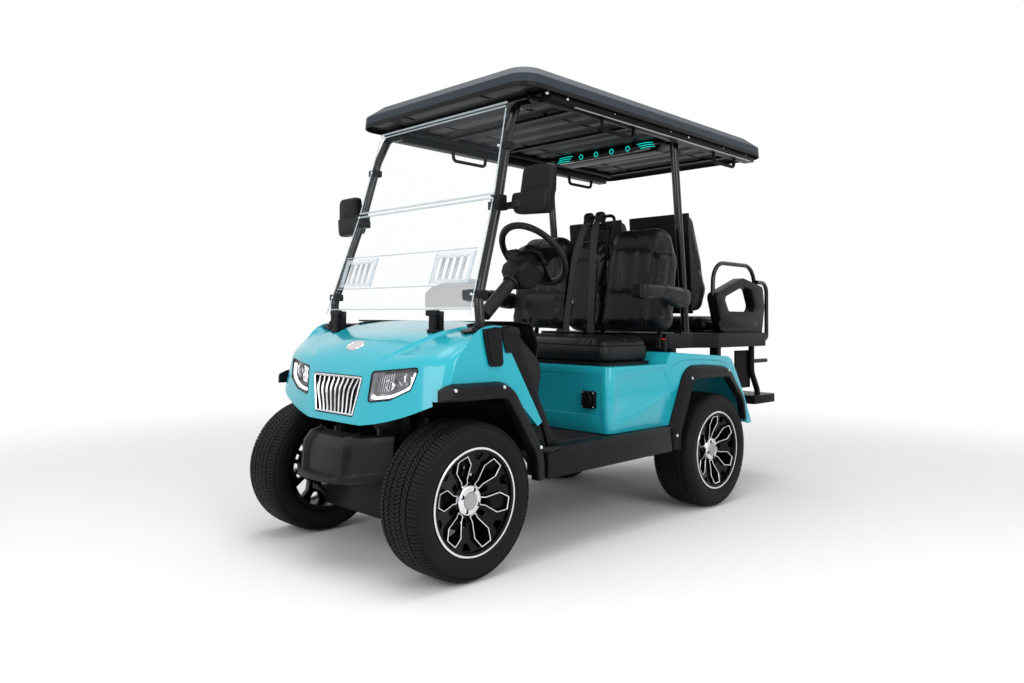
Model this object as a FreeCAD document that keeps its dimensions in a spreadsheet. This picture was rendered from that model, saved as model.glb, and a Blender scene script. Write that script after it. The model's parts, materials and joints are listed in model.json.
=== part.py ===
import FreeCAD, Part
import math
import os
import Sketcher
from FreeCAD import Placement, Rotation, Vector

# Golf cart with four seats: steered front wheels, a driven rear axle and a flip seat at the back.
# X points to the left-hand side (the driver), the front faces -Y, Z is up and Z = 0 is the ground.

os.makedirs("parts", exist_ok=True)
doc = FreeCAD.newDocument("GolfCart")
sheet = doc.addObject("Spreadsheet::Sheet", "Sizes")

SIZES = {
    # running gear
    "wheelbase": 1670,
    "frontAxleY": -1130,
    "wheelX": 490,
    "tyreRadius": 289,
    "tyreHalfWidth": 110,
    "treadHalfWidth": 76,
    "beadRadius": 187,
    "rimLipRadius": 197,
    "rimHalfWidth": 104,
    "rimWall": 8,
    "spokeThickness": 13,
    "hubRadius": 62,
    "hubFaceX": 62,
    "hubBackX": 30,
    "stubRadius": 15,
    "stubDepth": 20,
    "runningGap": 0.3,
    "drumRadius": 88,
    "kingpinRadius": 17,
    "kingpinHalfHeight": 92,
    "armHeight": 22,
    "axleTubeRadius": 35,
    "springWidth": 50,
    "springLeaf": 30,
    "springHalfSpan": 330,
    # ladder frame
    "railX": 225,
    "railWidth": 50,
    "railBottomZ": 340,
    "railTopZ": 420,
    "frameFrontY": -1290,
    "frameRearY": 1180,
    "crossWidth": 50,
    "towerTopZ": 680,
    # body shell
    "bodyHalfWidth": 560,
    "panelWall": 4,
    "hoodBackY": -880,
    "hoodBackZ": 944,
    "noseY": -1367,
    "noseLowZ": 545,
    "archTopZ": 655,
    "flareStandOut": 40,
    "flareTipStandOut": 10,
    "floorTopZ": 440,
    "floorFrontY": -800,
    "sillBottomZ": 320,
    "sillWidth": 120,
    "seatBoxFrontY": -320,
    "seatBoxTopZ": 742,
    "seatBoxDepth": 442,
    "seatBoxRise": 32,
    "shoulderRadius": 30,
    "fenderTopZ": 799,
    "tailTopY": 736,
    "tailTopZ": 762,
    "tailBendY": 870,
    "tailBendZ": 560,
    "fenderRearY": 960,
    # seats
    "seatHalfWidth": 500,
    "seatFrontY": -266,
    "seatRearY": 116,
    "seatThickness": 120,
    "backBottomZ": 887,
    "backTopZ": 1448,
    "middleBackDrop": 34,
    "beltReelRise": 20,
    "beltReelHeight": 76,
    "backThickness": 115,
    "backY": 128,
    "backInnerX": 150,
    "backOuterX": 552,
    "seatTubeRadius": 13,
    "armrestInnerX": 562,
    "armrestWidth": 70,
    "armrestPivotY": 245,
    "armrestPivotZ": 1062,
    "armrestLength": 410,
    "rearSeatHalfWidth": 400,
    "rearSeatFrontY": 745,
    "rearSeatRearY": 1190,
    "rearSeatThickness": 84,
    "boardThickness": 12,
    "boardHingeY": 1256,
    "rearBackInnerX": 26,
    "rearBackOuterX": 425,
    "rearBackTopY": 526,
    "rearBackTopZ": 1532,
    "rearBackLowY": 570,
    "rearBackLowZ": 985,
    # rear bed and step
    "trayTopZ": 886,
    "trayBottomZ": 808,
    "trayFrontY": 300,
    "trayRearY": 1250,
    "trayNarrowX": 445,
    "trayWideX": 505,
    "trayWall": 5,
    "trayCorner": 24,
    "stepTopZ": 514,
    "stepBottomZ": 466,
    "stepFrontY": 1170,
    "stepRearY": 1450,
    "stepHalfWidth": 466,
    "strutX": 420,
    "strutRadius": 17,
    "hoopRadius": 12,
    "hoopX": 462,
    "loopX": 486,
    # roof and posts
    "roofHalfWidth": 581,
    "roofFrontY": -885,
    "roofRearY": 1083,
    "roofLipZ": 1883,
    "roofLipHeight": 55,
    "roofCrown": 63,
    "roofWall": 5,
    "roofCorner": 90,
    "postRadius": 19,
    "postBaseX": 576,
    "postFootX": 511,
    "postFootY": -1034,
    "postBellyZ": 950,
    "postKneeY": -1048,
    "postKneeZ": 1030,
    "postHingeY": -920,
    "postHingeZ": 1432,
    "postShoulderY": -852,
    "postShoulderZ": 1712,
    "postCrownY": -797,
    "postCrownZ": 1838,
    "postEndY": -726,
    "postBendSoft": 300,
    "postBendKnee": 120,
    "postBendShoulder": 160,
    "postBendCrown": 70,
    "ceilingThickness": 4,
    "ceilingGap": 9,
    "rearPostX": 440,
    "rearPostFootY": 478,
    "rearPostTopY": 366,
    "rearPostRadius": 21,
    "railTubeRadius": 14,
    "handleRadius": 9,
    "handleX": 515,
    "soundBarHalfTop": 379,
    "soundBarHalfBottom": 319,
    "soundBarHeight": 40,
    "soundBarDepth": 120,
    # glass and controls
    "glassThickness": 5,
    "glassBottomZ": 985,
    "glassTopZ": 1845,
    "glassGap": 1.5,
    "glassEdgeIn": 4,
    "ventBottomZ": 1052,
    "ventTopZ": 1240,
    "ventThickness": 4,
    "ventSlotX": 205,
    "ventSlotPitch": 38,
    "ventSlotWidth": 22,
    "hingeBarRise": 9,
    "barDepth": 10,
    "barHeight": 14,
    "clampHeight": 28,
    "steeringX": 278,
    "steeringY": -516,
    "steeringZ": 1244,
    "steeringRadius": 165,
    "steeringGrip": 14,
    "columnAngle": 42.9,
    "columnLength": 352,
    "columnRadius": 24,
    "mirrorX": 650,
    "mirrorY": -880,
    "mirrorZ": 1455,
    # mounts
    "hitchBore": 8,
    "hitchPlate": 12,
    "towBore": 8,
}

for row, (alias, amount) in enumerate(SIZES.items(), start=1):
    sheet.set(f"A{row}", alias)
    sheet.set(f"B{row}", str(amount))
    sheet.setAlias(f"B{row}", alias)
doc.recompute()


class Size:
    # a length and the sheet expression that gives it
    def __init__(self, value, text):
        self.value = float(value)
        self.text = text

    def __add__(self, other):
        other = sized(other)
        return Size(self.value + other.value, f"({self.text} + {other.text})")

    def __radd__(self, other):
        return sized(other) + self

    def __sub__(self, other):
        other = sized(other)
        return Size(self.value - other.value, f"({self.text} - {other.text})")

    def __rsub__(self, other):
        return sized(other) - self

    def __mul__(self, other):
        other = sized(other)
        return Size(self.value * other.value, f"({self.text} * {other.text})")

    __rmul__ = __mul__

    def __truediv__(self, other):
        other = sized(other)
        return Size(self.value / other.value, f"({self.text} / {other.text})")

    def __neg__(self):
        return Size(-self.value, f"(0 - {self.text})")

    def __float__(self):
        return self.value


def sized(amount):
    if isinstance(amount, Size):
        return amount
    return Size(amount, f"({amount})")


class Sheet:
    pass


s = Sheet()
for alias in SIZES:
    setattr(s, alias, Size(float(sheet.get(alias)), f"Sizes.{alias}"))

NODES = []


def node(name, thing):
    thing.Label = name
    NODES.append(thing)
    return thing


def bind(thing, name, amount):
    thing.setExpression(name, sized(amount).text)


# Sketches
def origin_feature(body, role):
    return [feature for feature in body.Origin.OriginFeatures if feature.Role == role][0]


def new_body(name):
    body = doc.addObject("PartDesign::Body", name)
    body.AllowCompound = True
    return body


def pin_point(sketch, index, position, u, v):
    for kind, amount in (("DistanceX", u), ("DistanceY", v)):
        amount = sized(amount)
        number = sketch.addConstraint(Sketcher.Constraint(kind, -1, 1, index, position, amount.value))
        sketch.setExpression(f"Constraints[{number}]", amount.text)


def draw_circle(sketch, u, v, radius):
    u, v, radius = sized(u), sized(v), sized(radius)
    circle = Part.Circle(Vector(u.value, v.value, 0), Vector(0, 0, 1), radius.value)
    index = sketch.addGeometry(circle, False)
    pin_point(sketch, index, 3, u, v)
    number = sketch.addConstraint(Sketcher.Constraint("Radius", index, radius.value))
    sketch.setExpression(f"Constraints[{number}]", radius.text)


def draw_outline(sketch, corners, closed=True):
    # corners are (u, v) or (u, v, radius); straight lines run between the rounded corners
    count = len(corners)
    spots = [Vector(float(corner[0]), float(corner[1]), 0) for corner in corners]
    radii = [sized(corner[2]) if len(corner) > 2 else None for corner in corners]
    if not closed:
        radii[0] = radii[-1] = None
    leave, reach, arcs = {}, {}, {}
    for i in range(count):
        spot = spots[i]
        leave[i] = reach[i] = spot
        if radii[i] is None:
            continue
        back = (spots[i - 1] - spot).normalize()
        ahead = (spots[(i + 1) % count] - spot).normalize()
        half = back.getAngle(ahead) / 2
        run = radii[i].value / math.tan(half)
        centre = spot + (back + ahead).normalize() * (radii[i].value / math.sin(half))
        reach[i] = spot + back * run
        leave[i] = spot + ahead * run
        left_turn = back.cross(ahead).z < 0
        first, last = (reach[i], leave[i]) if left_turn else (leave[i], reach[i])
        angles = [math.atan2(point.y - centre.y, point.x - centre.x) for point in (first, last)]
        circle = Part.Circle(centre, Vector(0, 0, 1), radii[i].value)
        arcs[i] = (sketch.addGeometry(Part.ArcOfCircle(circle, *angles), False), left_turn)
    runs = {}
    for i in range(count if closed else count - 1):
        line = Part.LineSegment(leave[i], reach[(i + 1) % count])
        runs[i] = sketch.addGeometry(line, False)
    for i in range(count):
        before = runs.get((i - 1) % count)
        after = runs.get(i)
        if radii[i] is None:
            if before is not None and after is not None:
                sketch.addConstraint(Sketcher.Constraint("Coincident", before, 2, after, 1))
            index, position = (after, 1) if after is not None else (before, 2)
            pin_point(sketch, index, position, *corners[i][:2])
            continue
        arc, left_turn = arcs[i]
        start, end = (1, 2) if left_turn else (2, 1)
        corner = sketch.addGeometry(Part.Point(spots[i]), True)
        sketch.addConstraint([
            Sketcher.Constraint("Tangent", before, 2, arc, start),
            Sketcher.Constraint("Tangent", arc, end, after, 1),
            Sketcher.Constraint("PointOnObject", corner, 1, before),
            Sketcher.Constraint("PointOnObject", corner, 1, after),
        ])
        number = sketch.addConstraint(Sketcher.Constraint("Radius", arc, radii[i].value))
        sketch.setExpression(f"Constraints[{number}]", radii[i].text)
        pin_point(sketch, corner, 1, *corners[i][:2])


def new_sketch(body, name, plane, at, outlines):
    sketch = body.newObject("Sketcher::SketchObject", name)
    sketch.AttachmentSupport = [(origin_feature(body, plane + "_Plane"), "")]
    sketch.MapMode = "FlatFace"
    at = sized(at)
    bind(sketch, "AttachmentOffset.Base.z", -at if plane == "XZ" else at)
    for outline in outlines:
        if outline[0] == "circle":
            draw_circle(sketch, *outline[1:])
        else:
            draw_outline(sketch, outline)
    return sketch


# Features of a body
def prism(body, name, plane, outlines, start, end, cut=False):
    if not isinstance(outlines[0], (list, tuple)) or not isinstance(outlines[0][0], (list, tuple, str)):
        outlines = [outlines]
    sketch = new_sketch(body, name + "Sketch", plane, start, outlines)
    feature = body.newObject("PartDesign::Pocket" if cut else "PartDesign::Pad", name)
    feature.Profile = sketch
    bind(feature, "Length", sized(end) - start)
    feature.Reversed = (plane == "XZ") != cut
    body.Tip = feature
    return feature


def turned(body, name, plane, outline, axis, cut=False):
    sketch = new_sketch(body, name + "Sketch", plane, 0, [outline])
    feature = body.newObject("PartDesign::Groove" if cut else "PartDesign::Revolution", name)
    feature.Profile = sketch
    feature.ReferenceAxis = (origin_feature(body, axis + "_Axis"), [""])
    feature.Angle = 360
    body.Tip = feature
    return feature


def ring_pattern(body, name, feature, axis, copies):
    pattern = body.newObject("PartDesign::PolarPattern", name)
    pattern.Originals = [feature]
    pattern.Axis = (origin_feature(body, axis + "_Axis"), [""])
    pattern.Angle = 360
    pattern.Occurrences = copies
    body.Tip = pattern
    return pattern


def both_sides(body, name, features):
    mirror = body.newObject("PartDesign::Mirrored", name)
    mirror.Originals = features
    mirror.MirrorPlane = (origin_feature(body, "YZ_Plane"), [""])
    body.Tip = mirror
    return mirror


def round_edges(body, name, radius, wanted, chamfer=False):
    # rounds the edges of the newest feature whose middle and direction the test accepts
    doc.recompute()
    base = body.Tip
    edges = []
    for number, edge in enumerate(base.Shape.Edges, start=1):
        middle = edge.valueAt((edge.FirstParameter + edge.LastParameter) / 2)
        direction = edge.tangentAt((edge.FirstParameter + edge.LastParameter) / 2)
        if wanted(middle, direction):
            edges.append(f"Edge{number}")
    feature = body.newObject("PartDesign::Chamfer" if chamfer else "PartDesign::Fillet", name)
    feature.Base = (base, edges)
    bind(feature, "Size" if chamfer else "Radius", radius)
    body.Tip = feature
    return feature


# Primitives
def block(name, x, y, z):
    # each pair gives the low and the high side
    box = doc.addObject("Part::Box", name)
    for size_name, axis, (low, high) in (("Length", "x", x), ("Width", "y", y), ("Height", "z", z)):
        bind(box, size_name, sized(high) - low)
        bind(box, f"Placement.Base.{axis}", low)
    return box


def rod(name, start, end, radius):
    start = [sized(amount) for amount in start]
    end = [sized(amount) for amount in end]
    cylinder = doc.addObject("Part::Cylinder", name)
    bind(cylinder, "Radius", radius)
    steps = [b - a for a, b in zip(start, end)]
    squares = " + ".join(f"({step.text})^2" for step in steps)
    cylinder.setExpression("Height", f"sqrt({squares})")
    direction = Vector(*[step.value for step in steps])
    cylinder.Placement = Placement(Vector(), Rotation(Vector(0, 0, 1), direction))
    for axis, amount in zip("xyz", start):
        bind(cylinder, f"Placement.Base.{axis}", amount)
    return cylinder


def frame_of(plane, at, lean=0):
    at = float(sized(at))
    if plane == "YZ":
        tilt = math.radians(lean)
        up = Vector(-math.sin(tilt), 0, math.cos(tilt))
        across = Vector(0, 1, 0)
        return Placement(Vector(at, 0, 0), Rotation(across, up, across.cross(up), "XYZ"))
    if plane == "XZ":
        return Placement(Vector(0, at, 0), Rotation(Vector(1, 0, 0), Vector(0, 0, 1), Vector(0, -1, 0),
                                                    "XYZ"))
    return Placement(Vector(0, 0, at), Rotation())


def bent_tube(name, plane, at, corners, radius, lean=0):
    # a round tube along straight runs joined by tangent bends, in one plane
    path = doc.addObject("Sketcher::SketchObject", name + "Path")
    draw_outline(path, corners, closed=False)
    path.Placement = frame_of(plane, at, lean)
    doc.recompute()
    section = doc.addObject("Part::Circle", name + "Section")
    bind(section, "Radius", radius)
    first = Vector(float(corners[0][0]), float(corners[0][1]), 0)
    second = Vector(float(corners[1][0]), float(corners[1][1]), 0)
    start = path.Placement.multVec(first)
    heading = path.Placement.Rotation.multVec(second - first)
    section.Placement = Placement(start, Rotation(Vector(0, 0, 1), heading))
    sweep = doc.addObject("Part::Sweep", name)
    sweep.Sections = [section]
    sweep.Spine = (path, [f"Edge{i + 1}" for i in range(len(path.Shape.Edges))])
    sweep.Solid = True
    return sweep


def joined(name, pieces):
    fuse = doc.addObject("Part::MultiFuse", name)
    fuse.Shapes = pieces
    return fuse


def group(name, pieces):
    compound = doc.addObject("Part::Compound", name)
    compound.Links = pieces
    return compound


def without(name, base, tool):
    cut = doc.addObject("Part::Cut", name)
    cut.Base = base
    cut.Tool = tool
    return cut


def other_side(name, piece):
    mirror = doc.addObject("Part::Mirroring", name)
    mirror.Source = piece
    mirror.Normal = Vector(1, 0, 0)
    return mirror


def pair(name, piece):
    return group(name, [piece, other_side(name + "Right", piece)])


def free_form(name, shape):
    feature = doc.addObject("Part::Feature", name)
    feature.Shape = shape
    return feature


# Wheels
def make_tyre(name, y, side):
    body = new_body(name)
    wall = s.rimHalfWidth - 5
    outline = [
        (-wall, s.beadRadius),
        (-wall, s.rimLipRadius + 3),
        (-s.tyreHalfWidth, s.rimLipRadius + 26, 24),
        (-s.tyreHalfWidth, s.tyreRadius, s.tyreHalfWidth - s.treadHalfWidth),
        (s.tyreHalfWidth, s.tyreRadius, s.tyreHalfWidth - s.treadHalfWidth),
        (s.tyreHalfWidth, s.rimLipRadius + 26, 24),
        (wall, s.rimLipRadius + 3),
        (wall, s.beadRadius),
    ]
    turned(body, name + "Carcass", "XZ", outline, "X")
    place_wheel(body, y, side)
    return body


def place_wheel(body, y, side):
    body.Placement = Placement(Vector(), Rotation(Vector(0, 0, 1), 0 if side > 0 else 180))
    bind(body, "Placement.Base.x", s.wheelX * side)
    bind(body, "Placement.Base.y", y)
    bind(body, "Placement.Base.z", s.tyreRadius)


def make_rim(name, y, side):
    # a barrel with two lips, a dished face of six loop spokes and a hub that takes the axle stub
    body = new_body(name)
    wall = s.rimHalfWidth - 5
    inner = s.beadRadius - s.rimWall
    barrel = [
        (-s.rimHalfWidth, inner),
        (-s.rimHalfWidth, s.rimLipRadius),
        (-wall, s.rimLipRadius),
        (-wall, s.beadRadius),
        (wall, s.beadRadius),
        (wall, s.rimLipRadius),
        (s.rimHalfWidth, s.rimLipRadius),
        (s.rimHalfWidth, inner),
    ]
    turned(body, name + "Barrel", "XZ", barrel, "X")
    dish = [
        (s.hubFaceX - 2 - s.spokeThickness, s.hubRadius - 5),
        (s.hubFaceX - 2, s.hubRadius - 5),
        (s.rimHalfWidth - 6, inner + 3),
        (s.rimHalfWidth - 6 - s.spokeThickness, inner + 3),
    ]
    turned(body, name + "Dish", "XZ", dish, "X")
    bore = s.stubRadius + s.runningGap
    hub = [
        (s.hubBackX, bore),
        (s.hubBackX, s.hubRadius),
        (s.hubFaceX, s.hubRadius),
        (s.hubFaceX, s.hubRadius / 2),
        (s.hubFaceX + 10, s.hubRadius / 2 - 4),
        (s.hubFaceX + 10, 0),
        (s.hubBackX + s.stubDepth + s.runningGap, 0),
        (s.hubBackX + s.stubDepth + s.runningGap, bore),
    ]
    turned(body, name + "Hub", "XZ", hub, "X")
    loop = [
        (-16, s.hubRadius + 14),
        (16, s.hubRadius + 14),
        (37, s.hubRadius + 58),
        (24, inner - 6),
        (-24, inner - 6),
        (-37, s.hubRadius + 58),
    ]
    slot_middle = s.hubRadius + 27
    across, along = math.sin(math.radians(30)), math.cos(math.radians(30))
    slot = [(slot_middle * across + u * along - v * across, slot_middle * along + u * across + v * along, 5)
            for u, v in ((-9, -13), (9, -13), (12, 13), (-12, 13))]
    loops = prism(body, name + "Loop", "YZ", loop, s.hubBackX + 2, s.rimHalfWidth + 5, cut=True)
    ring_pattern(body, name + "Loops", loops, "X", 6)
    slots = prism(body, name + "Slot", "YZ", slot, s.hubFaceX - 40, s.rimHalfWidth + 5, cut=True)
    ring_pattern(body, name + "Slots", slots, "X", 6)
    place_wheel(body, y, side)
    return body


REAR_AXLE_Y = s.frontAxleY + s.wheelbase
for axle, axle_y in (("front", s.frontAxleY), ("rear", REAR_AXLE_Y)):
    for side_name, side in (("left", 1), ("right", -1)):
        label = f"{axle}_{side_name}"
        node(f"tyre_{label}", make_tyre(f"Tyre{axle.title()}{side_name.title()}", axle_y, side))
        node(f"rim_{label}", make_rim(f"Rim{axle.title()}{side_name.title()}", axle_y, side))


# Knuckles: an upright on the kingpin axis with a brake drum and the stub that the wheel turns on
def make_knuckle(name, side):
    drum_in = s.wheelX * side
    face = (s.wheelX + s.hubBackX - s.runningGap) * side
    tip = (s.wheelX + s.hubBackX + s.stubDepth - s.runningGap) * side
    y, z = s.frontAxleY, s.tyreRadius
    upright = rod(name + "Upright", (drum_in, y, z - s.kingpinHalfHeight),
                  (drum_in, y, z + s.kingpinHalfHeight),
                  s.kingpinRadius)
    drum = rod(name + "Drum", (drum_in, y, z), (face, y, z), s.drumRadius)
    stub = rod(name + "Stub", (drum_in, y, z), (tip, y, z), s.stubRadius)
    steer = block(name + "SteerArm", sorted_pair(drum_in - 14 * side, drum_in + 8 * side),
                  (y, y + 120), (z - 60, z - 44))
    return joined(name, [upright, drum, stub, steer])


def sorted_pair(first, second):
    return tuple(sorted((sized(first), sized(second)), key=float))


node("knuckle_left", make_knuckle("KnuckleLeft", 1))
node("knuckle_right", make_knuckle("KnuckleRight", -1))


# Front suspension: lower and upper control arms and a coil spring leg on each side
def make_suspension():
    y, z = s.frontAxleY, s.tyreRadius
    frame_side = s.railX + s.railWidth / 2
    arms = []
    for label, low in (("Lower", z - s.kingpinHalfHeight - s.armHeight - s.runningGap),
                       ("Upper", z + s.kingpinHalfHeight + s.runningGap)):
        body = new_body("Arm" + label)
        outline = [
            (frame_side, y - 95),
            (s.wheelX - 30, y - 20),
            (s.wheelX + 20, y - 20, 18),
            (s.wheelX + 20, y + 20, 18),
            (s.wheelX - 30, y + 20),
            (frame_side, y + 95),
            (frame_side, y + 62),
            (s.wheelX - 60, y),
            (frame_side, y - 62),
        ]
        prism(body, f"Arm{label}Plate", "XY", outline, low, low + s.armHeight)
        arms.append(body)
    lower_top = z - s.kingpinHalfHeight - s.runningGap
    foot = (s.wheelX - 180, y, lower_top - 6)
    head = (frame_side + 14, y, s.towerTopZ - 60)
    spring = rod("SpringLeg", (s.wheelX - 187, y, lower_top + 55), (frame_side + 36, y, s.towerTopZ - 110),
                 28)
    damper = rod("Damper", foot, head, 12)
    eye = block("DamperEye", (frame_side, frame_side + 28), (y - 16, y + 16),
                (s.towerTopZ - 74, s.towerTopZ - 46))
    seat = block("DamperSeat", (s.wheelX - 196, s.wheelX - 160), (y - 55, y + 55),
                 (lower_top - s.armHeight, lower_top))
    left = joined("SuspensionLeft", [arms[0], seat, spring, damper, eye])
    return group("FrontSuspension", [left, other_side("SuspensionRight", left), arms[1],
                                     other_side("ArmUpperRight", arms[1])])


node("front_suspension", make_suspension())


# Rear axle: tube, differential with motor, drums and stubs, carried by two leaf springs
def make_rear_axle():
    y, z = REAR_AXLE_Y, s.tyreRadius
    face = s.wheelX + s.hubBackX - s.runningGap
    tip = s.wheelX + s.hubBackX + s.stubDepth - s.runningGap
    tube = rod("AxleTube", (-s.wheelX, y, z), (s.wheelX, y, z), s.axleTubeRadius)
    pieces = [tube, rod("AxleStub", (-tip, y, z), (tip, y, z), s.stubRadius)]
    for side in (1, -1):
        pieces.append(rod(f"RearDrum{side + 1}", ((s.wheelX - 34) * side, y, z), (face * side, y, z),
                          s.drumRadius))
    pieces.append(rod("Differential", (-70, y, z), (40, y, z), 92))
    pieces.append(rod("DriveMotor", (40, y + 30, z + 10), (200 - 12, y + 30, z + 10), 88))
    spring = new_body("LeafSpring")
    low = z - s.axleTubeRadius - s.springLeaf
    leaf = [
        (y - s.springHalfSpan, s.railBottomZ),
        (y - s.springHalfSpan, s.railBottomZ - 24),
        (y - 120, low),
        (y + 120, low),
        (y + s.springHalfSpan, s.railBottomZ - 24),
        (y + s.springHalfSpan, s.railBottomZ),
        (y + s.springHalfSpan - 30, s.railBottomZ),
        (y + 115, low + s.springLeaf + 4),
        (y - 115, low + s.springLeaf + 4),
        (y - s.springHalfSpan + 30, s.railBottomZ),
    ]
    prism(spring, "Leaf", "YZ", leaf, s.railX - s.springWidth / 2, s.railX + s.springWidth / 2)
    return joined("RearAxle", pieces + [spring, other_side("LeafSpringRight", spring)])


node("rear_axle", make_rear_axle())


# Ladder frame with the two towing plates; the towers, uprights and subframe stand on it as plain blocks
def make_frame():
    body = new_body("LadderFrame")
    rail_out = s.railX + s.railWidth / 2
    rail_in = s.railX - s.railWidth / 2
    cross_starts = [s.frameFrontY, s.frameFrontY + 330, s.floorFrontY + 70, s.seatBoxFrontY - 60,
                    REAR_AXLE_Y - 330, REAR_AXLE_Y + 290, s.frameRearY - s.crossWidth]
    bays = []
    for start, end in zip(cross_starts, cross_starts[1:]):
        low, high = start + s.crossWidth, end
        bays.append([(-rail_in, low), (rail_in, low), (rail_in, high), (-rail_in, high)])
    nose = s.frameFrontY + s.crossWidth - 5
    outer = [(-rail_out, nose), (-rail_in, s.frameFrontY), (rail_in, s.frameFrontY), (rail_out, nose),
             (rail_out, s.frameRearY), (-rail_out, s.frameRearY)]
    prism(body, "Rails", "XY", [outer] + bays, s.railBottomZ, s.railTopZ)
    hitch = [[(-60, s.frameRearY), (60, s.frameRearY), (60, s.frameRearY + 90, 20),
              (-60, s.frameRearY + 90, 20)],
             ("circle", 0, s.frameRearY + 55, s.hitchBore)]
    prism(body, "HitchPlate", "XY", hitch, s.railBottomZ, s.railBottomZ + s.hitchPlate)
    tow = [[(-40, s.frameFrontY - 50, 15), (40, s.frameFrontY - 50, 15), (40, s.frameFrontY),
            (-40, s.frameFrontY)],
           ("circle", 0, s.frameFrontY - 28, s.towBore)]
    prism(body, "TowPlate", "XY", tow, s.railBottomZ, s.railBottomZ + s.hitchPlate)
    return body


def make_towers():
    rail_out = s.railX + s.railWidth / 2
    rail_in = s.railX - s.railWidth / 2
    low_arm = s.tyreRadius - s.kingpinHalfHeight - s.armHeight - s.runningGap
    subframe = block("Subframe", (-rail_out, rail_out), (s.frontAxleY - 100, s.frontAxleY + 100),
                     (low_arm - 10, s.railBottomZ))
    tower = block("Tower", (rail_in, rail_out), (s.frontAxleY - 45, s.frontAxleY + 45),
                  (s.railTopZ, s.towerTopZ))
    left = [tower]
    for number_of, start in ((1, s.trayFrontY + 60), (2, s.trayRearY - 135)):
        left.append(block(f"Upright{number_of}", (rail_in, rail_out), (start, start + 50),
                          (s.railTopZ, s.trayTopZ - s.trayWall)))
    return group("Towers", [subframe] + left + [other_side(piece.Name + "Right", piece) for piece in left])


node("chassis_frame", make_frame())
node("frame_towers", make_towers())
node("battery_pack", block("BatteryPack", (-240, 240), (s.seatBoxFrontY + 70, s.seatBoxFrontY + 480),
                           (s.railTopZ, s.railTopZ + 215)))


# Nose form: the front body's outer skin, lofted across the cart through side-view sections
def number(amount):
    return float(sized(amount))


NOSE_STATIONS = (
    # share of the half width, then (y, z) of the lower lip, the face's top, its leading edge,
    # two points of the hood and its back edge
    (0.000, (0, 0), (26, 190), (44, 232), (105, 296), (237, 350), (487, 399)),
    (0.327, (3, 0), (26, 192), (46, 233), (108, 292), (237, 347), (487, 398)),
    (0.625, (27, 30), (52, 205), (62, 236), (122, 284), (238, 343), (487, 392)),
    (0.798, (38, 62), (82, 229), (86, 239), (140, 284), (240, 338), (487, 384)),
    (0.893, (47, 75), (104, 232), (112, 246), (165, 290), (243, 336), (487, 380)),
    (0.946, (58, 88), (122, 235), (132, 252), (180, 292), (246, 338), (487, 376)),
    (0.982, (66, 98), (140, 240), (152, 262), (195, 300), (247, 342), (487, 370)),
    (1.000, (70, 105), (160, 245), (175, 272), (212, 312), (246, 350), (487, 362)),
)
NOSE_DEPTH = 40


def nose_form(inset, back_run):
    # the closed form behind the skin; inset moves the skin inwards and back_run carries it past the hood
    low_z = number(s.noseLowZ) - NOSE_DEPTH
    half = number(s.bodyHalfWidth) - inset
    hood = number(s.hoodBackY - s.noseY) / 487
    rise = number(s.hoodBackZ - s.noseLowZ) / 399
    wires = []
    for share, *spots in list(reversed(NOSE_STATIONS)) + list(NOSE_STATIONS[1:]):
        side = -1 if len(wires) < len(NOSE_STATIONS) else 1
        points = [Vector(side * share * half, number(s.noseY) + y * hood, number(s.noseLowZ) + z * rise)
                  for y, z in spots]
        chin = Vector(points[0].x, points[0].y + inset, low_z)
        inwards = Vector(0, inset * 0.6, -inset)
        points = [points[0] + Vector(0, inset, 0)] + [point + inwards for point in points[1:]]
        points[1] = points[1] + Vector(0, inset * 0.5, 0)
        back = points[-1] + Vector(0, back_run, back_run * 0.16)
        hood_line = Part.BSplineCurve()
        hood_line.interpolate(points[1:])
        heel = Vector(back.x, back.y, low_z)
        edges = [
            Part.LineSegment(chin, points[1]).toShape(),
            hood_line.toShape(),
            Part.LineSegment(back, heel).toShape(),
            Part.LineSegment(heel, chin).toShape(),
        ]
        if back_run:
            edges.insert(2, Part.LineSegment(points[-1], back).toShape())
        wires.append(Part.Wire(edges))
    return Part.makeLoft(wires, True, False)


def slab(corners, plane, low, high):
    # a straight cutter with the given outline, from low to high along the plane's own normal axis
    low, high = number(low), number(high)
    corners = [(number(u), number(v)) for u, v in corners]
    if plane == "XZ":
        points = [Vector(u, low, v) for u, v in corners]
        run = Vector(0, high - low, 0)
    elif plane == "YZ":
        points = [Vector(low, u, v) for u, v in corners]
        run = Vector(high - low, 0, 0)
    else:
        points = [Vector(u, v, low) for u, v in corners]
        run = Vector(0, 0, high - low)
    return Part.Face(Part.makePolygon(points + points[:1])).extrude(run)


def flipped(shape):
    return shape.mirror(Vector(), Vector(1, 0, 0))


GRILLE = [(178, 730), (178 - 43, 572), (43 - 178, 572), (-178, 730)]
HEADLAMP = [(214, 632), (226, 752), (452, 776), (425, 690), (330, 648)]


def window(corners, grow):
    # the outline moved out from its middle by the given amount
    middle_u = sum(u for u, v in corners) / len(corners)
    middle_v = sum(v for u, v in corners) / len(corners)
    moved = []
    for u, v in corners:
        length = math.hypot(u - middle_u, v - middle_v)
        moved.append((u + grow * (u - middle_u) / length, v + grow * (v - middle_v) / length))
    return slab(moved, "XZ", s.noseY - 60, s.noseY + 200)


def arch_outline(grow=0):
    # side view of the front wheel arch, as the flare's inner edge
    y = s.frontAxleY
    return [(y - 180 - grow, s.archTopZ - 400), (y - 150 - grow, s.archTopZ + grow),
            (y + 155 + grow / 2, s.archTopZ + grow),
            (y + 319 + grow, s.archTopZ - 265), (y + 322 + grow, s.archTopZ - 400)]


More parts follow.
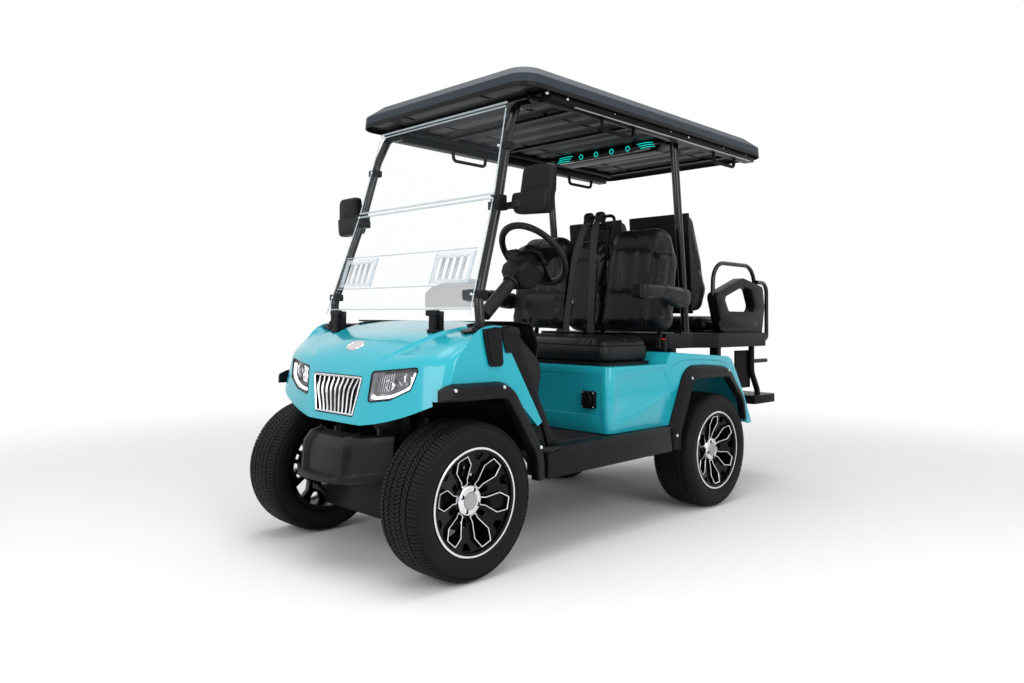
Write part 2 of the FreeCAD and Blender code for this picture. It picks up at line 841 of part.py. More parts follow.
def make_cowl():
    skin = nose_form(0, 0)
    shell = skin.cut(nose_form(number(s.panelWall), 60))
    side = number(s.bodyHalfWidth)
    low = s.noseLowZ
    right = [(183, low), (270, low + 14), (360, low + 35), (440, low + 60), (510, low + 88),
             (side + 40, low + 130)]
    chin = [(-u, v) for u, v in reversed(right)] + right + [(side + 40, low - 100), (-side - 40, low - 100)]
    shell = shell.cut(slab(chin, "XZ", s.noseY - 50, s.frontAxleY - 150))
    shell = shell.cut(slab(arch_outline(), "YZ", -side - 50, side + 50))
    hair = 0.4
    inner_side = side - number(s.panelWall) + hair
    strip = slab(side_strip(), "YZ", inner_side, side - hair)
    trim = [(s.frontAxleY + 152, 860), (s.frontAxleY + 152, 940), (s.hoodBackY + 300, 940),
            (s.hoodBackY + 300, 300), (s.frontAxleY + 152, 300)]
    side_trim = slab(trim, "YZ", side - 26, side + 50)
    shell = shell.cut(side_trim).cut(flipped(side_trim))
    shell = shell.fuse([strip, flipped(strip)]).removeSplitter()
    post_x, post_y = number(s.postFootX), number(s.postFootY) - 10
    post_hole = slab([(post_x - 26, post_y - 32), (post_x + 22, post_y - 32), (post_x + 22, post_y + 32),
                      (post_x - 26, post_y + 32)], "XY", s.hoodBackZ - 94, s.hoodBackZ + 20)
    for opening in (window(GRILLE, 0), window(HEADLAMP, 0), post_hole):
        shell = shell.cut(opening).cut(flipped(opening))
    return shell


def side_strip():
    # the panel's tail between the front flare and the dash, down to its tip beside the sill
    y = s.frontAxleY
    return [(y + 100, 905), (y + 152, 905), (y + 380, 542), (y + 356, 528), (y + 200, s.archTopZ + 20),
            (y + 100, s.archTopZ + 20)]


node("front_cowl", free_form("FrontCowl", make_cowl()))


# Grille: a frame and upright bars that follow the nose
def make_grille():
    band = nose_form(-3, 0).cut(nose_form(16, 60))
    frame = window(GRILLE, -0.3).cut(window(GRILLE, -13))
    pieces = [frame]
    bars = 9
    for i in range(bars):
        share = (i + 1) / (bars + 1) * 2 - 1
        top, foot = share * 172, share * 131
        pieces.append(slab([(top - 6, 726), (top + 6, 726), (foot + 6, 576), (foot - 6, 576)], "XZ",
                           s.noseY - 60, s.noseY + 200))
    bars_and_frame = pieces[0].fuse(pieces[1:]).common(band)
    back = window(GRILLE, -0.3).common(nose_form(16, 60).cut(nose_form(22, 60)))
    return bars_and_frame.fuse(back).removeSplitter()


node("grille", free_form("Grille", make_grille()))


# Headlamps: closed lamp units set in the nose
def make_headlamp():
    lamp = window(HEADLAMP, -0.3).common(nose_form(-2, 0).cut(nose_form(70, 60)))
    return Part.makeCompound([lamp, flipped(lamp)])


node("headlamps", free_form("Headlamps", make_headlamp()))


# Front bumper: a moulded centre box with swept wings, carried by the frame's front end
BUMPER_STATIONS = (
    # x, then (y from the nose, z) of: top rear, top front, face top, face middle, face foot,
    # chin top, chin bottom, underside
    (0, (37, 503), (-5, 488), (-33, 455), (-41, 400), (-43, 352), (-79, 346), (-83, 328), (-13, 318)),
    (100, (37, 503), (-2, 488), (-29, 455), (-37, 400), (-39, 352), (-75, 346), (-79, 328), (-13, 318)),
    (113, (37, 504), (0, 489), (-27, 455), (-35, 400), (-37, 352), (-72, 346), (-76, 328), (-12, 318)),
    (121, (37, 510), (-12, 498), (-43, 461), (-49, 400), (-51, 352), (-68, 346), (-72, 328), (-10, 318)),
    (143, (38, 510), (-8, 498), (-38, 461), (-44, 400), (-46, 352), (-60, 346), (-64, 328), (-6, 318)),
    (152, (42, 501), (17, 491), (3, 466), (-9, 410), (-20, 360), (-44, 350), (-47, 331), (2, 320)),
    (200, (77, 503), (62, 495), (51, 471), (44, 418), (36, 364), (28, 353), (27, 337), (55, 325)),
    (262, (117, 505), (112, 500), (109, 480), (105, 430), (102, 380), (100, 365), (101, 350), (112, 344)),
)
BUMPER_WALL = 5


def make_bumper():
    wall = BUMPER_WALL
    wires = []
    for x, *spots in list(reversed(BUMPER_STATIONS)) + list(BUMPER_STATIONS[1:]):
        side = -1 if len(wires) < len(BUMPER_STATIONS) - 1 else 1
        top_rear, top_front, face_top, face, foot, _, chin_low, under = spots
        inner = [(under[0], under[1] + wall), (foot[0] + wall + 1, chin_low[1] + wall + 1),
                 (foot[0] + wall, foot[1]), (face[0] + wall, face[1]), (face_top[0] + wall, face_top[1] - 2),
                 (top_front[0] + wall / 2, top_front[1] - wall), (top_rear[0], top_rear[1] - wall)]
        points = [Vector(side * x, number(s.noseY) + y, z) for y, z in spots + inner]
        wires.append(Part.makePolygon(points + points[:1]))
    skin = Part.makeLoft(wires, True, True)
    arm = slab([(88, s.railBottomZ + 10), (112, s.railBottomZ + 10), (112, s.railTopZ - 10),
                (88, s.railTopZ - 10)],
               "XZ", s.noseY - 33, s.frameFrontY)
    return skin.fuse([arm, flipped(arm)])


node("front_bumper", free_form("FrontBumper", make_bumper()))


# Fender flares: black arches over the four wheels
FLARE_X = s.bodyHalfWidth + s.flareStandOut


def make_flares():
    y = s.frontAxleY
    arch = s.archTopZ
    front = [(y - 160, arch + 2), (y - 152, arch + 44, 14), (y - 100, arch + 62, 40),
             (y + 165, arch + 62, 70), (y + 368, arch - 240, 200), (y + 378, s.sillBottomZ),
             (y + 322, s.sillBottomZ), (y + 316, arch - 240, 180), (y + 150, arch, 60)]
    y = REAR_AXLE_Y
    rear = [(y - 345, s.sillBottomZ + 8), (y - 415, s.sillBottomZ + 8), (y - 392, arch - 240, 150),
            (y - 250, arch + 62, 80),
            (y + 128, arch + 66, 80), (y + 288, arch - 130, 100), (y + 312, arch - 235),
            (y + 275, arch - 235),
            (y + 252, arch - 130, 100), (y + 108, arch + 6, 60), (y - 218, arch + 6, 60),
            (y - 336, arch - 240, 150)]
    pieces = []
    for label, outline in (("Front", front), ("Rear", rear)):
        body = new_body("Flare" + label)
        prism(body, f"Flare{label}Arch", "YZ", outline, s.bodyHalfWidth + s.runningGap, FLARE_X)
        if label == "Front":
            tip = s.frontAxleY - 165
            taper = [(s.bodyHalfWidth + s.flareTipStandOut, tip), (FLARE_X + 5, tip + 70),
                     (FLARE_X + 5, tip)]
            prism(body, "FlareTaper", "XY", taper, s.sillBottomZ, arch + 80, cut=True)
        pieces += [body, other_side(f"Flare{label}Right", body)]
    return group("Flares", pieces)


node("fender_flares", make_flares())


# Covers at the foot of the front posts
def make_post_cover():
    y = s.frontAxleY
    body = new_body("PostCover")
    tongue = [(y + 4, 900, 12), (y + 81, 769, 26), (y + 154, 782, 26), (y + 121, 900, 12)]
    prism(body, "Tongue", "YZ", tongue, s.bodyHalfWidth + s.runningGap, s.bodyHalfWidth + 14)
    return pair("PostCovers", body)


node("post_covers", make_post_cover())


# Dashboard: a folded panel with a top deck and two side wings that reach down to the sills
def make_dash():
    body = new_body("Dash")
    y = s.hoodBackY
    z = s.hoodBackZ
    gap = s.runningGap
    outer = [
        (y + gap, z), (y + 70, z - 6, 20), (y + 112, z - 90, 25), (y + 80, z - 250, 40), (y + 20, z - 330),
        (s.floorFrontY - 30, s.floorTopZ), (s.floorFrontY - 36, s.floorTopZ),
        (y + 13, z - 331), (y + 74, z - 249, 36), (y + 105, z - 91, 21), (y + 66, z - 13, 16),
        (y + gap, z - 7),
    ]
    half = s.bodyHalfWidth - s.panelWall - gap
    prism(body, "DashPanel", "YZ", outer, -half, half)
    wing = [
        (s.frontAxleY + 153.5 + gap, 903), (s.frontAxleY + 230, 900, 30), (y + 130, z - 175, 90),
        (y + 104, z - 290, 60),
        (s.floorFrontY + 140, s.floorTopZ + gap), (s.floorFrontY + 90, s.floorTopZ + gap),
        (s.frontAxleY + 381 + gap, 541),
    ]
    wings = prism(body, "DashWing", "YZ", wing, half - 14, s.bodyHalfWidth)
    both_sides(body, "DashWings", [wings])
    return body


node("dashboard", make_dash())


# Floor with its toe end, and the sills along both sides
def make_floor():
    body = new_body("Floor")
    half = FLARE_X - 4
    plan = [(-half, s.floorFrontY + 140), (-s.bodyHalfWidth + 30, s.floorFrontY - 36),
            (s.bodyHalfWidth - 30, s.floorFrontY - 36), (half, s.floorFrontY + 140),
            (half, s.seatBoxFrontY), (-half, s.seatBoxFrontY)]
    prism(body, "FloorPlate", "XY", plan, s.railTopZ, s.floorTopZ)
    sill = [(s.frontAxleY + 380, s.sillBottomZ), (s.frontAxleY + 380, s.floorTopZ - 20),
            (s.floorFrontY + 97, s.floorTopZ - 20),
            (s.floorFrontY + 140, s.floorTopZ), (REAR_AXLE_Y - 436, s.floorTopZ + 8),
            (REAR_AXLE_Y - 416, s.sillBottomZ + 10)]
    sills = prism(body, "Sill", "YZ", sill, half - s.sillWidth, half)
    both_sides(body, "Sills", [sills])
    return body


node("floorboard", make_floor())


# Rear body: the seat box and the rear fenders in one hollow shell
def make_rear_body():
    body = new_body("RearBody")
    half = s.bodyHalfWidth
    wall = s.panelWall
    front = s.seatBoxFrontY
    base = s.floorTopZ + 8
    axle = REAR_AXLE_Y

    def side_view(inset):
        low = inset * 10
        return [(front + inset, base - low), (front + inset, s.seatBoxTopZ - inset),
                (front + s.seatBoxDepth + inset, s.seatBoxTopZ - inset, 5),
                (front + s.seatBoxDepth + s.seatBoxRise + inset, s.fenderTopZ - inset, 30),
                (s.tailTopY - inset / 2, s.tailTopZ - inset, 90), (s.tailBendY - inset, s.tailBendZ, 100),
                (s.fenderRearY - inset, 390 - low), (s.fenderRearY - 60, 390 - low),
                (s.fenderRearY - 60, base - low)]

    prism(body, "Form", "YZ", side_view(0), -half, half)
    prism(body, "Hollow", "YZ", side_view(wall), -half + wall, half - wall, cut=True)

    def corner_at(inset):
        corner_x, corner_y = number(half - inset), number(front + inset)
        return lambda middle, way: (abs(way.z) > 0.99 and abs(abs(middle.x) - corner_x) < 0.5
                                    and abs(middle.y - corner_y) < 0.5)

    round_edges(body, "InnerShoulders", s.shoulderRadius - wall, corner_at(wall))
    round_edges(body, "Shoulders", s.shoulderRadius, corner_at(0))
    arch = s.archTopZ
    opening = [(axle - 430, base - 80), (axle - 336, arch - 240, 150), (axle - 218, arch + 8, 60),
               (axle + 112, arch + 8, 60), (axle + 270, arch - 130, 100), (axle + 290, arch - 235),
               (axle + 290, 300),
               (axle - 430, 300)]
    prism(body, "Arches", "YZ", opening, -half - 20, half + 20, cut=True)
    seat_hole = [(-half + 70, front + 70), (half - 70, front + 70), (half - 70, front + 400),
                 (-half + 70, front + 400)]
    prism(body, "SeatOpening", "XY", seat_hole, s.seatBoxTopZ - 20, s.seatBoxTopZ + 20, cut=True)
    bed_front = front + s.seatBoxDepth + s.seatBoxRise + 8
    under_bed = [(-half + 140, bed_front), (half - 140, bed_front), (half - 140, s.tailTopY),
                 (-half + 140, s.tailTopY)]
    prism(body, "BedOpening", "XY", under_bed, s.tailBendZ, s.fenderTopZ + 20, cut=True)
    behind_rails = [(-half + 140, s.tailBendY), (half - 140, s.tailBendY), (half - 140, s.fenderRearY + 20),
                    (-half + 140, s.fenderRearY + 20)]
    prism(body, "RailNotch", "XY", behind_rails, s.railBottomZ - 40, s.railTopZ + 10, cut=True)
    return body


node("rear_body", make_rear_body())


def fender_top(y):
    # height of the rear body's upper face behind the seat box
    start = s.seatBoxFrontY + s.seatBoxDepth + s.seatBoxRise
    return s.fenderTopZ + (y - start) * (s.tailTopZ - s.fenderTopZ) / (s.tailTopY - start)


# Charge socket with its flap, on the seat box's front face
def make_charge_port():
    body = new_body("ChargePort")
    front = s.seatBoxFrontY - s.runningGap
    x, z = s.bodyHalfWidth - 108, s.seatBoxTopZ - 150
    plate = [(x - 40, z - 34, 8), (x + 40, z - 34, 8), (x + 40, z + 36, 8), (x - 40, z + 36, 8)]
    prism(body, "PortPlate", "XZ", plate, front - 8, front)
    prism(body, "PortFlap", "XZ", [("circle", x, z, 27)], front - 18, front - 8)
    return body


node("charge_port", make_charge_port())


# Front posts: one bent tube on each side, leaning in towards the roof, with a cross tube on the towers
POST_LEAN = 4.16


def make_front_posts():
    y = s.postFootY
    path = [
        (y, s.towerTopZ + 5),
        (s.postKneeY + 4, s.postBellyZ, s.postBendSoft),
        (s.postKneeY, s.postKneeZ, s.postBendKnee),
        (s.postHingeY, s.postHingeZ, s.postBendSoft),
        (s.postShoulderY, s.postShoulderZ, s.postBendShoulder),
        (s.postCrownY, s.postCrownZ, s.postBendCrown),
        (s.postEndY, s.roofLipZ - 20),
    ]
    post = bent_tube("FrontPost", "YZ", s.postBaseX, path, s.postRadius, POST_LEAN)
    cross_z = s.towerTopZ + s.postRadius
    cross = rod("PostCross", (-s.postFootX - 14, y, cross_z), (s.postFootX + 14, y, cross_z), s.postRadius)
    feet = block("PostCrossFeet", (-s.railX - 22, s.railX + 22), (s.frontAxleY - 20, y),
                 (s.towerTopZ, s.towerTopZ + 8))
    return post, joined("FrontPosts", [post, other_side("FrontPostRight", post), cross, feet])


front_post, front_posts = make_front_posts()
node("front_posts", front_posts)


# Rear posts: straight tubes that stand on the bed, with cross tubes and brackets for the rear seat backs
def rear_post_y(z):
    lean = (s.rearPostTopY - s.rearPostFootY) / (s.roofLipZ - s.trayTopZ - 13)
    return s.rearPostFootY + (z - s.trayTopZ - 6) * lean


def rear_back_face(z):
    # the rear seat backs' front face at the given height
    lean = (s.rearBackLowY - s.rearBackTopY) / (s.rearBackTopZ - s.rearBackLowZ)
    return s.rearBackTopY + (s.rearBackTopZ - z) * lean


def make_rear_posts():
    foot, top = s.trayTopZ + 6, s.roofLipZ - 7
    x = s.rearPostX
    post = rod("RearPost", (x, rear_post_y(foot), foot), (x, rear_post_y(top), top), s.rearPostRadius)
    flange = block("RearPostFlange", (x - 45, s.trayNarrowX - 2), (440, 516), (s.trayTopZ, s.trayTopZ + 8))
    brackets = []
    for i, z in enumerate((sized(1030), sized(1300))):
        cross = rod(f"RearBackCross{i}", (0, rear_post_y(z), z), (x, rear_post_y(z), z), 14)
        brackets.append(cross)
        for middle in (110, 340):
            end = rear_back_face(z + 15) - s.runningGap
            brackets.append(block(f"RearBackBracket{i}At{middle}", (middle - 16, middle + 16),
                                  (rear_post_y(z), end),
                                  (z - 15, z + 15)))
    one = joined("RearPostLeft", [post, flange] + brackets)
    return joined("RearPosts", [one, other_side("RearPostRight", one)])


node("rear_posts", make_rear_posts())


# Roof: a crowned shell with a deep lip
def make_roof():
    body = new_body("Roof")

    def plan(inset):
        half = s.roofHalfWidth - inset
        front, rear = s.roofFrontY + inset, s.roofRearY - inset
        corner = s.roofCorner
        return [(-half, front, corner), (half, front, corner), (half, rear, corner), (-half, rear, corner)]

    def layers(name, inset, low, high, mid, cut):
        sketches = [
            new_sketch(body, f"{name}{i}", "XY", level, [plan(amount)])
            for i, (level, amount) in enumerate(((low, inset), (mid, inset + 3), (high - 14, inset + 60),
                                                 (high, inset + 250)))
        ]
        loft = body.newObject("PartDesign::SubtractiveLoft" if cut else "PartDesign::AdditiveLoft", name)
        loft.Profile = sketches[0]
        loft.Sections = sketches[1:]
        loft.Ruled = True
        body.Tip = loft

    lip = s.roofLipZ
    crown = lip + s.roofLipHeight + s.roofCrown
    layers("RoofForm", sized(0), lip, crown, lip + s.roofLipHeight, False)
    layers("RoofHollow", s.roofWall, lip, crown - s.roofWall, lip + s.roofLipHeight - s.roofWall, True)
    return body


node("roof", make_roof())


# Roof frame under the shell: long tubes, side bars, cross bars and the four grab handles
def make_roof_rails():
    z = s.roofLipZ + 10
    front, rear = s.frontAxleY + 480, s.roofRearY - 120
    tube = rod("RoofTube", (s.rearPostX, front - 80, z), (s.rearPostX, rear, z), s.railTubeRadius)
    bar = block("RoofSideBar", (s.handleX - 14, s.handleX + 45), (front - 60, rear + 30), (z - 40, z + 10))
    handles = []
    for number_of, start, end in ((1, -330, -75), (2, 625, 860)):
        path = [(start, z + 4), (start + 14, z - 84, 22), (end - 14, z - 84, 22), (end, z + 4)]
        handles.append(bent_tube(f"Handle{number_of}", "YZ", s.handleX, path, s.handleRadius))
    left = [tube, bar] + handles
    right = [other_side(piece.Name + "Right", piece) for piece in left]
    crosses = []
    lip_face = s.roofHalfWidth - s.roofWall - 2.2
    for i, start in enumerate((front - 60, front + 230, 0, 352, rear - 30)):
        half = lip_face if i in (1, 2, 3) else s.handleX
        crosses.append(block(f"RoofCross{i}", (-half, half), (start, start + 30), (z - 2, z + 15)))
    return joined("RoofRails", left + right + crosses)


# Ceiling: a plate on the roof's cross bars that closes the shell from below
def make_ceiling():
    body = new_body("Ceiling")
    low = s.roofLipZ + 25
    half = s.roofHalfWidth - s.roofWall - s.ceilingGap
    front, rear = s.roofFrontY + s.roofWall + s.ceilingGap, s.roofRearY - s.roofWall - s.ceilingGap
    corner = s.roofCorner - s.ceilingGap
    plan = [(-half, front, corner), (half, front, corner), (half, rear, corner), (-half, rear, corner)]
    prism(body, "CeilingPlate", "XY", plan, low, low + s.ceilingThickness)
    return body


node("roof_rails", make_roof_rails())
node("roof_ceiling", make_ceiling())


# Sound bar: hung under the roof between the rear posts
def make_sound_bar():
    body = new_body("SoundBar")
    top = s.roofLipZ + 8 - s.runningGap
    low = top - s.soundBarHeight
    outline = [(-s.soundBarHalfTop, top), (-s.soundBarHalfBottom, low, 12), (s.soundBarHalfBottom, low, 12),
               (s.soundBarHalfTop, top)]
    prism(body, "SoundBarCase", "XZ", outline, sized(335), s.soundBarDepth + 335)
    return body


node("sound_bar", make_sound_bar())


# Windshield: a lower panel with two groups of slots and a vent plate, and an upper panel above the hinge bar
def glass_back(z, upper=False):
    # the glass's back face at the given height: straight ahead of the posts, clear of them by the glass gap
    if upper:
        slope = (s.postShoulderY - s.postHingeY) / (s.postShoulderZ - s.postHingeZ)
        return s.postHingeY + (z - s.postHingeZ) * slope - s.postRadius * 1.02 - s.glassGap
    slope = (s.postHingeY - s.postKneeY) / (s.postHingeZ - s.postKneeZ)
    return s.postKneeY + (z - s.postKneeZ) * slope - s.postRadius * 1.05 - s.glassGap


def glass_edge(z):
    # half width of the glass at the given height, just inside the posts' middle
    return s.postBaseX - z * math.tan(math.radians(POST_LEAN)) - s.glassEdgeIn


def band(low, high, upper, near, far):
    # side view of a plate parallel to the glass, between two distances ahead of the glass's back face
    return [(glass_back(low, upper) - near, low), (glass_back(low, upper) - far, low),
            (glass_back(high, upper) - far, high), (glass_back(high, upper) - near, high)]


def make_windshield():
    body = new_body("Windshield")
    middle = s.postHingeZ + s.hingeBarRise
    reach = s.bodyHalfWidth
    prism(body, "LowerGlass", "YZ", band(s.glassBottomZ, middle - 6, False, 0, s.glassThickness), -reach,
          reach)
    prism(body, "UpperGlass", "YZ", band(middle + 6, s.glassTopZ, True, 0, s.glassThickness), -reach, reach)
    vent = band(s.ventBottomZ, s.ventTopZ, False, s.glassThickness / 2, s.glassThickness + s.ventThickness)
    prism(body, "VentPlate", "YZ", vent, -glass_edge(s.ventTopZ) + 6, glass_edge(s.ventTopZ) - 6)
    slots = []
    for side in (-1, 1):
        for i in range(5):
            middle_x = side * (s.ventSlotX + s.ventSlotPitch * i)
            low, high = middle_x - s.ventSlotWidth / 2, middle_x + s.ventSlotWidth / 2
            slots.append([(low, s.ventBottomZ + 40), (high, s.ventBottomZ + 40), (high, s.ventTopZ - 40),
                          (low, s.ventTopZ - 40)])
    prism(body, "VentSlots", "XZ", slots, s.frontAxleY - 60, s.postShoulderY, cut=True)
    low, high = s.glassBottomZ - 30, s.glassTopZ + 30
    side_cut = [(glass_edge(low), low), (reach + 20, low), (reach + 20, high), (glass_edge(high), high)]
    edges = prism(body, "GlassEdge", "XZ", side_cut, s.frontAxleY - 60, s.postShoulderY + 200, cut=True)
    both_sides(body, "GlassEdges", [edges])
    return body


node("windshield", make_windshield())


# Bars on the glass's edges and clamps that hold the two panels to the front posts
def make_fittings(post):
    bars = new_body("GlassBars")
    near, far = s.glassThickness, s.glassThickness + s.barDepth
    middle = s.postHingeZ + s.hingeBarRise
    for label, low, upper in (("Bottom", s.glassBottomZ, False), ("Top", s.glassTopZ - s.barHeight, True)):
        half = glass_edge(low)
        prism(bars, label + "Bar", "YZ", band(low, low + s.barHeight, upper, near, far), -half, half)
    lower = band(middle - s.barHeight, middle - 6, False, near, far)
    upper = band(middle + 6, middle + s.barHeight, True, near, far)
    half = glass_edge(middle)
    prism(bars, "HingeBar", "YZ", [lower[0], lower[1], upper[2], upper[3]], -half, half)
    pieces = [bars]
    clamps = (
        ("Low", s.postKneeZ + 16, False, s.postKneeY),
        ("Mid", s.postHingeZ - 2, False, s.postHingeY),
        ("High", s.postShoulderZ - 60, True, s.postShoulderY),
    )
    for label, z, is_upper, y in clamps:
        low, high = z - s.clampHeight / 2, z + s.clampHeight / 2
        body = new_body(f"Clamp{label}Block")
        middle_x = glass_edge(z) + s.glassEdgeIn
        outline = [(glass_back(low, is_upper), low), (y + s.postRadius + 8, low),
                   (y + s.postRadius + 8, high),
                   (glass_back(high, is_upper), high)]
        prism(body, f"Clamp{label}", "YZ", outline, middle_x - s.postRadius - 7, middle_x + s.postRadius + 7)
        clamp = without(f"Clamp{label}Left", body, post)
        pieces += [clamp, other_side(f"Clamp{label}Right", clamp)]
    return group("Fittings", pieces)


node("windshield_fittings", make_fittings(front_post))


# Mirrors on arms that are clamped to the front posts
def make_mirror():
    body = new_body("MirrorHousing")
    x, y, z = s.mirrorX, s.mirrorY, s.mirrorZ
    shell = [(x - 70, z - 92, 26), (x + 66, z - 92, 26), (x + 74, z + 88, 30), (x - 60, z + 88, 30)]
    prism(body, "MirrorShell", "XZ", shell, y - 24, y + 22)
    arm_z = s.postHingeZ - 31
    post_y = glass_back(arm_z) + s.postRadius + s.glassGap
    post_x = glass_edge(arm_z) + s.glassEdgeIn
    low, high = arm_z - 13, arm_z + 13
    outline = [(glass_back(low) + s.runningGap, low), (post_y + s.postRadius + 14, low),
               (post_y + s.postRadius + 14, high), (glass_back(high) + s.runningGap, high)]
    clamp_block = new_body("MirrorClampBlock")
    prism(clamp_block, "MirrorClampForm", "YZ", outline, post_x - s.postRadius - 8,
          post_x + s.postRadius + 8)
    clamp = without("MirrorClamp", clamp_block, front_post)
    arm = rod("MirrorArm", (post_x + s.postRadius + 4, post_y + 14, arm_z), (x - 40, y, arm_z), 12)
    return joined("MirrorLeft", [body, arm, clamp])


mirror_left = make_mirror()
node("mirrors", group("Mirrors", [mirror_left, other_side("MirrorRight", mirror_left)]))


# Steering: a fixed column with its shroud, and the wheel that turns on its end
def column_axis():
    tilt = math.radians(number(s.columnAngle))
    return Vector(0, math.cos(tilt), math.sin(tilt))


def make_column():
    axis = column_axis()
    wheel = Vector(number(s.steeringX), number(s.steeringY), number(s.steeringZ))
    top = wheel - axis * 34
    tube = doc.addObject("Part::Cylinder", "ColumnTube")
    bind(tube, "Radius", s.columnRadius)
    bind(tube, "Height", s.columnLength)
    foot = top - axis * number(s.columnLength)
    tube.Placement = Placement(foot, Rotation(Vector(0, 0, 1), axis))
    shroud = doc.addObject("Part::Cone", "ColumnShroud")
    shroud.Radius1 = 30
    shroud.Radius2 = 46
    shroud.Height = 120
    shroud.Placement = Placement(top - axis * 124, Rotation(Vector(0, 0, 1), axis))
    stalk = rod("Stalk", (s.steeringX, s.steeringY - 58, s.steeringZ - 54),
                (s.steeringX - 120, s.steeringY - 72, s.steeringZ - 66), 7)
    stalk_left = rod("StalkLeft", (s.steeringX, s.steeringY - 58, s.steeringZ - 54),
                     (s.steeringX + 120, s.steeringY - 72, s.steeringZ - 66), 7)
    base = new_body("ColumnBase")
    y, z = s.hoodBackY, s.hoodBackZ
    outline = [(y + 14, z - 0.9), (y + 56, z - 4.5), (y + 104, z + 42), (y + 74, z + 72), (y + 30, z + 44)]
    prism(base, "ColumnFoot", "YZ", outline, s.steeringX - 42, s.steeringX + 42)
    return joined("Column", [tube, shroud, stalk, stalk_left, base])


node("steering_column", make_column())


def make_steering_wheel():
    axis = column_axis()
    centre = Vector(number(s.steeringX), number(s.steeringY), number(s.steeringZ))
    turn = Rotation(Vector(1, 0, 0), axis.cross(Vector(1, 0, 0)) * -1, axis, "ZXY")
    rim = doc.addObject("Part::Torus", "SteeringRim")
    bind(rim, "Radius1", s.steeringRadius)
    bind(rim, "Radius2", s.steeringGrip)
    rim.Placement = Placement(centre, turn)
    hub = doc.addObject("Part::Cylinder", "SteeringHub")
    hub.Radius = 44
    hub.Height = 34
    hub.Placement = Placement(centre - axis * 33.7, turn)
    pieces = [rim, hub]
    for angle in (0, 180, 90):
        spoke = doc.addObject("Part::Box", f"SteeringSpoke{angle}")
        bind(spoke, "Length", s.steeringRadius)
        spoke.Width = 38
        spoke.Height = 9
        roll = Rotation(Vector(0, 0, 1), angle)
        spoke.Placement = Placement(centre, turn.multiply(roll)).multiply(Placement(Vector(0, -19, -14),
                                                                                    Rotation()))
        pieces.append(spoke)
    return joined("SteeringWheel", pieces)


node("steering_wheel", make_steering_wheel())


# Pedals hung from the toe end of the floor
def make_pedals():
    pieces = []
    for number_of, x in ((1, 205), (2, 330)):
        pad = block(f"Pedal{number_of}", (x - 32, x + 32), (-812, -800),
                    (s.floorTopZ + 70, s.floorTopZ + 170))
        arm = block(f"PedalArm{number_of}", (x - 8, x + 8), (-812, -800), (s.floorTopZ, s.floorTopZ + 70))
        pieces += [pad, arm]
    return joined("Pedals", pieces)


node("pedals", make_pedals())


# Front seat: a cushion on a base board that lifts about its front edge
def make_front_seat():
    body = new_body("FrontSeat")
    low = s.seatBoxTopZ + s.runningGap
    board = [(s.seatFrontY, low), (s.seatRearY, low), (s.seatRearY, low + 12), (s.seatFrontY, low + 12)]
    prism(body, "SeatBoard", "YZ", board, -s.seatHalfWidth + 12, s.seatHalfWidth - 12)
    top = low + s.seatThickness
    cushion = [(s.seatFrontY - 6, low + 12), (s.seatRearY, low + 12, 12), (s.seatRearY, top + 10, 34),
               (s.seatFrontY + 110, top + 2, 60), (s.seatFrontY - 14, top - 26, 40)]
    prism(body, "SeatCushion", "YZ", cushion, -s.seatHalfWidth, s.seatHalfWidth)
    side = number(s.seatHalfWidth) - 0.5
    round_edges(body, "SeatEdges", 11, lambda middle, way: abs(middle.x) > side)
    return body


node("front_seat", make_front_seat())


# Front seat backs: two outer backs and a narrow one between them, leaning back
BACK_LEAN = 7


def make_seat_backs():
    pieces = []
    for label, inner, outer, top in (("Left", s.backInnerX, s.backOuterX, s.backTopZ),
                                     ("Middle", 15 - s.backInnerX, s.backInnerX - 15,
                                      s.backTopZ - s.middleBackDrop)):
        body = new_body("SeatBack" + label)
        outline = [(inner, s.backBottomZ, 50), (outer, s.backBottomZ, 60), (outer + 0, top - 170, 140),
                   (outer - 66, top, 84), (inner + 46, top, 84), (inner, top - 180, 140)]
        if label == "Middle":
            outline = [(inner, s.backBottomZ, 40), (outer, s.backBottomZ, 40), (outer - 12, top, 50),
                       (inner + 12, top, 50)]
        prism(body, f"SeatBack{label}Pad", "XZ", outline, s.backY, s.backY + s.backThickness)
        round_edges(body, f"SeatBack{label}Edges", 24, lambda middle, way: middle.y < number(s.backY) + 0.5)
        pieces.append(body)
    for body in pieces:
        body.Placement = Placement(Vector(), Rotation(Vector(1, 0, 0), -BACK_LEAN),
                                   Vector(0, number(s.backY), number(s.backBottomZ)))
    return group("SeatBacks", [pieces[0], other_side("SeatBackRight", pieces[0]), pieces[1]])


node("seat_backs", make_seat_backs())


# Frame behind the seat backs, standing on the rear body and carrying the belt reels and the armrest pivots
def back_plane(z, behind=0):
    # the plane behind the leaning seat backs, at the given height
    lean = math.radians(BACK_LEAN)
    return s.backY + s.backThickness / math.cos(lean) + (z - s.backBottomZ) * math.tan(lean) + behind


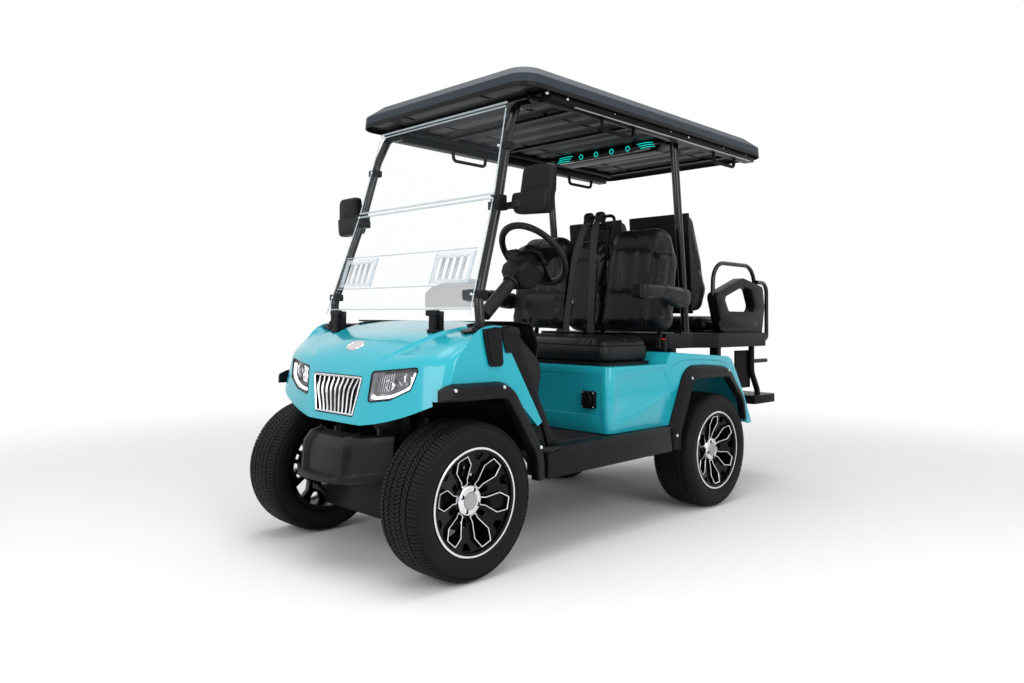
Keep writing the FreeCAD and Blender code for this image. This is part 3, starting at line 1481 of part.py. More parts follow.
def make_seat_frame():
    base = s.fenderTopZ
    radius = s.seatTubeRadius
    away = radius / math.cos(math.radians(BACK_LEAN)) + s.runningGap
    foot_z = base + 14
    foot = new_body("SeatFrameFoot")
    front, rear = back_plane(foot_z, away) - 22, back_plane(foot_z, away) + 22
    outline = [(front, fender_top(front)), (rear, fender_top(rear)), (rear, foot_z), (front, foot_z)]
    prism(foot, "SeatFrameFootBar", "YZ", outline, sized(-520), sized(520))
    pieces = [foot]
    outer_top, middle_top = s.backTopZ - 148, s.backTopZ + s.beltReelRise - 2
    for i, (x, top) in enumerate(((-430, outer_top), (-60, middle_top), (60, middle_top), (430, outer_top))):
        pieces.append(rod(f"SeatFrameTube{i}", (x, back_plane(foot_z - 4, away), foot_z - 4),
                          (x, back_plane(top, away), top), radius))
    for i, z in enumerate((s.backTopZ - 326, s.backTopZ - 158)):
        y = back_plane(z, away)
        pieces.append(rod(f"SeatFrameCross{i}", (-430, y, z), (430, y, z), radius))
    plate_x = s.armrestInnerX - s.runningGap
    pivot_z = s.armrestPivotZ
    cross_y = back_plane(pivot_z, radius + 3)
    for side in (1, -1):
        pieces.append(rod(f"ArmrestCross{side + 1}", (430 * side, cross_y, pivot_z),
                          ((plate_x - 3) * side, cross_y, pivot_z), 11))
        pieces.append(block(f"ArmrestPlate{side + 1}", sorted_pair((s.backOuterX + 2.5) * side,
                                                                   plate_x * side),
                            (s.armrestPivotY - 16, cross_y + 14), (pivot_z - 20, pivot_z + 20)))
    return joined("SeatFrame", pieces)


node("seat_back_frame", make_seat_frame())


# Armrests that fold up about a shaft at their rear end
def make_armrest(name, side):
    body = new_body(name)
    y, z = s.armrestPivotY, s.armrestPivotZ
    outline = [(y - s.armrestLength, z + 62, 30), (y - s.armrestLength, z - 2, 26), (y - 60, z - 34, 50),
               (y + 28, z - 30, 26),
               (y + 28, z + 50, 26)]
    low, high = sorted_pair(s.armrestInnerX * side, (s.armrestInnerX + s.armrestWidth) * side)
    prism(body, name + "Pad", "YZ", outline, low, high)
    round_edges(body, name + "Edges", 14, lambda middle, way: abs(way.x) < 0.01)
    return body


node("armrest_left", make_armrest("ArmrestLeft", 1))
node("armrest_right", make_armrest("ArmrestRight", -1))


# Belts: two reels behind the middle back, their webbing and buckles
def make_belts():
    low = s.backTopZ + s.beltReelRise
    middle = back_plane(low, s.seatTubeRadius + 2)
    reel = block("BeltReel", (8, 92), (middle - 44, middle + 44), (low, low + s.beltReelHeight))
    buckle = new_body("BeltBuckle")
    front, rear = s.seatRearY + 62, s.seatRearY + 86
    outline = [(front, fender_top(front)), (rear, fender_top(rear)), (rear + 4, fender_top(rear) + 66, 6),
               (front + 4, fender_top(front) + 66, 6)]
    prism(buckle, "BeltBuckleForm", "YZ", outline, sized(488), sized(520))
    one = [reel, buckle]
    return group("Belts", one + [other_side(piece.Name + "Right", piece) for piece in one])


node("seat_belts", make_belts())


# Rear bed: an upturned tray, narrower in front
def make_tray():
    body = new_body("Tray")

    def plan(inset):
        narrow, wide = s.trayNarrowX - inset, s.trayWideX - inset
        front, rear = s.trayFrontY + inset, s.trayRearY - inset
        return [(-narrow, front, 20), (narrow, front, 20), (narrow, front + 240 - inset, 60),
                (wide, front + 400 - inset, 60),
                (wide, rear, s.trayCorner), (-wide, rear, s.trayCorner), (-wide, front + 400 - inset, 60),
                (-narrow, front + 240 - inset, 60)]

    prism(body, "TrayForm", "XY", plan(0), s.trayBottomZ, s.trayTopZ)
    prism(body, "TrayHollow", "XY", plan(s.trayWall), s.trayBottomZ, s.trayTopZ - s.trayWall, cut=True)
    return body


node("rear_bed", make_tray())


# Rear seat: a cushion on a board that turns over to lengthen the bed
def make_rear_seat():
    body = new_body("RearSeat")
    low = s.trayTopZ + s.runningGap
    half = s.rearSeatHalfWidth
    board = [(s.rearSeatFrontY - 5, low), (s.boardHingeY, low), (s.boardHingeY, low + s.boardThickness),
             (s.rearSeatFrontY - 5, low + s.boardThickness)]
    prism(body, "RearSeatBoard", "YZ", board, -half - 5, half + 5)
    top = low + s.boardThickness + s.rearSeatThickness
    cushion = [(s.rearSeatFrontY, low + s.boardThickness), (s.rearSeatRearY, low + s.boardThickness, 10),
               (s.rearSeatRearY, top - 6, 34), (s.rearSeatFrontY, top, 20)]
    prism(body, "RearSeatCushion", "YZ", cushion, -half, half)
    return body


node("rear_seat", make_rear_seat())


# Rear seat backs, facing backwards
def make_rear_backs():
    body = new_body("RearBack")
    top_y, top_z = s.rearBackTopY, s.rearBackTopZ
    outline = [(top_y, top_z, 14), (s.rearBackLowY, s.rearBackLowZ, 30),
               (s.rearBackLowY + 130, s.rearBackLowZ + 10, 40),
               (top_y + 240, s.rearBackLowZ + 125, 60), (top_y + 176, top_z - 212, 260),
               (top_y + 46, top_z + 24, 18)]
    prism(body, "RearBackPad", "YZ", outline, s.rearBackInnerX, s.rearBackOuterX)
    round_edges(body, "RearBackEdges", 20, lambda middle, way: abs(way.x) < 0.01 and middle.y > 560)
    return pair("RearBacks", body)


node("rear_seat_backs", make_rear_backs())


# Moulded armrests of the rear seat, each with an open window
def make_rear_armrests():
    body = new_body("RearArmrest")
    z = s.trayTopZ
    rear = s.trayRearY
    outline = [(rear - 480, z), (rear - 560, z + 212, 30), (rear - 262, z + 312, 60),
               (rear - 30, z + 268, 30),
               (rear - 10, z + 150, 30), (rear - 40, z)]
    opening = [(rear - 420, z + 120, 20), (rear - 470, z + 196, 22), (rear - 265, z + 262, 30),
               (rear - 170, z + 250, 30),
               (rear - 120, z + 150, 30), (rear - 150, z + 120, 12)]
    prism(body, "RearArmrestForm", "YZ", [outline, opening], s.hoopX - 28, s.hoopX + 34)
    return body


rear_armrest = make_rear_armrests()
node("rear_armrests", pair("RearArmrests", rear_armrest))


# Tubes over and behind the rear armrests
def make_hoops(armrest):
    z = s.trayTopZ
    rear = s.trayRearY
    start = [(rear - 538, z + 190), (rear - 530, z + 388, 110)]
    end = [(rear - 90, z + 388, 110), (rear - 68, z + 250)]
    hoop = bent_tube("HoopTube", "YZ", s.hoopX, start + end, s.hoopRadius)
    loop = bent_tube("Loop", "YZ", s.loopX, [(rear - 90, z + 294), (rear + 30, z + 294, 60),
                                             (rear + 30, z - 38, 26),
                                             (rear, z - 38)], s.hoopRadius)
    return pair("Hoops", without("HoopLeft", joined("HoopTubes", [hoop, loop]), armrest))


# Footrest: a step plate on two struts with a back plate between them
def make_footrest():
    body = new_body("Step")
    front, rear = s.stepFrontY, s.stepRearY
    half = s.stepHalfWidth
    plan = [(-half, front), (half, front), (half, rear, 40), (-half, rear, 40)]
    prism(body, "StepForm", "XY", plan, s.stepBottomZ, s.stepTopZ)
    inner = [(-half + 6, front + 6), (half - 6, front + 6), (half - 6, rear - 6, 34),
             (-half + 6, rear - 6, 34)]
    prism(body, "StepHollow", "XY", inner, s.stepBottomZ - 1, s.stepTopZ - 6, cut=True)
    tray_under = s.trayTopZ - s.trayWall
    strut = bent_tube("Strut", "YZ", s.strutX, [(s.trayRearY - 30, tray_under), (s.trayRearY - 30, 650, 80),
                                                (front + 120, 540, 60), (front + 120, s.stepTopZ - 2)],
                                                s.strutRadius)
    bar = rod("StepBar", (s.strutX, s.trayRearY - 30, 715), (s.strutX, s.trayRearY + 150, 715), 12)
    plate = block("StepPlate", (s.strutX - 24, s.strutX - 14), (s.trayRearY - 190, s.trayRearY - 20),
                  (560, 780))
    left = [strut, bar, plate]
    return joined("Footrest", [body] + left + [other_side(piece.Name + "Right", piece) for piece in left])


node("rear_hoops", make_hoops(rear_armrest))
node("footrest", make_footrest())


# Tail lamps on the rear body's corners
def make_tail_lamps():
    body = new_body("TailLamp")
    slope = (s.tailBendZ - s.tailTopZ) / (s.tailBendY - s.tailTopY)
    start, end = s.tailTopY + 56, s.tailTopY + 94
    start_z, end_z = s.tailTopZ + slope * 56, s.tailTopZ + slope * 94
    lens = [(start, start_z), (end, end_z), (end + 16, end_z + 11), (start + 16, start_z + 11)]
    prism(body, "TailLens", "YZ", lens, s.bodyHalfWidth - 120, s.bodyHalfWidth - 30)
    return pair("TailLamps", body)


node("tail_lamps", make_tail_lamps())


# Checks and files
doc.recompute()
for thing in doc.Objects:
    failed = [word for word in ("Invalid", "Error") if word in thing.State]
    if failed:
        raise RuntimeError(f"{thing.Name} is {failed}")
for piece in NODES:
    if piece.Shape.isNull() or not piece.Shape.isValid():
        raise RuntimeError(f"{piece.Label} has no valid shape")
for piece in NODES:
    piece.Shape.exportStep(f"parts/{piece.Label}.step")
    box = piece.Shape.BoundBox
    print(piece.Label, len(piece.Shape.Solids), round(piece.Shape.Volume / 1e6, 2), "litres",
          [round(v) for v in (box.XMin, box.XMax, box.YMin, box.YMax, box.ZMin, box.ZMax)])
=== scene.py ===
import json
import math

import bmesh
import bpy
from mathutils import Matrix, Vector
from mathutils.bvhtree import BVHTree


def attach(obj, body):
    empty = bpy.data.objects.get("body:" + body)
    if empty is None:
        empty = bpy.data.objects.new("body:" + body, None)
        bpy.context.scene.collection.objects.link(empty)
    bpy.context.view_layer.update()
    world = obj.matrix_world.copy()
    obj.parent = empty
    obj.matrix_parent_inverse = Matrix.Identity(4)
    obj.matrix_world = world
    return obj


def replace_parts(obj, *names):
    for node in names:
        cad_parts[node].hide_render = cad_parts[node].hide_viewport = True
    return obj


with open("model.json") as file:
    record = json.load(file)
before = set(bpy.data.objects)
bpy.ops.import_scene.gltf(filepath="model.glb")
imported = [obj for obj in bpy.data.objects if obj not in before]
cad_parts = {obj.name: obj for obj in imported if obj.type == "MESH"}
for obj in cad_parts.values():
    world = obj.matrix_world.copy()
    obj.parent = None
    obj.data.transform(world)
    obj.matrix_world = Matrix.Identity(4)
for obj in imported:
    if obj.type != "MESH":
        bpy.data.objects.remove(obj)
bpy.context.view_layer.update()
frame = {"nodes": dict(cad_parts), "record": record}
nodes = frame["nodes"]
scene = bpy.context.scene
print("stage: frame loaded")

# Camera: placed where the photograph was taken, in the model's own frame
cameraSettings = {
    "place": (2.7084, -3.0501, 0.9529),
    "yaw": -0.7719,
    "pitch": 0.0387,
    "roll": 0.0083,
    "focalPixels": 780.36,
    "centrePixels": (527, 289),
    "frame": (1024, 683),
    "sensor": 36,
}


def makeCamera(settings):
    yaw, pitch, roll = settings["yaw"], settings["pitch"], settings["roll"]
    forward = Vector((math.cos(pitch) * math.sin(yaw), math.cos(pitch) * math.cos(yaw), math.sin(pitch)))
    right = Vector((math.cos(yaw), -math.sin(yaw), 0))
    up = right.cross(forward)
    turnedRight = right * math.cos(roll) + up * math.sin(roll)
    turnedUp = up * math.cos(roll) - right * math.sin(roll)
    data = bpy.data.cameras.new("photoCamera")
    camera = bpy.data.objects.new("photoCamera", data)
    scene.collection.objects.link(camera)
    rotation = Matrix((turnedRight, turnedUp, -forward)).transposed()
    camera.matrix_world = Matrix.Translation(settings["place"]) @ rotation.to_4x4()
    width, height = settings["frame"]
    data.sensor_width = settings["sensor"]
    data.lens = settings["focalPixels"] / width * settings["sensor"]
    centreX, centreY = settings["centrePixels"]
    data.shift_x = (width / 2 - centreX) / width
    data.shift_y = (centreY - height / 2) / width
    data.clip_end = 60
    scene.camera = camera


makeCamera(cameraSettings)


# Node tools: Wire carries a socket through plain arithmetic, Graph makes nodes, Finish builds one material
class Wire:
    def __init__(self, finish, socket):
        self.finish = finish
        self.socket = socket

    def math(self, operation, *values):
        return self.finish.make("ShaderNodeMath", {"operation": operation}, dict(enumerate(values)))

    def __add__(self, other):
        return self.math("ADD", self, other)

    def __radd__(self, other):
        return self.math("ADD", other, self)

    def __sub__(self, other):
        return self.math("SUBTRACT", self, other)

    def __rsub__(self, other):
        return self.math("SUBTRACT", other, self)

    def __mul__(self, other):
        return self.math("MULTIPLY", self, other)

    def __rmul__(self, other):
        return self.math("MULTIPLY", other, self)

    def __truediv__(self, other):
        return self.math("DIVIDE", self, other)

    def __pow__(self, other):
        return self.math("POWER", self, other)

    def sine(self):
        return self.math("SINE", self)

    def size(self):
        return self.math("ABSOLUTE", self)

    def above(self, other):
        return self.math("GREATER_THAN", self, other)

    def step(self, low, high):
        # 0 below low, 1 above high, smooth between them
        return self.finish.make("ShaderNodeMapRange", {"interpolation_type": "SMOOTHSTEP"},
                                {"Value": self, "From Min": low, "From Max": high})


class Graph:
    # a node tree; every node but the ends comes from make
    def make(self, kind, settings=None, values=None, output=0):
        node = self.tree.nodes.new(kind)
        for key, value in (settings or {}).items():
            if key == "stops":
                ramp = node.color_ramp
                while len(ramp.elements) < len(value):
                    ramp.elements.new(0.5)
                for element, (place, colour) in zip(ramp.elements, value):
                    element.position = place
                    element.color = colour
            else:
                setattr(node, key, value)
        for key, value in (values or {}).items():
            socket = node.inputs[key]
            if isinstance(value, Wire):
                self.tree.links.new(value.socket, socket)
            else:
                socket.default_value = value
        return Wire(self, node.outputs[output])


class Finish(Graph):
    def __init__(self, name):
        self.material = bpy.data.materials.new(name)
        self.material.use_nodes = True
        self.tree = self.material.node_tree
        self.tree.nodes.clear()

    def place(self):
        return self.make("ShaderNodeTexCoord", output="Object")

    def axes(self, vector):
        return [self.make("ShaderNodeSeparateXYZ", None, {0: vector}, axis) for axis in "XYZ"]

    def noise(self, scale, detail=3.0, vector=None, rough=0.5):
        return self.make("ShaderNodeTexNoise", None,
                         {"Vector": vector or self.place(), "Scale": scale, "Detail": detail,
                                                      "Roughness": rough})

    def cells(self, scale, vector=None, feature="F1", output="Distance"):
        return self.make("ShaderNodeTexVoronoi", {"feature": feature},
                         {"Vector": vector or self.place(), "Scale": scale}, output)

    def mix(self, factor, first, second):
        return self.make("ShaderNodeMix", {"data_type": "RGBA"}, {0: factor, 6: first, 7: second}, 2)

    def bump(self, height, strength, distance=0.001, normal=None):
        values = {"Height": height, "Strength": strength, "Distance": distance}
        if normal:
            values["Normal"] = normal
        return self.make("ShaderNodeBump", None, values)

    def surface(self, **values):
        named = {key.replace("_", " ").title().replace("Ior", "IOR"): value for key, value in values.items()}
        shader = self.make("ShaderNodeBsdfPrincipled", None, named)
        self.finishWith(shader)
        return shader

    def finishWith(self, shader):
        output = self.tree.nodes.new("ShaderNodeOutputMaterial")
        self.tree.links.new(shader.socket, output.inputs["Surface"])


def grey(level):
    return (level, level, level, 1)


def paintFinish(name, colour, roughness=0.18, coat=1.0, metallic=0.0, shine=0.5):
    # gloss paint: a fine orange peel under a clear coat, with faint cloudiness in the colour
    finish = Finish(name)
    cloud = finish.noise(2.3, 2.0)
    tint = finish.mix(cloud, (colour[0] * 0.94, colour[1] * 0.95, colour[2] * 0.96, 1), (*colour, 1))
    peel = finish.bump(finish.noise(420.0, 1.0), 0.012, 0.0006)
    rough = finish.noise(7.0, 3.0) * 0.05 + (roughness - 0.02)
    finish.surface(base_color=tint, roughness=rough, metallic=metallic, specular_ior_level=shine,
                   coat_weight=coat, coat_roughness=0.09, normal=peel)
    return finish.material


def roofFinish(name, upper, lower, level):
    # the slate paint of the roof; below the level it is painted near black, a painted shade for the recess
    # under its lip
    finish = Finish(name)
    z = finish.axes(finish.place())[2]
    cloud = finish.noise(3.0, 3.0)
    slate = finish.mix(cloud, (upper[0] * 0.85, upper[1] * 0.87, upper[2] * 0.9, 1), (*upper, 1))
    # the near-black colour below the level is painted shade for the recess under the roof's lip
    tint = finish.mix(z.step(level - 0.002, level + 0.002), (*lower, 1), slate)
    rough = finish.noise(9.0, 3.0) * 0.06 + 0.42
    finish.surface(base_color=tint, roughness=rough, specular_ior_level=0.16,
                   normal=finish.bump(finish.noise(300.0, 1.0), 0.015, 0.0006))
    return finish.material


def plasticFinish(name, colour, roughness=0.45, grain=900.0, depth=0.25, worn=0.03, shine=0.3):
    # moulded plastic with a fine pebbled skin, a little greyer where the noise says it has been rubbed
    finish = Finish(name)
    wear = finish.noise(5.0, 4.0).step(0.52, 0.75)
    lighter = tuple(min(1, channel + worn) for channel in colour)
    tint = finish.mix(wear, (*colour, 1), (*lighter, 1))
    skin = finish.cells(grain)
    rough = wear * 0.08 + (roughness + skin * 0.06)
    finish.surface(base_color=tint, roughness=rough, specular_ior_level=shine,
                   normal=finish.bump(skin, depth, 0.0004))
    return finish.material


def metalFinish(name, colour, roughness=0.25, brush=0.0):
    # bare or plated metal with small changes in its polish
    finish = Finish(name)
    smear = finish.noise(11.0, 4.0)
    tint = finish.mix(smear, (colour[0] * 0.88, colour[1] * 0.88, colour[2] * 0.89, 1), (*colour, 1))
    rough = smear * 0.1 + (roughness - 0.04)
    fine = finish.noise(700.0, 2.0)
    finish.surface(base_color=tint, roughness=rough, metallic=1.0,
                   normal=finish.bump(fine, 0.02 + brush, 0.0003))
    return finish.material


def glassFinish(name, colour, alpha):
    # thin clear sheet: mostly see-through, with a faint tint and a little haze
    finish = Finish(name)
    haze = finish.noise(3.0, 3.0)
    clear = haze * 0.01 + alpha
    finish.surface(base_color=(*colour, 1), roughness=0.04, alpha=clear, coat_weight=0.2, coat_roughness=0.02,
                   normal=finish.bump(finish.noise(14.0, 1.0), 0.01, 0.001))
    finish.material.surface_render_method = "BLENDED"
    return finish.material


def leatherFinish(name, colour=(0.004, 0.004, 0.0048), roughness=0.34):
    # padded vinyl leather: pebble grain in two sizes, soft creases and a rubbed sheen
    finish = Finish(name)
    grain = finish.cells(520.0)
    fine = finish.cells(1300.0)
    crease = finish.noise(26.0, 6.0, rough=0.62)
    height = grain * 0.6 + fine * 0.3 + crease * 0.7
    rub = finish.noise(6.0, 3.0).step(0.4, 0.7)
    tint = finish.mix(rub, (*colour, 1), (colour[0] + 0.004, colour[1] + 0.004, colour[2] + 0.005, 1))
    rough = roughness + grain * 0.12 - rub * 0.07
    finish.surface(base_color=tint, roughness=rough, specular_ior_level=0.2, coat_weight=0.04,
                   normal=finish.bump(height, 0.22, 0.0008))
    return finish.material


def rubberFinish(name):
    # tyre rubber: near black, dusty in the fine pores
    finish = Finish(name)
    dust = finish.noise(38.0, 5.0)
    tint = finish.mix(dust, (0.003, 0.003, 0.0033, 1), (0.008, 0.008, 0.0085, 1))
    pores = finish.cells(650.0)
    rough = dust * 0.15 + 0.5
    finish.surface(base_color=tint, roughness=rough, specular_ior_level=0.14,
                   normal=finish.bump(pores, 0.2, 0.0005))
    return finish.material


def glowFinish(name, colour, strength):
    finish = Finish(name)
    flicker = finish.noise(60.0, 2.0) * 0.25 + 0.8
    tint = finish.mix(flicker, (0, 0, 0, 1), (*colour, 1))
    finish.surface(base_color=(*colour, 1), roughness=0.3, emission_color=tint, emission_strength=strength)
    return finish.material


def webbingFinish(name):
    # woven belt: a tight herringbone of ribs across the strap
    finish = Finish(name)
    x, z = finish.axes(finish.place())[::2]
    weave = (z * 1900.0 + x * 900.0).sine() * (z * 1900.0 - x * 900.0).sine()
    tint = finish.mix(weave.step(-0.6, 0.6), (0.01, 0.01, 0.011, 1), (0.03, 0.03, 0.032, 1))
    finish.surface(base_color=tint, roughness=0.75, normal=finish.bump(weave, 0.3, 0.0004))
    return finish.material


paint = {
    "turquoise": paintFinish("turquoisePaint", (0.014, 0.42, 0.52), 0.2, 0.45, 0.0, 0.3),
    "tube": paintFinish("blackTubePaint", (0.003, 0.003, 0.0035), 0.14, 0.6, 0.0, 0.1),
    # the roof is painted near black below z 1.903, a painted shade under its lip
    "roof": roofFinish("roofPaintShadedUnderside", (0.030, 0.038, 0.050), (0.004, 0.004, 0.0045), 1.903),
    "trim": plasticFinish("blackTrim", (0.005, 0.0053, 0.0062), 0.34, 900.0, 0.12, 0.004, 0.14),
    "bumper": plasticFinish("bumperPlastic", (0.008, 0.0085, 0.0098), 0.36, 800.0, 0.12, 0.006, 0.2),
    "dark": plasticFinish("undersidePlastic", (0.008, 0.008, 0.0085), 0.45, 500.0, 0.3, 0.006, 0.15),
    "frame": paintFinish("framePaint", (0.003, 0.003, 0.0033), 0.42, 0.04, 0.0, 0.1),
    "battery": plasticFinish("batteryCase", (0.02, 0.02, 0.022), 0.5, 300.0, 0.3, 0.03),
    "machined": metalFinish("machinedAluminium", (0.82, 0.83, 0.84), 0.16),
    "chrome": metalFinish("chromePlate", (0.86, 0.87, 0.88), 0.08),
    "steel": metalFinish("zincSteel", (0.5, 0.5, 0.5), 0.35),
    "rimBlack": paintFinish("rimBlack", (0.002, 0.002, 0.0022), 0.22, 0.15, 0.0, 0.1),
    "rubber": rubberFinish("tyreRubber"),
    "leather": leatherFinish("blackLeather"),
    "clear": glassFinish("clearSheet", (0.60, 0.72, 0.76), 0.008),
    "edge": glassFinish("clearEdge", (0.62, 0.70, 0.75), 0.55),
    "frosted": glassFinish("frostedVent", (0.70, 0.78, 0.84), 0.45),
    "smoked": glassFinish("smokedTray", (0.06, 0.06, 0.068), 0.30),
    "mirror": metalFinish("mirrorGlass", (0.7, 0.72, 0.74), 0.06),
    "grip": leatherFinish("wheelGrip", (0.006, 0.006, 0.007), 0.4),
    "lens": glassFinish("lampLens", (0.8, 0.84, 0.88), 0.03),
    "webbing": webbingFinish("beltWebbing"),
    "red": plasticFinish("redPlastic", (0.5, 0.012, 0.012), 0.3, 600.0, 0.1),
    "led": glowFinish("whiteLed", (1, 1, 1), 1.6),
    "teal": glowFinish("tealLight", (0.0, 0.72, 0.6), 0.9),
    "tealDome": plasticFinish("tealDome", (0.0, 0.10, 0.085), 0.3, 900.0, 0.1, 0.01),
    "gloss": paintFinish("pianoBlack", (0.003, 0.003, 0.0035), 0.15, 0.2, 0.0, 0.12),
    # the ceiling ribs are painted lighter than the near-black ceiling: painted light for the light they catch
    # in the shaded ceiling
    "ceiling": plasticFinish("ceilingRibs", (0.022, 0.022, 0.024), 0.4, 500.0, 0.2, 0.008, 0.3),
    "cap": metalFinish("greyCap", (0.42, 0.43, 0.43), 0.3),
    "mat": plasticFinish("rubberMat", (0.008, 0.008, 0.0085), 0.6, 700.0, 0.3, 0.006, 0.25),
    "badge": metalFinish("badgeMetal", (0.78, 0.70, 0.72), 0.2),
    "lampBowl": metalFinish("lampBowl", (0.16, 0.16, 0.17), 0.2),
}
print("stage: finishes made")


# Mesh tools
def newObject(name, mesh):
    thing = bpy.data.objects.new(name, mesh)
    scene.collection.objects.link(thing)
    return thing


def meshFrom(name, form):
    mesh = bpy.data.meshes.new(name)
    form.to_mesh(mesh)
    form.free()
    return mesh


def baked(thing):
    # applies every modifier, leaving a plain mesh
    bpy.context.view_layer.update()
    graph = bpy.context.evaluated_depsgraph_get()
    mesh = bpy.data.meshes.new_from_object(thing.evaluated_get(graph), preserve_all_data_layers=True,
                                           depsgraph=graph)
    thing.modifiers.clear()
    old = thing.data
    thing.data = mesh
    if old.users == 0:
        bpy.data.meshes.remove(old)
    return thing


def modified(thing, kind, **settings):
    modifier = thing.modifiers.new(kind.lower(), kind)
    for key, value in settings.items():
        setattr(modifier, key, value)
    return baked(thing)


def rounded(thing, width, segments=2, angle=30):
    return modified(thing, "BEVEL", width=width, segments=segments, limit_method="ANGLE",
                    angle_limit=math.radians(angle), use_clamp_overlap=True)


def smooth(thing, angle=35):
    # smooth shading with sharp edges above the angle
    form = bmesh.new()
    form.from_mesh(thing.data)
    limit = math.radians(angle)
    for face in form.faces:
        face.smooth = True
    for edge in form.edges:
        edge.smooth = len(edge.link_faces) != 2 or edge.calc_face_angle(0) < limit
    form.to_mesh(thing.data)
    form.free()
    return thing


def dressed(thing, body, slotName, *finishes):
    for finish in finishes:
        thing.data.materials.append(finish)
    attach(thing, body)
    return thing


def cadCopy(node, name, bevel=0.0, angle=30, segments=2, joined=True):
    # a merged copy of a CAD node with its edges rounded, which
    # stands for it; joined makes its flats one face each
    form = bmesh.new()
    form.from_mesh(nodes[node].data)
    bmesh.ops.remove_doubles(form, verts=form.verts, dist=0.00002)
    if joined:
        bmesh.ops.dissolve_limit(form, angle_limit=math.radians(0.6), verts=form.verts, edges=form.edges)
    thing = newObject(name, meshFrom(name, form))
    if bevel:
        rounded(thing, bevel, segments, angle)
    return smooth(thing, 40)


def addGrid(form, rows, closeRows=False, closeColumns=False, slot=0):
    # quads between the rows of points
    rings = [[form.verts.new(point) for point in row] for row in rows]
    count, width = len(rings), len(rings[0])
    for i in range(count if closeRows else count - 1):
        for j in range(width if closeColumns else width - 1):
            here, there = rings[i], rings[(i + 1) % count]
            face = form.faces.new((here[j], here[(j + 1) % width], there[(j + 1) % width], there[j]))
            face.material_index = slot
    return rings


def addLoft(form, rings, closed=False, slot=0):
    # a closed solid through rings of points, capped at both ends unless it closes on itself
    made = addGrid(form, rings, closeRows=closed, closeColumns=True, slot=slot)
    if not closed:
        for ring in (list(reversed(made[0])), made[-1]):
            form.faces.new(ring).material_index = slot
    return made


def solidFrom(name, form, mirror=False, shade=35):
    # finishes a form: joined seams, outward normals, its mirror image if asked, and shading
    if mirror:
        whole = form.verts[:] + form.edges[:] + form.faces[:]
        twin = bmesh.ops.duplicate(form, geom=whole)["geom"]
        for vert in twin:
            if isinstance(vert, bmesh.types.BMVert):
                vert.co.x = -vert.co.x
    bmesh.ops.remove_doubles(form, verts=form.verts, dist=0.00001)
    bmesh.ops.recalc_face_normals(form, faces=form.faces)
    return smooth(newObject(name, meshFrom(name, form)), shade)


def smoothLine(points, steps, closed=False):
    # an even curve through the points
    points = [Vector(point) for point in points]
    count = len(points)
    line = []
    for i in range(count if closed else count - 1):
        if closed:
            a, b, c, d = (points[(i + k) % count] for k in (-1, 0, 1, 2))
        else:
            b, c = points[i], points[i + 1]
            a = points[i - 1] if i else b * 2 - c
            d = points[i + 2] if i + 2 < count else c * 2 - b
        for k in range(steps):
            t = k / steps
            line.append(0.5 * (b * 2 + (c - a) * t + (a * 2 - b * 5 + c * 4 - d) * t * t
                               + (b * 3 - a - c * 3 + d) * t ** 3))
    if not closed:
        line.append(points[-1])
    return line


def roundedPath(corners, radius, steps=5, closed=True):
    # straight runs with rounded corners; corners may carry their own radius as a last entry
    spots = [Vector(corner[:3]) for corner in corners]
    radii = [corner[3] if len(corner) > 3 else radius for corner in corners]
    line = []
    for i, spot in enumerate(spots):
        if not closed and i in (0, len(spots) - 1):
            line.append(spot)
            continue
        back = spots[i - 1] - spot
        ahead = spots[(i + 1) % len(spots)] - spot
        half = back.angle(ahead) / 2
        run = min(radii[i] / math.tan(half), back.length * 0.49, ahead.length * 0.49)
        start, end = spot + back.normalized() * run, spot + ahead.normalized() * run
        for k in range(steps + 1):
            t = k / steps
            line.append(start * (1 - t) ** 2 + spot * (2 * t * (1 - t)) + end * t * t)
    return line


def framesAlong(line, closed=False, up=None):
    # a turning-free frame (side, up) at each point of the line, or one held to the given up direction
    count = len(line)
    frames = []
    side = None
    for i in range(count):
        before = line[i - 1] if i or closed else line[i]
        after = line[(i + 1) % count] if i < count - 1 or closed else line[i]
        heading = (after - before).normalized()
        if up is not None:
            side = heading.cross(up(line[i]) if callable(up) else up).normalized()
        elif side is None:
            other = Vector((0, 0, 1)) if abs(heading.z) < 0.9 else Vector((1, 0, 0))
            side = heading.cross(other).normalized()
        else:
            side = (side - heading * side.dot(heading)).normalized()
        frames.append((side, side.cross(heading).normalized()))
    return frames


def addSweep(form, line, section, closed=False, up=None, slot=0):
    # carries a flat section, given as (side, up) offsets or as a function of the place along it, along the line
    frames = framesAlong(line, closed, up)
    rings = []
    for i, (point, (side, over)) in enumerate(zip(line, frames)):
        offsets = section(i) if callable(section) else section
        rings.append([point + side * u + over * v for u, v in offsets])
    return addLoft(form, rings, closed, slot)


def circle(radius, count=14):
    return [(radius * math.cos(k * math.tau / count),
             radius * math.sin(k * math.tau / count)) for k in range(count)]


def rectangle(low, high, corner, steps=4, inset=0.0):
    left, front, right, back = low[0] + inset, low[1] + inset, high[0] - inset, high[1] - inset
    return roundedOutline(((left, front), (right, front), (right, back), (left, back)), corner, steps)


def insetRings(outline, levels, place, centre=None):
    # the outline once for each (level, inset), drawn towards its middle; place(u, v, level) gives the points
    centre = centre or Vector((sum(u for u, v in outline), sum(v for u, v in outline))) / len(outline)
    rings = []
    for level, inset in levels:
        ring = []
        for u, v in outline:
            away = Vector((u, v)) - centre
            spot = centre + away * (1 - inset / max(away.length, 1e-6))
            ring.append(place(spot.x, spot.y, level))
        rings.append(ring)
    return rings


def absorb(form, piece, slot=None):
    # adds a piece's mesh to the form, on one material slot if that is given, and deletes the piece
    before = len(form.faces)
    form.from_mesh(piece.data)
    removed(piece)
    form.faces.ensure_lookup_table()
    if slot is not None:
        for face in form.faces[before:]:
            face.material_index = slot


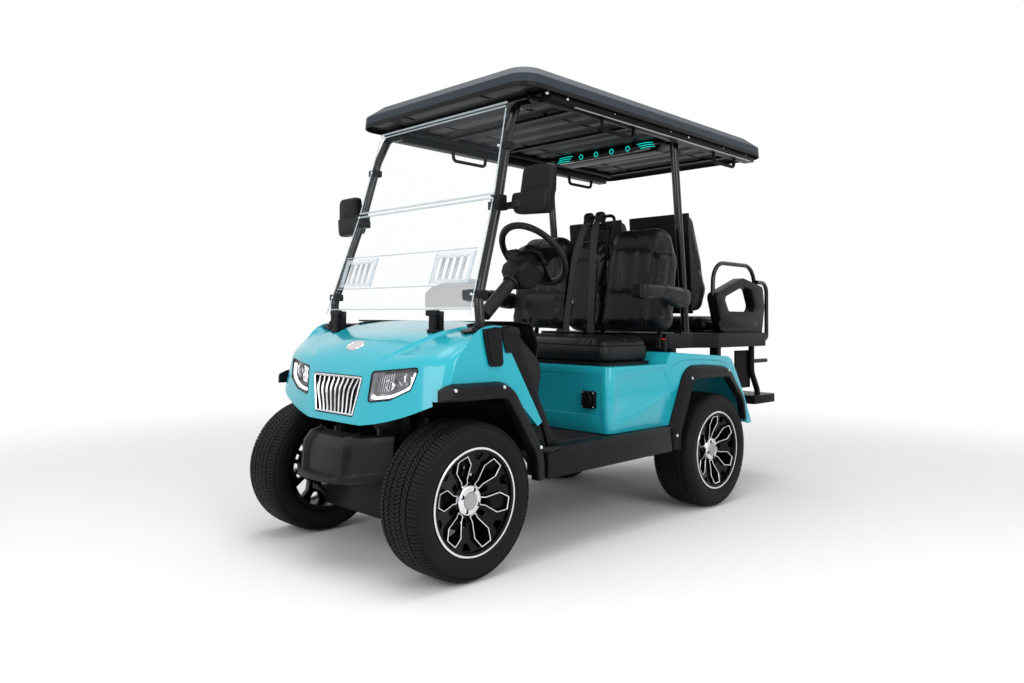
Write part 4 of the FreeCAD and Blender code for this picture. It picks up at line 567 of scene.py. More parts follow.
def bar(width, height, bevel):
    # a rectangle with cut corners
    w, h = width / 2, height / 2
    return [(-w + bevel, -h), (w - bevel, -h), (w, -h + bevel), (w, h - bevel), (w - bevel, h), (-w + bevel, h),
            (-w, h - bevel), (-w, -h + bevel)]


def addTube(form, line, radius, closed=False, slot=0, count=14):
    return addSweep(form, line, circle(radius, count), closed, slot=slot)


def addRevolved(form, profile, count, slot=0, closed=True):
    # turns (x, radius) points about the X axis
    rings = []
    for k in range(count):
        angle = math.tau * k / count
        rings.append([Vector((x, r * math.cos(angle), r * math.sin(angle))) for x, r in profile])
    return addGrid(form, rings, closeRows=True, closeColumns=closed, slot=slot)


def addPlate(form, outline, place, slot=0, depth=None):
    # a flat or curved plate: outline points (u, v) through place(u, v, layer), layer 0 in front and 1 behind
    front = [form.verts.new(place(u, v, 0)) for u, v in outline]
    back = [form.verts.new(place(u, v, 1)) for u, v in outline]
    form.faces.new(front).material_index = slot
    form.faces.new(list(reversed(back))).material_index = slot
    for i in range(len(outline)):
        j = (i + 1) % len(outline)
        form.faces.new((front[j], front[i], back[i], back[j])).material_index = slot if depth is None else depth
    return front, back


def addBox(form, low, high, slot=0):
    made = bmesh.ops.create_cube(form, size=1)["verts"]
    low, high = Vector(low), Vector(high)
    for vert in made:
        vert.co = Vector(((low[k] + high[k]) / 2 + vert.co[k] * (high[k] - low[k]) for k in range(3)))
    for face in {face for vert in made for face in vert.link_faces}:
        face.material_index = slot
    return made


def cutBy(thing, cutters, operation="DIFFERENCE"):
    # takes the cutters away from the thing; the cutters are deleted
    for cutter in cutters:
        thing.modifiers.new("cut", "BOOLEAN")
        thing.modifiers[-1].operation = operation
        thing.modifiers[-1].solver = "EXACT"
        thing.modifiers[-1].object = cutter
    baked(thing)
    for cutter in cutters:
        mesh = cutter.data
        bpy.data.objects.remove(cutter)
        bpy.data.meshes.remove(mesh)
    return thing


def cutterAlong(outline, axis, low, high):
    # a straight cutter: the outline in the two other axes, run from low to high along the axis
    form = bmesh.new()
    places = {"x": lambda u, v, w: (w, u, v), "y": lambda u, v, w: (u, w, v), "z": lambda u, v, w: (u, v, w)}
    rings = [[Vector(places[axis](u, v, level)) for u, v in outline] for level in (low, high)]
    addLoft(form, rings)
    bmesh.ops.recalc_face_normals(form, faces=form.faces)
    return newObject("cutter", meshFrom("cutter", form))


def roundedOutline(corners, radius, steps=4):
    # the same as roundedPath for flat (u, v) outlines
    path = roundedPath([(corner[0], corner[1], 0, *corner[2:]) for corner in corners], radius, steps)
    return [(point.x, point.y) for point in path]


def transformed(mesh, matrix, name):
    copy = mesh.copy()
    copy.name = name
    copy.transform(matrix)
    if matrix.determinant() < 0:
        copy.flip_normals()
    return newObject(name, copy)


def removed(thing):
    mesh = thing.data
    bpy.data.objects.remove(thing)
    if mesh.users == 0:
        bpy.data.meshes.remove(mesh)


def step(low, high, value):
    t = min(1, max(0, (value - low) / (high - low)))
    return t * t * (3 - 2 * t)


# Geometry Nodes: trees that repeat one object, in a ring about X, in a row, or on marked points
class Geometry(Graph):
    def __init__(self, name, inputs):
        self.tree = bpy.data.node_groups.new(name, "GeometryNodeTree")
        face = self.tree.interface
        self.keys = {}
        for label, kind in {"Geometry": "NodeSocketGeometry", **inputs}.items():
            self.keys[label] = face.new_socket(label, in_out="INPUT", socket_type=kind).identifier
        face.new_socket("Geometry", in_out="OUTPUT", socket_type="NodeSocketGeometry")
        self.entry = self.tree.nodes.new("NodeGroupInput")

    def given(self, label):
        return Wire(self, self.entry.outputs[label])

    def finishWith(self, instances):
        real = self.make("GeometryNodeRealizeInstances", None, {"Geometry": instances})
        coated = self.make("GeometryNodeSetMaterial", None,
                           {"Geometry": real, "Material": self.given("Finish")})
        end = self.tree.nodes.new("NodeGroupOutput")
        self.tree.links.new(coated.socket, end.inputs[0])

    def used(self, name, mesh, **values):
        # runs the tree on a mesh and returns the plain result
        thing = newObject(name, mesh)
        modifier = thing.modifiers.new("tree", "NODES")
        modifier.node_group = self.tree
        for label, value in values.items():
            modifier[self.keys[label]] = value
        return baked(thing)


def pointMesh(name, points=((0, 0, 0),), facing=None):
    mesh = bpy.data.meshes.new(name)
    mesh.from_pydata([tuple(point) for point in points], [], [])
    if facing:
        layer = mesh.attributes.new("facing", "FLOAT_VECTOR", "POINT")
        for item, direction in zip(layer.data, facing):
            item.vector = direction
    return mesh


def makeRingTree():
    tree = Geometry("ringTree",
                    {"Piece": "NodeSocketObject", "Copies": "NodeSocketInt", "Finish": "NodeSocketMaterial"})
    piece = tree.make("GeometryNodeObjectInfo", None, {"Object": tree.given("Piece"), "As Instance": True},
                      "Geometry")
    copies = tree.given("Copies")
    points = tree.make("GeometryNodePoints", None, {"Count": copies})
    index = tree.make("GeometryNodeInputIndex")
    turn = tree.make("ShaderNodeCombineXYZ", None, {"X": index * math.tau / copies})
    rotation = tree.make("FunctionNodeEulerToRotation", None, {"Euler": turn})
    tree.finishWith(tree.make("GeometryNodeInstanceOnPoints", None, {"Points": points, "Instance": piece,
                                                                     "Rotation": rotation}))
    return tree


def makeRowTree():
    tree = Geometry("rowTree",
                    {"Piece": "NodeSocketObject", "Copies": "NodeSocketInt", "Pitch": "NodeSocketVector",
                                "Finish": "NodeSocketMaterial"})
    piece = tree.make("GeometryNodeObjectInfo", None, {"Object": tree.given("Piece"), "As Instance": True},
                      "Geometry")
    index = tree.make("GeometryNodeInputIndex")
    place = tree.make("ShaderNodeVectorMath", {"operation": "SCALE"}, {0: tree.given("Pitch"), "Scale": index})
    points = tree.make("GeometryNodePoints", None, {"Count": tree.given("Copies"), "Position": place})
    tree.finishWith(tree.make("GeometryNodeInstanceOnPoints", None, {"Points": points, "Instance": piece}))
    return tree


def makeBoltTree():
    tree = Geometry("boltTree", {"Piece": "NodeSocketObject", "Finish": "NodeSocketMaterial"})
    piece = tree.make("GeometryNodeObjectInfo", None, {"Object": tree.given("Piece"), "As Instance": True},
                      "Geometry")
    facing = tree.make("GeometryNodeInputNamedAttribute", {"data_type": "FLOAT_VECTOR"}, {"Name": "facing"},
                       "Attribute")
    turn = tree.make("FunctionNodeAlignRotationToVector", {"axis": "Z"}, {"Vector": facing})
    points = tree.make("GeometryNodeMeshToPoints", None, {"Mesh": tree.given("Geometry")})
    tree.finishWith(tree.make("GeometryNodeInstanceOnPoints", None, {"Points": points, "Instance": piece,
                                                                     "Rotation": turn}))
    return tree


ringTree, rowTree, boltTree = makeRingTree(), makeRowTree(), makeBoltTree()


def addHead(form, radius, height, sides=6, socket=True):
    # a bolt head standing on Z = 0
    levels = [(radius, -0.002), (radius, height * 0.7), (radius * 0.86, height)]
    if socket:
        levels += [(radius * 0.5, height), (radius * 0.45, height * 0.4)]
    addLoft(form, [[Vector((u, v, z)) for u, v in circle(r, sides)] for r, z in levels])


def makeHead(name, radius, height, sides=6, socket=True):
    form = bmesh.new()
    addHead(form, radius, height, sides, socket)
    return solidFrom(name, form, shade=30)


def bolted(name, body, slotName, finish, places, radius=0.005, height=0.003, sides=12):
    # bolt heads at (place, facing) pairs
    head = makeHead(name + "Head", radius, height, sides)
    points = pointMesh(name, [place for place, facing in places], [facing for place, facing in places])
    thing = boltTree.used(name, points, Piece=head, Finish=finish)
    removed(head)
    return dressed(smooth(thing, 30), body, slotName)


print("stage: tools made")


# Wheels: built once about the origin with the outer side towards +X, then set in their places
wheel = {
    "radius": 0.289,
    "places": {
        "front_left": (0.49, -1.13, 1), "front_right": (-0.49, -1.13, -1),
        "rear_left": (0.49, 0.54, 1), "rear_right": (-0.49, 0.54, -1),
    },
    "carcass": [
        # half of the section, (x, radius), from the bead to the middle of the tread floor
        (0.097, 0.187), (0.098, 0.197), (0.0995, 0.2005), (0.1035, 0.204), (0.1055, 0.2085), (0.1052, 0.2115),
        (0.1066, 0.2125), (0.1085, 0.220), (0.1098, 0.229), (0.1100, 0.236), (0.1108, 0.2365), (0.1108, 0.2385),
        (0.1098, 0.239), (0.1092, 0.246), (0.1078, 0.254), (0.1084, 0.2548), (0.1082, 0.2565), (0.1070, 0.257),
        (0.1045, 0.263), (0.1010, 0.269), (0.0965, 0.2735), (0.0900, 0.2772), (0.0800, 0.2795),
        (0.0650, 0.2808), (0.0450, 0.2813), (0.0200, 0.2815),
    ],
    "turns": 144,
    "crown": [(0.0, 0.2890), (0.050, 0.2888), (0.066, 0.2882), (0.078, 0.2868), (0.088, 0.2842),
              (0.096, 0.2800), (0.1025, 0.2738), (0.1062, 0.2680)],
    "floor": 0.2795,
    "pitches": 60,
    "rows": [
        # stations across the tread, slant (metres of arc per metre), start and end of the two blocks in a pitch
        ([0.0015, 0.015, 0.0285], 0.55, 0.0),
        ([0.0335, 0.047, 0.0605], -0.72, 0.35),
        ([0.0665, 0.076, 0.085, 0.093, 0.0995, 0.1045], -0.10, 0.1),
    ],
    "sipe": 0.0022,
    "groove": 0.0034,
    "chamfer": 0.0009,
}


def crownAt(x):
    points = wheel["crown"]
    x = abs(x)
    for (x0, r0), (x1, r1) in zip(points, points[1:]):
        if x <= x1:
            return r0 + (r1 - r0) * (x - x0) / (x1 - x0)
    return points[-1][1]


def addTreadBlock(form, stations, arcs, side):
    # one block: a ring of six points at each station, with the ends lowered to a chamfer
    chamfer = wheel["chamfer"]
    first, last = stations[0], stations[-1]
    spots = [(first, 1)] + [(first + chamfer,
                             0)] + [(x, 0) for x in stations[1:-1]] + [(last - chamfer, 0), (last, 1)]
    rings = []
    for x, low in spots:
        share = (x - first) / (last - first)
        start, end = (a + (b - a) * share for a, b in arcs)
        top = crownAt(x)
        floor = min(wheel["floor"], top - 0.004)
        ring = []
        for arc, radius in ((start, floor), (start, top - chamfer), (start + chamfer, top - chamfer * low),
                            (end - chamfer, top - chamfer * low), (end, top - chamfer), (end, floor)):
            angle = arc / wheel["radius"]
            ring.append(Vector((x * side, radius * math.sin(angle), radius * math.cos(angle))))
        rings.append(ring)
    addLoft(form, rings)


def makeTread():
    pitch = math.tau * wheel["radius"] / wheel["pitches"]
    form = bmesh.new()
    for side in (1, -1):
        for stations, slant, offset in wheel["rows"]:
            run = slant * (stations[-1] - stations[0])
            half = pitch / 2
            for i, gap in ((0, wheel["sipe"]), (1, wheel["groove"])):
                start = offset * pitch + i * half + (pitch / 2 if side < 0 else 0)
                end = start + half - gap
                addTreadBlock(form, stations, ((start, start + run), (end, end + run)), side)
    unit = solidFrom("treadPitch", form, shade=25)
    tread = ringTree.used("tread", pointMesh("treadPoint"), Piece=unit, Copies=wheel["pitches"],
                          Finish=paint["rubber"])
    removed(unit)
    return tread


def makeTyre():
    half = wheel["carcass"]
    section = [(-x, r) for x, r in half] + list(reversed(half))
    form = bmesh.new()
    addRevolved(form, section, wheel["turns"])
    bmesh.ops.recalc_face_normals(form, faces=form.faces)
    absorb(form, makeTread())
    return smooth(newObject("tyreUnit", meshFrom("tyreUnit", form)), 28)


rim = {
    "lip": [(0.0, 0.1790), (0.0985, 0.1790), (0.1015, 0.1800), (0.1015, 0.1885), (0.1035, 0.1895),
            (0.1042, 0.1912), (0.1042, 0.1955), (0.1030, 0.1972), (0.1000, 0.1972), (0.0985, 0.1955),
            (0.0975, 0.1880), (0.0, 0.1870)],
    "back": [(-0.1035, 0.1790), (-0.1040, 0.1965), (-0.0995, 0.1970), (-0.0985, 0.1870)],
    "faceAtHub": 0.060,
    "faceAtEdge": 0.0965,
    "loops": [(-0.0160, 0.0560), (-0.0165, 0.0780), (-0.0385, 0.1300), (-0.0245, 0.1725), (0.0245, 0.1725),
              (0.0385, 0.1300), (0.0165, 0.0780), (0.0160, 0.0560)],
    "line": 0.0046,
    "wallDepth": 0.030,
    "webSink": 0.013,
    "webDepth": 0.014,
    "hub": [(0.030, 0.0), (0.030, 0.053), (0.062, 0.0555), (0.0675, 0.0545), (0.0705, 0.0515), (0.0715, 0.0480),
            (0.0720, 0.0330), (0.0712, 0.0320), (0.0700, 0.0315), (0.0700, 0.0)],
    "cap": [(0.0660, 0.0), (0.0660, 0.0312), (0.0735, 0.0312), (0.0752, 0.0300), (0.0756, 0.0270),
            (0.0753, 0.0255), (0.0764, 0.0)],
    "lugs": (4, 0.0415, 0.0082),
}


def rimFace(radius):
    share = (radius - 0.055) / (0.1725 - 0.055)
    return rim["faceAtHub"] + (rim["faceAtEdge"] - rim["faceAtHub"]) * share


def insetOutline(outline, amount):
    # moves a closed outline inwards by the amount, counter to its turning
    made = []
    count = len(outline)
    centre = Vector((sum(u for u, v in outline) / count, sum(v for u, v in outline) / count))
    for i in range(count):
        a, b, c = (Vector(outline[(i + k) % count]) for k in (-1, 0, 1))
        first, second = (b - a).normalized(), (c - b).normalized()
        normals = [Vector((-way.y, way.x)) for way in (first, second)]
        normals = [way if (centre - b).dot(way) > 0 else -way for way in normals]
        middle = (normals[0] + normals[1]).normalized()
        made.append(tuple(b + middle * (amount / max(0.3, middle.dot(normals[0])))))
    return made


def makeRim():
    form = bmesh.new()
    section = rim["back"] + [(-0.09, 0.1868)] + list(reversed(rim["lip"][1:-1]))
    addRevolved(form, section, 96, slot=0)
    for face in form.faces:
        middle = face.calc_center_median()
        if middle.x > 0.1012 and math.hypot(middle.y, middle.z) > 0.1900:
            face.material_index = 1
    outer = roundedOutline(rim["loops"], 0.005, 3)
    inner = roundedOutline(insetOutline(rim["loops"], rim["line"]), 0.0035, 3)
    for k in range(6):
        turn = k * math.tau / 6

        def spot(u, v, sink):
            radius = math.hypot(u, v)
            y, z = u * math.cos(turn) - v * math.sin(turn), u * math.sin(turn) + v * math.cos(turn)
            return Vector((rimFace(radius) - sink, y, z))

        rings = []
        for outline, sink in ((outer, rim["wallDepth"]), (outer, 0.0012), (insetOutline(outer, 0.0007), 0.0),
                              (insetOutline(inner, -0.0007), 0.0), (inner, 0.0012), (inner, rim["wallDepth"])):
            rings.append([spot(u, v, sink) for u, v in outline])
        start = len(form.faces)
        addGrid(form, rings, closeRows=True, closeColumns=True)
        form.faces.ensure_lookup_table()
        width = len(outer)
        for number, face in enumerate(form.faces[start:]):
            face.material_index = 1 if number // width in (1, 2, 3) else 0
    plate = bmesh.new()
    rings = []
    for radius in (0.050, 0.080, 0.110, 0.140, 0.165, 0.1805):
        rings.append([Vector((rimFace(radius) - rim["webSink"], radius * math.sin(k * math.tau / 72),
                              radius * math.cos(k * math.tau / 72))) for k in range(72)])
    back = [[point - Vector((rim["webDepth"], 0, 0)) for point in ring] for ring in reversed(rings)]
    addGrid(plate, rings + back, closeRows=True, closeColumns=True)
    webPlate = solidFrom("rimWeb", plate)
    cutters = []
    slotLine = roundedOutline([(-0.0085, 0.066), (0.0085, 0.066), (0.0125, 0.098), (-0.0125, 0.098)], 0.006, 4)
    gapLine = roundedOutline([(-0.010, 0.150), (-0.024, 0.176), (0.024, 0.176), (0.010, 0.150)], 0.004, 3)
    for k in range(6):
        for outline, turn in ((insetOutline(rim["loops"], 0.002), k), (slotLine, k + 0.5), (gapLine, k + 0.5)):
            angle = turn * math.tau / 6
            turned = [(u * math.cos(angle) - v * math.sin(angle), u * math.sin(angle) + v * math.cos(angle))
                      for u, v in outline]
            cutters.append(cutterAlong(turned, "x", 0.0, 0.2))
    absorb(form, cutBy(webPlate, cutters))
    hub = bmesh.new()
    addRevolved(hub, rim["hub"], 64, slot=1, closed=False)
    hubPiece = solidFrom("rimHub", hub)
    copies, radius, size = rim["lugs"]
    cutters = []
    for k in range(copies):
        angle = (k + 0.5) * math.tau / copies
        hole = [(radius * math.sin(angle) + u, radius * math.cos(angle) + v) for u, v in circle(size, 20)]
        cutters.append(cutterAlong(hole, "x", 0.056, 0.09))
    absorb(form, cutBy(hubPiece, cutters))
    addRevolved(form, rim["cap"], 48, slot=2, closed=False)
    nut = bmesh.new()
    addHead(nut, 0.0058, 0.010, 6, socket=False)
    for vert in nut.verts:
        vert.co = Vector((vert.co.z + 0.0565, vert.co.x + radius * math.sin(math.tau / 8),
                          vert.co.y + radius * math.cos(math.tau / 8)))
    nutPiece = solidFrom("lugNut", nut, shade=30)
    nuts = ringTree.used("lugNuts", pointMesh("nutPoint"), Piece=nutPiece, Copies=copies,
                         Finish=paint["chrome"])
    removed(nutPiece)
    absorb(form, nuts, 3)
    bmesh.ops.remove_doubles(form, verts=form.verts, dist=0.00001)
    return smooth(newObject("rimUnit", meshFrom("rimUnit", form)), 32)


tyreUnit, rimUnit = makeTyre(), makeRim()
for placeName, (x, y, side) in wheel["places"].items():
    title = "".join(word.title() for word in placeName.split("_"))
    matrix = Matrix.Translation((x, y, wheel["radius"])) @ Matrix.Rotation(0 if side > 0 else math.pi, 4, "Z")
    matrix = matrix @ Matrix.Rotation(0.35 if "front" in placeName else 1.1, 4, "X")
    tyre = dressed(transformed(tyreUnit.data, matrix, "tyre" + title), "wheel_" + placeName, "tyre_rubber",
                   paint["rubber"])
    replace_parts(tyre, "tyre_" + placeName)
    wheelRim = dressed(transformed(rimUnit.data, matrix, "rim" + title), "wheel_" + placeName, "rim_silver",
                       paint["rimBlack"], paint["machined"], paint["cap"], paint["chrome"])
    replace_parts(wheelRim, "rim_" + placeName)
removed(tyreUnit)
removed(rimUnit)
print("stage: wheels made")


# Front cowl: a closed form through side-view sections, hollowed, with two hood ridges
nose = {
    "halfWidth": 0.56,
    "frontY": -1.367,
    "lowZ": 0.545,
    "skirt": 0.04,
    "wall": 0.004,
    "columns": 26,
    "hoodRows": 34,
    "ridgeDrop": 0.0075,
    "ridgeFade": 0.11,
    "sections": (
        # share of the half width, then (y, z) of the lip, the face's
        # top, its leading edge, two hood points, the back
        (0.000, (0, 0), (0.026, 0.190), (0.044, 0.232), (0.105, 0.296), (0.237, 0.350), (0.487, 0.399)),
        (0.327, (0.003, 0), (0.026, 0.192), (0.046, 0.233), (0.108, 0.292), (0.237, 0.347), (0.487, 0.398)),
        (0.625, (0.027, 0.030), (0.052, 0.205), (0.062, 0.236), (0.122, 0.284), (0.238, 0.343), (0.487, 0.392)),
        (0.798, (0.038, 0.062), (0.082, 0.229), (0.086, 0.239), (0.140, 0.284), (0.240, 0.338), (0.487, 0.384)),
        (0.893, (0.047, 0.075), (0.104, 0.232), (0.112, 0.246), (0.165, 0.290), (0.243, 0.336), (0.487, 0.380)),
        (0.946, (0.058, 0.088), (0.122, 0.235), (0.132, 0.252), (0.180, 0.292), (0.246, 0.338), (0.487, 0.376)),
        (0.982, (0.066, 0.098), (0.140, 0.240), (0.152, 0.262), (0.195, 0.300), (0.247, 0.342), (0.487, 0.370)),
        (1.000, (0.070, 0.105), (0.160, 0.245), (0.175, 0.272), (0.212, 0.312), (0.246, 0.350), (0.487, 0.362)),
    ),
    "chin": ((0.183, 0.545), (0.270, 0.559), (0.360, 0.580), (0.440, 0.605), (0.510, 0.633), (0.56, 0.657),
             (0.60, 0.675)),
    "arch": ((-1.310, 0.255), (-1.280, 0.655), (-0.975, 0.655), (-0.811, 0.390), (-0.808, 0.255)),
    "strip": ((-1.030, 0.905), (-0.978, 0.905), (-0.750, 0.542), (-0.774, 0.528), (-0.930, 0.675),
              (-1.030, 0.675)),
    "grilleWindow": ((-0.178, 0.730), (-0.135, 0.572), (0.135, 0.572), (0.178, 0.730)),
    "lampWindow": ((0.214, 0.632), (0.226, 0.752), (0.452, 0.776), (0.425, 0.690), (0.330, 0.648)),
    "badge": {"place": (0, 0.841), "half": (0.0525, 0.031), "height": 0.004},
}


def splineThrough(xs, ys):
    # a natural cubic through the points, as a function
    count = len(xs)
    gaps = [xs[i + 1] - xs[i] for i in range(count - 1)]
    upper, rest = [0.0] * count, [0.0] * count
    for i in range(1, count - 1):
        slope = 3 * ((ys[i + 1] - ys[i]) / gaps[i] - (ys[i] - ys[i - 1]) / gaps[i - 1])
        pivot = 2 * (xs[i + 1] - xs[i - 1]) - gaps[i - 1] * upper[i - 1]
        upper[i] = gaps[i] / pivot
        rest[i] = (slope - gaps[i - 1] * rest[i - 1]) / pivot
    curve = [0.0] * count
    for i in range(count - 2, 0, -1):
        curve[i] = rest[i] - upper[i] * curve[i + 1]

    def value(x):
        i = max(0, min(count - 2, sum(1 for knot in xs[1:-1] if knot <= x)))
        t = x - xs[i]
        slope = (ys[i + 1] - ys[i]) / gaps[i] - gaps[i] * (2 * curve[i] + curve[i + 1]) / 3
        return ys[i] + t * (slope + t * (curve[i] + t * (curve[i + 1] - curve[i]) / (3 * gaps[i])))

    return value


def noseCurves(settings):
    # one pair of curves across the nose for each point of the
    # sections; the lip keeps a crease beside the grille
    sections = settings["sections"]
    shares = [row[0] for row in sections]
    wide = [-share for share in reversed(shares)] + shares[1:]
    curves = []
    for k in range(1, 7):
        pair = []
        for axis in (0, 1):
            values = [row[k][axis] for row in sections]
            if k == 1:
                inner = splineThrough([-shares[1], 0, shares[1]], [values[1], values[0], values[1]])
                outer = splineThrough(shares[1:], values[1:])
                pair.append(lambda u, inner=inner, outer=outer: (inner(u) if abs(u) < shares[1]
                                                                 else outer(abs(u))))
            else:
                pair.append(splineThrough(wide, list(reversed(values)) + values[1:]))
        curves.append(pair)
    return curves


noseLines = noseCurves(nose)


def noseSection(share, inset, backRun, settings):
    # (y, z) points of one side-view section: chin, face top, then the hood to its back edge
    spots = [Vector((settings["frontY"] + line[0](share),
                     settings["lowZ"] + line[1](share))) for line in noseLines]
    chin = Vector((spots[0].x + inset, settings["lowZ"] - settings["skirt"]))
    top = [spot + Vector((inset * 0.6, -inset)) for spot in spots[1:]]
    top[0].x += inset * 0.5
    steps = [0.0]
    for here, there in zip(top, top[1:]):
        steps.append(steps[-1] + (there - here).length)
    across, up = (splineThrough(steps, [spot[k] for spot in top]) for k in (0, 1))
    rows = [chin + (top[0] - chin) * share for share in (0, 0.25, 0.5, 0.75)]
    count = settings["hoodRows"]
    for k in range(count + 1):
        length = steps[-1] * (k / count) ** 1.25
        rows.append(Vector((across(length), up(length))))
    if backRun:
        rows.append(rows[-1] + Vector((backRun, backRun * 0.16)))
    return rows


def ridgeLine(y):
    # the ridge's distance from the middle at the given depth
    return 0.236 + 0.165 * min(1, max(0, (y + 1.325) / 0.40)) ** 0.75


def noseForm(name, inset, backRun, settings):
    half = settings["halfWidth"] - inset
    count = settings["columns"]
    shares = []
    for k in range(count + 1):
        shares.append(math.sin(k / count * math.pi / 2))
    shares = [-share for share in reversed(shares)] + shares[1:]
    form = bmesh.new()
    rings = []
    for share in shares:
        rows = noseSection(share, inset, backRun, settings)
        ring = [Vector((share * half, row.x, row.y)) for row in rows]
        rings.append(ring + [Vector((share * half, rows[-1].x, settings["lowZ"] - settings["skirt"]))])
    addLoft(form, ridgedRings(rings, settings))
    bmesh.ops.recalc_face_normals(form, faces=form.faces)
    return newObject(name, meshFrom(name, form))


def ridgedRings(rings, settings):
    # slides the columns so that two of them follow each ridge, and lowers the hood outside it
    middle = len(rings) // 2
    first = middle + 7
    made = [list(ring) for ring in rings]
    for k in range(len(rings[0]) - 1):
        lines = [splineThrough([ring[k].x for ring in rings],
                               [ring[k][axis] for ring in rings]) for axis in (1, 2)]
        crest = ridgeLine(rings[middle + 8][k].y)
        half = rings[-1][k].x
        strength = step(-1.325, -1.25, rings[middle + 8][k].y)
        for j in range(middle, len(rings)):
            if j <= first:
                x = crest * (j - middle) / (first - middle)
            elif j == first + 1:
                x = crest + 0.007
            else:
                share = (j - first - 1) / (len(rings) - 1 - first - 1)
                x = crest + 0.007 + (half - crest - 0.007) * math.sin(share * math.pi / 2)
            x = min(x, half)
            beyond = max(0.0, x - crest - 0.007)
            drop = 0.0
            if j > first:
                drop = settings["ridgeDrop"] * strength * math.exp(-(beyond / settings["ridgeFade"]) ** 2)
            lift = 0.0015 * strength * math.exp(-((x - crest) / 0.02) ** 2) if j <= first else 0.0
            point = Vector((x, lines[0](x), lines[1](x) - drop + lift))
            made[j][k] = point
            made[len(rings) - 1 - j][k] = Vector((-point.x, point.y, point.z))
    return made


def makeCowl(settings):
    half = settings["halfWidth"]
    thing = noseForm("frontCowl", 0, 0, settings)
    hollow = noseForm("cutter", settings["wall"] + 0.0005, 0.06, settings)
    cutBy(thing, [hollow])
    strips = [cutterAlong(settings["strip"], "x", *sorted((side * (half - 0.0038), side * (half - 0.0001))))
              for side in (1, -1)]
    trim = ((-0.978, 0.860), (-0.978, 0.940), (-0.580, 0.940), (-0.580, 0.300), (-0.978, 0.300))
    right = [(point.x, point.y) for point in smoothLine([(*spot, 0) for spot in settings["chin"]], 4)]
    chin = [(-u, v) for u, v in reversed(right)] + right + [(0.60, 0.40), (-0.60, 0.40)]
    cutters = [cutterAlong(chin, "y", -1.45, -1.280), cutterAlong(settings["arch"], "x", -0.62, 0.62)]
    for side in (1, -1):
        cutters.append(cutterAlong(trim, "x", *sorted((side * (half - 0.026), side * (half + 0.05)))))
    cutBy(thing, cutters)
    cutBy(thing, strips, "UNION")
    cutters = [cutterAlong(roundedOutline(settings["grilleWindow"], 0.014), "y", -1.45, -1.17)]
    lamp = roundedOutline(settings["lampWindow"], 0.016)
    for side in (1, -1):
        cutters.append(cutterAlong([(side * u, v) for u, v in lamp], "y", -1.45, -1.17))
        hole = [(side * u, v) for u, v in rectangle((0.485, -1.076), (0.533, -1.012), 0.012)]
        cutters.append(cutterAlong(hole, "z", 0.85, 0.97))
    cutBy(thing, cutters)
    return smooth(thing, 28)


outerNose = noseForm("noseProbe", 0, 0, nose)
noseTree = BVHTree.FromPolygons([vert.co for vert in outerNose.data.vertices],
                                [list(face.vertices) for face in outerNose.data.polygons])
removed(outerNose)


def onNose(x, z, depth=0.0):
    # the point of the nose straight ahead of (x, z), moved back by the given depth
    hit = noseTree.ray_cast(Vector((x, -2, z)), Vector((0, 1, 0)))[0]
    return Vector((x, hit.y + depth, z))


def onHood(x, y):
    hit, normal = noseTree.ray_cast(Vector((x, y, 2)), Vector((0, 0, -1)))[:2]
    return hit, normal if normal.z > 0 else -normal


def addPatch(form, outline, place, front, back, slot=0, steps=6):
    # a curved plate over the outline between two depths; place(u, v, depth) gives its points
    middleU = sum(u for u, v in outline) / len(outline)
    middleV = sum(v for u, v in outline) / len(outline)
    layers = []
    for depth in (front, back):
        rings = []
        for k in range(steps):
            share = 1 - k / steps
            rings.append([form.verts.new(place(middleU + (u - middleU) * share, middleV + (v - middleV) * share,
                                               depth))
                          for u, v in outline])
        centre = form.verts.new(place(middleU, middleV, depth))
        count = len(outline)
        for outer, inner in zip(rings, rings[1:]):
            for i in range(count):
                form.faces.new((outer[i], outer[(i + 1) % count], inner[(i + 1) % count],
                                inner[i])).material_index = slot
        for i in range(count):
            form.faces.new((rings[-1][i], rings[-1][(i + 1) % count], centre)).material_index = slot
        layers.append(rings[0])
    for i in range(len(outline)):
        j = (i + 1) % len(outline)
        form.faces.new((layers[0][i], layers[0][j], layers[1][j], layers[1][i])).material_index = slot


def shrunk(outline, amount):
    # the outline moved inwards by the amount, corner by corner
    count = len(outline)
    area = sum(outline[i - 1][0] * outline[i][1] - outline[i][0] * outline[i - 1][1] for i in range(count))
    turn = 1 if area > 0 else -1
    moved = []
    for i in range(count):
        here = Vector(outline[i])
        before = (here - Vector(outline[i - 1])).normalized()
        after = (Vector(outline[(i + 1) % count]) - here).normalized()
        normal = Vector((-(before.y + after.y), before.x + after.x)) * turn
        normal.normalize()
        cosine = max(0.5, normal.dot(Vector((-before.y, before.x)) * turn))
        moved.append(tuple(here + normal * amount / cosine))
    return moved


# Badge: a plain raised oval with a rim, left blank
def makeBadge(settings):
    halfU, halfV = settings["half"]
    hit, normal = onHood(0, -1.262)
    side = Vector((1, 0, 0))
    along = normal.cross(side).normalized()
    form = bmesh.new()
    rings = []
    for share, height in ((1.0, -0.004), (1.0, 0.002), (0.95, settings["height"]), (0.86, settings["height"]),
                          (0.82, 0.0022), (0.5, 0.0032), (0.02, 0.0036)):
        oval = [(u * halfU, v * halfV) for u, v in circle(share, 48)]
        rings.append([hit + side * u + along * v + normal * (height - 0.55 * u * u) for u, v in oval])
    addLoft(form, rings)
    return solidFrom("hoodBadge", form, shade=40)


# Grille: a chrome frame with rounded corners and nine bars with a kink at the upper third
grille = {
    "bars": 9,
    "frameWidth": 0.008,
    "barWidth": 0.0066,
    "backDepth": 0.024,
}


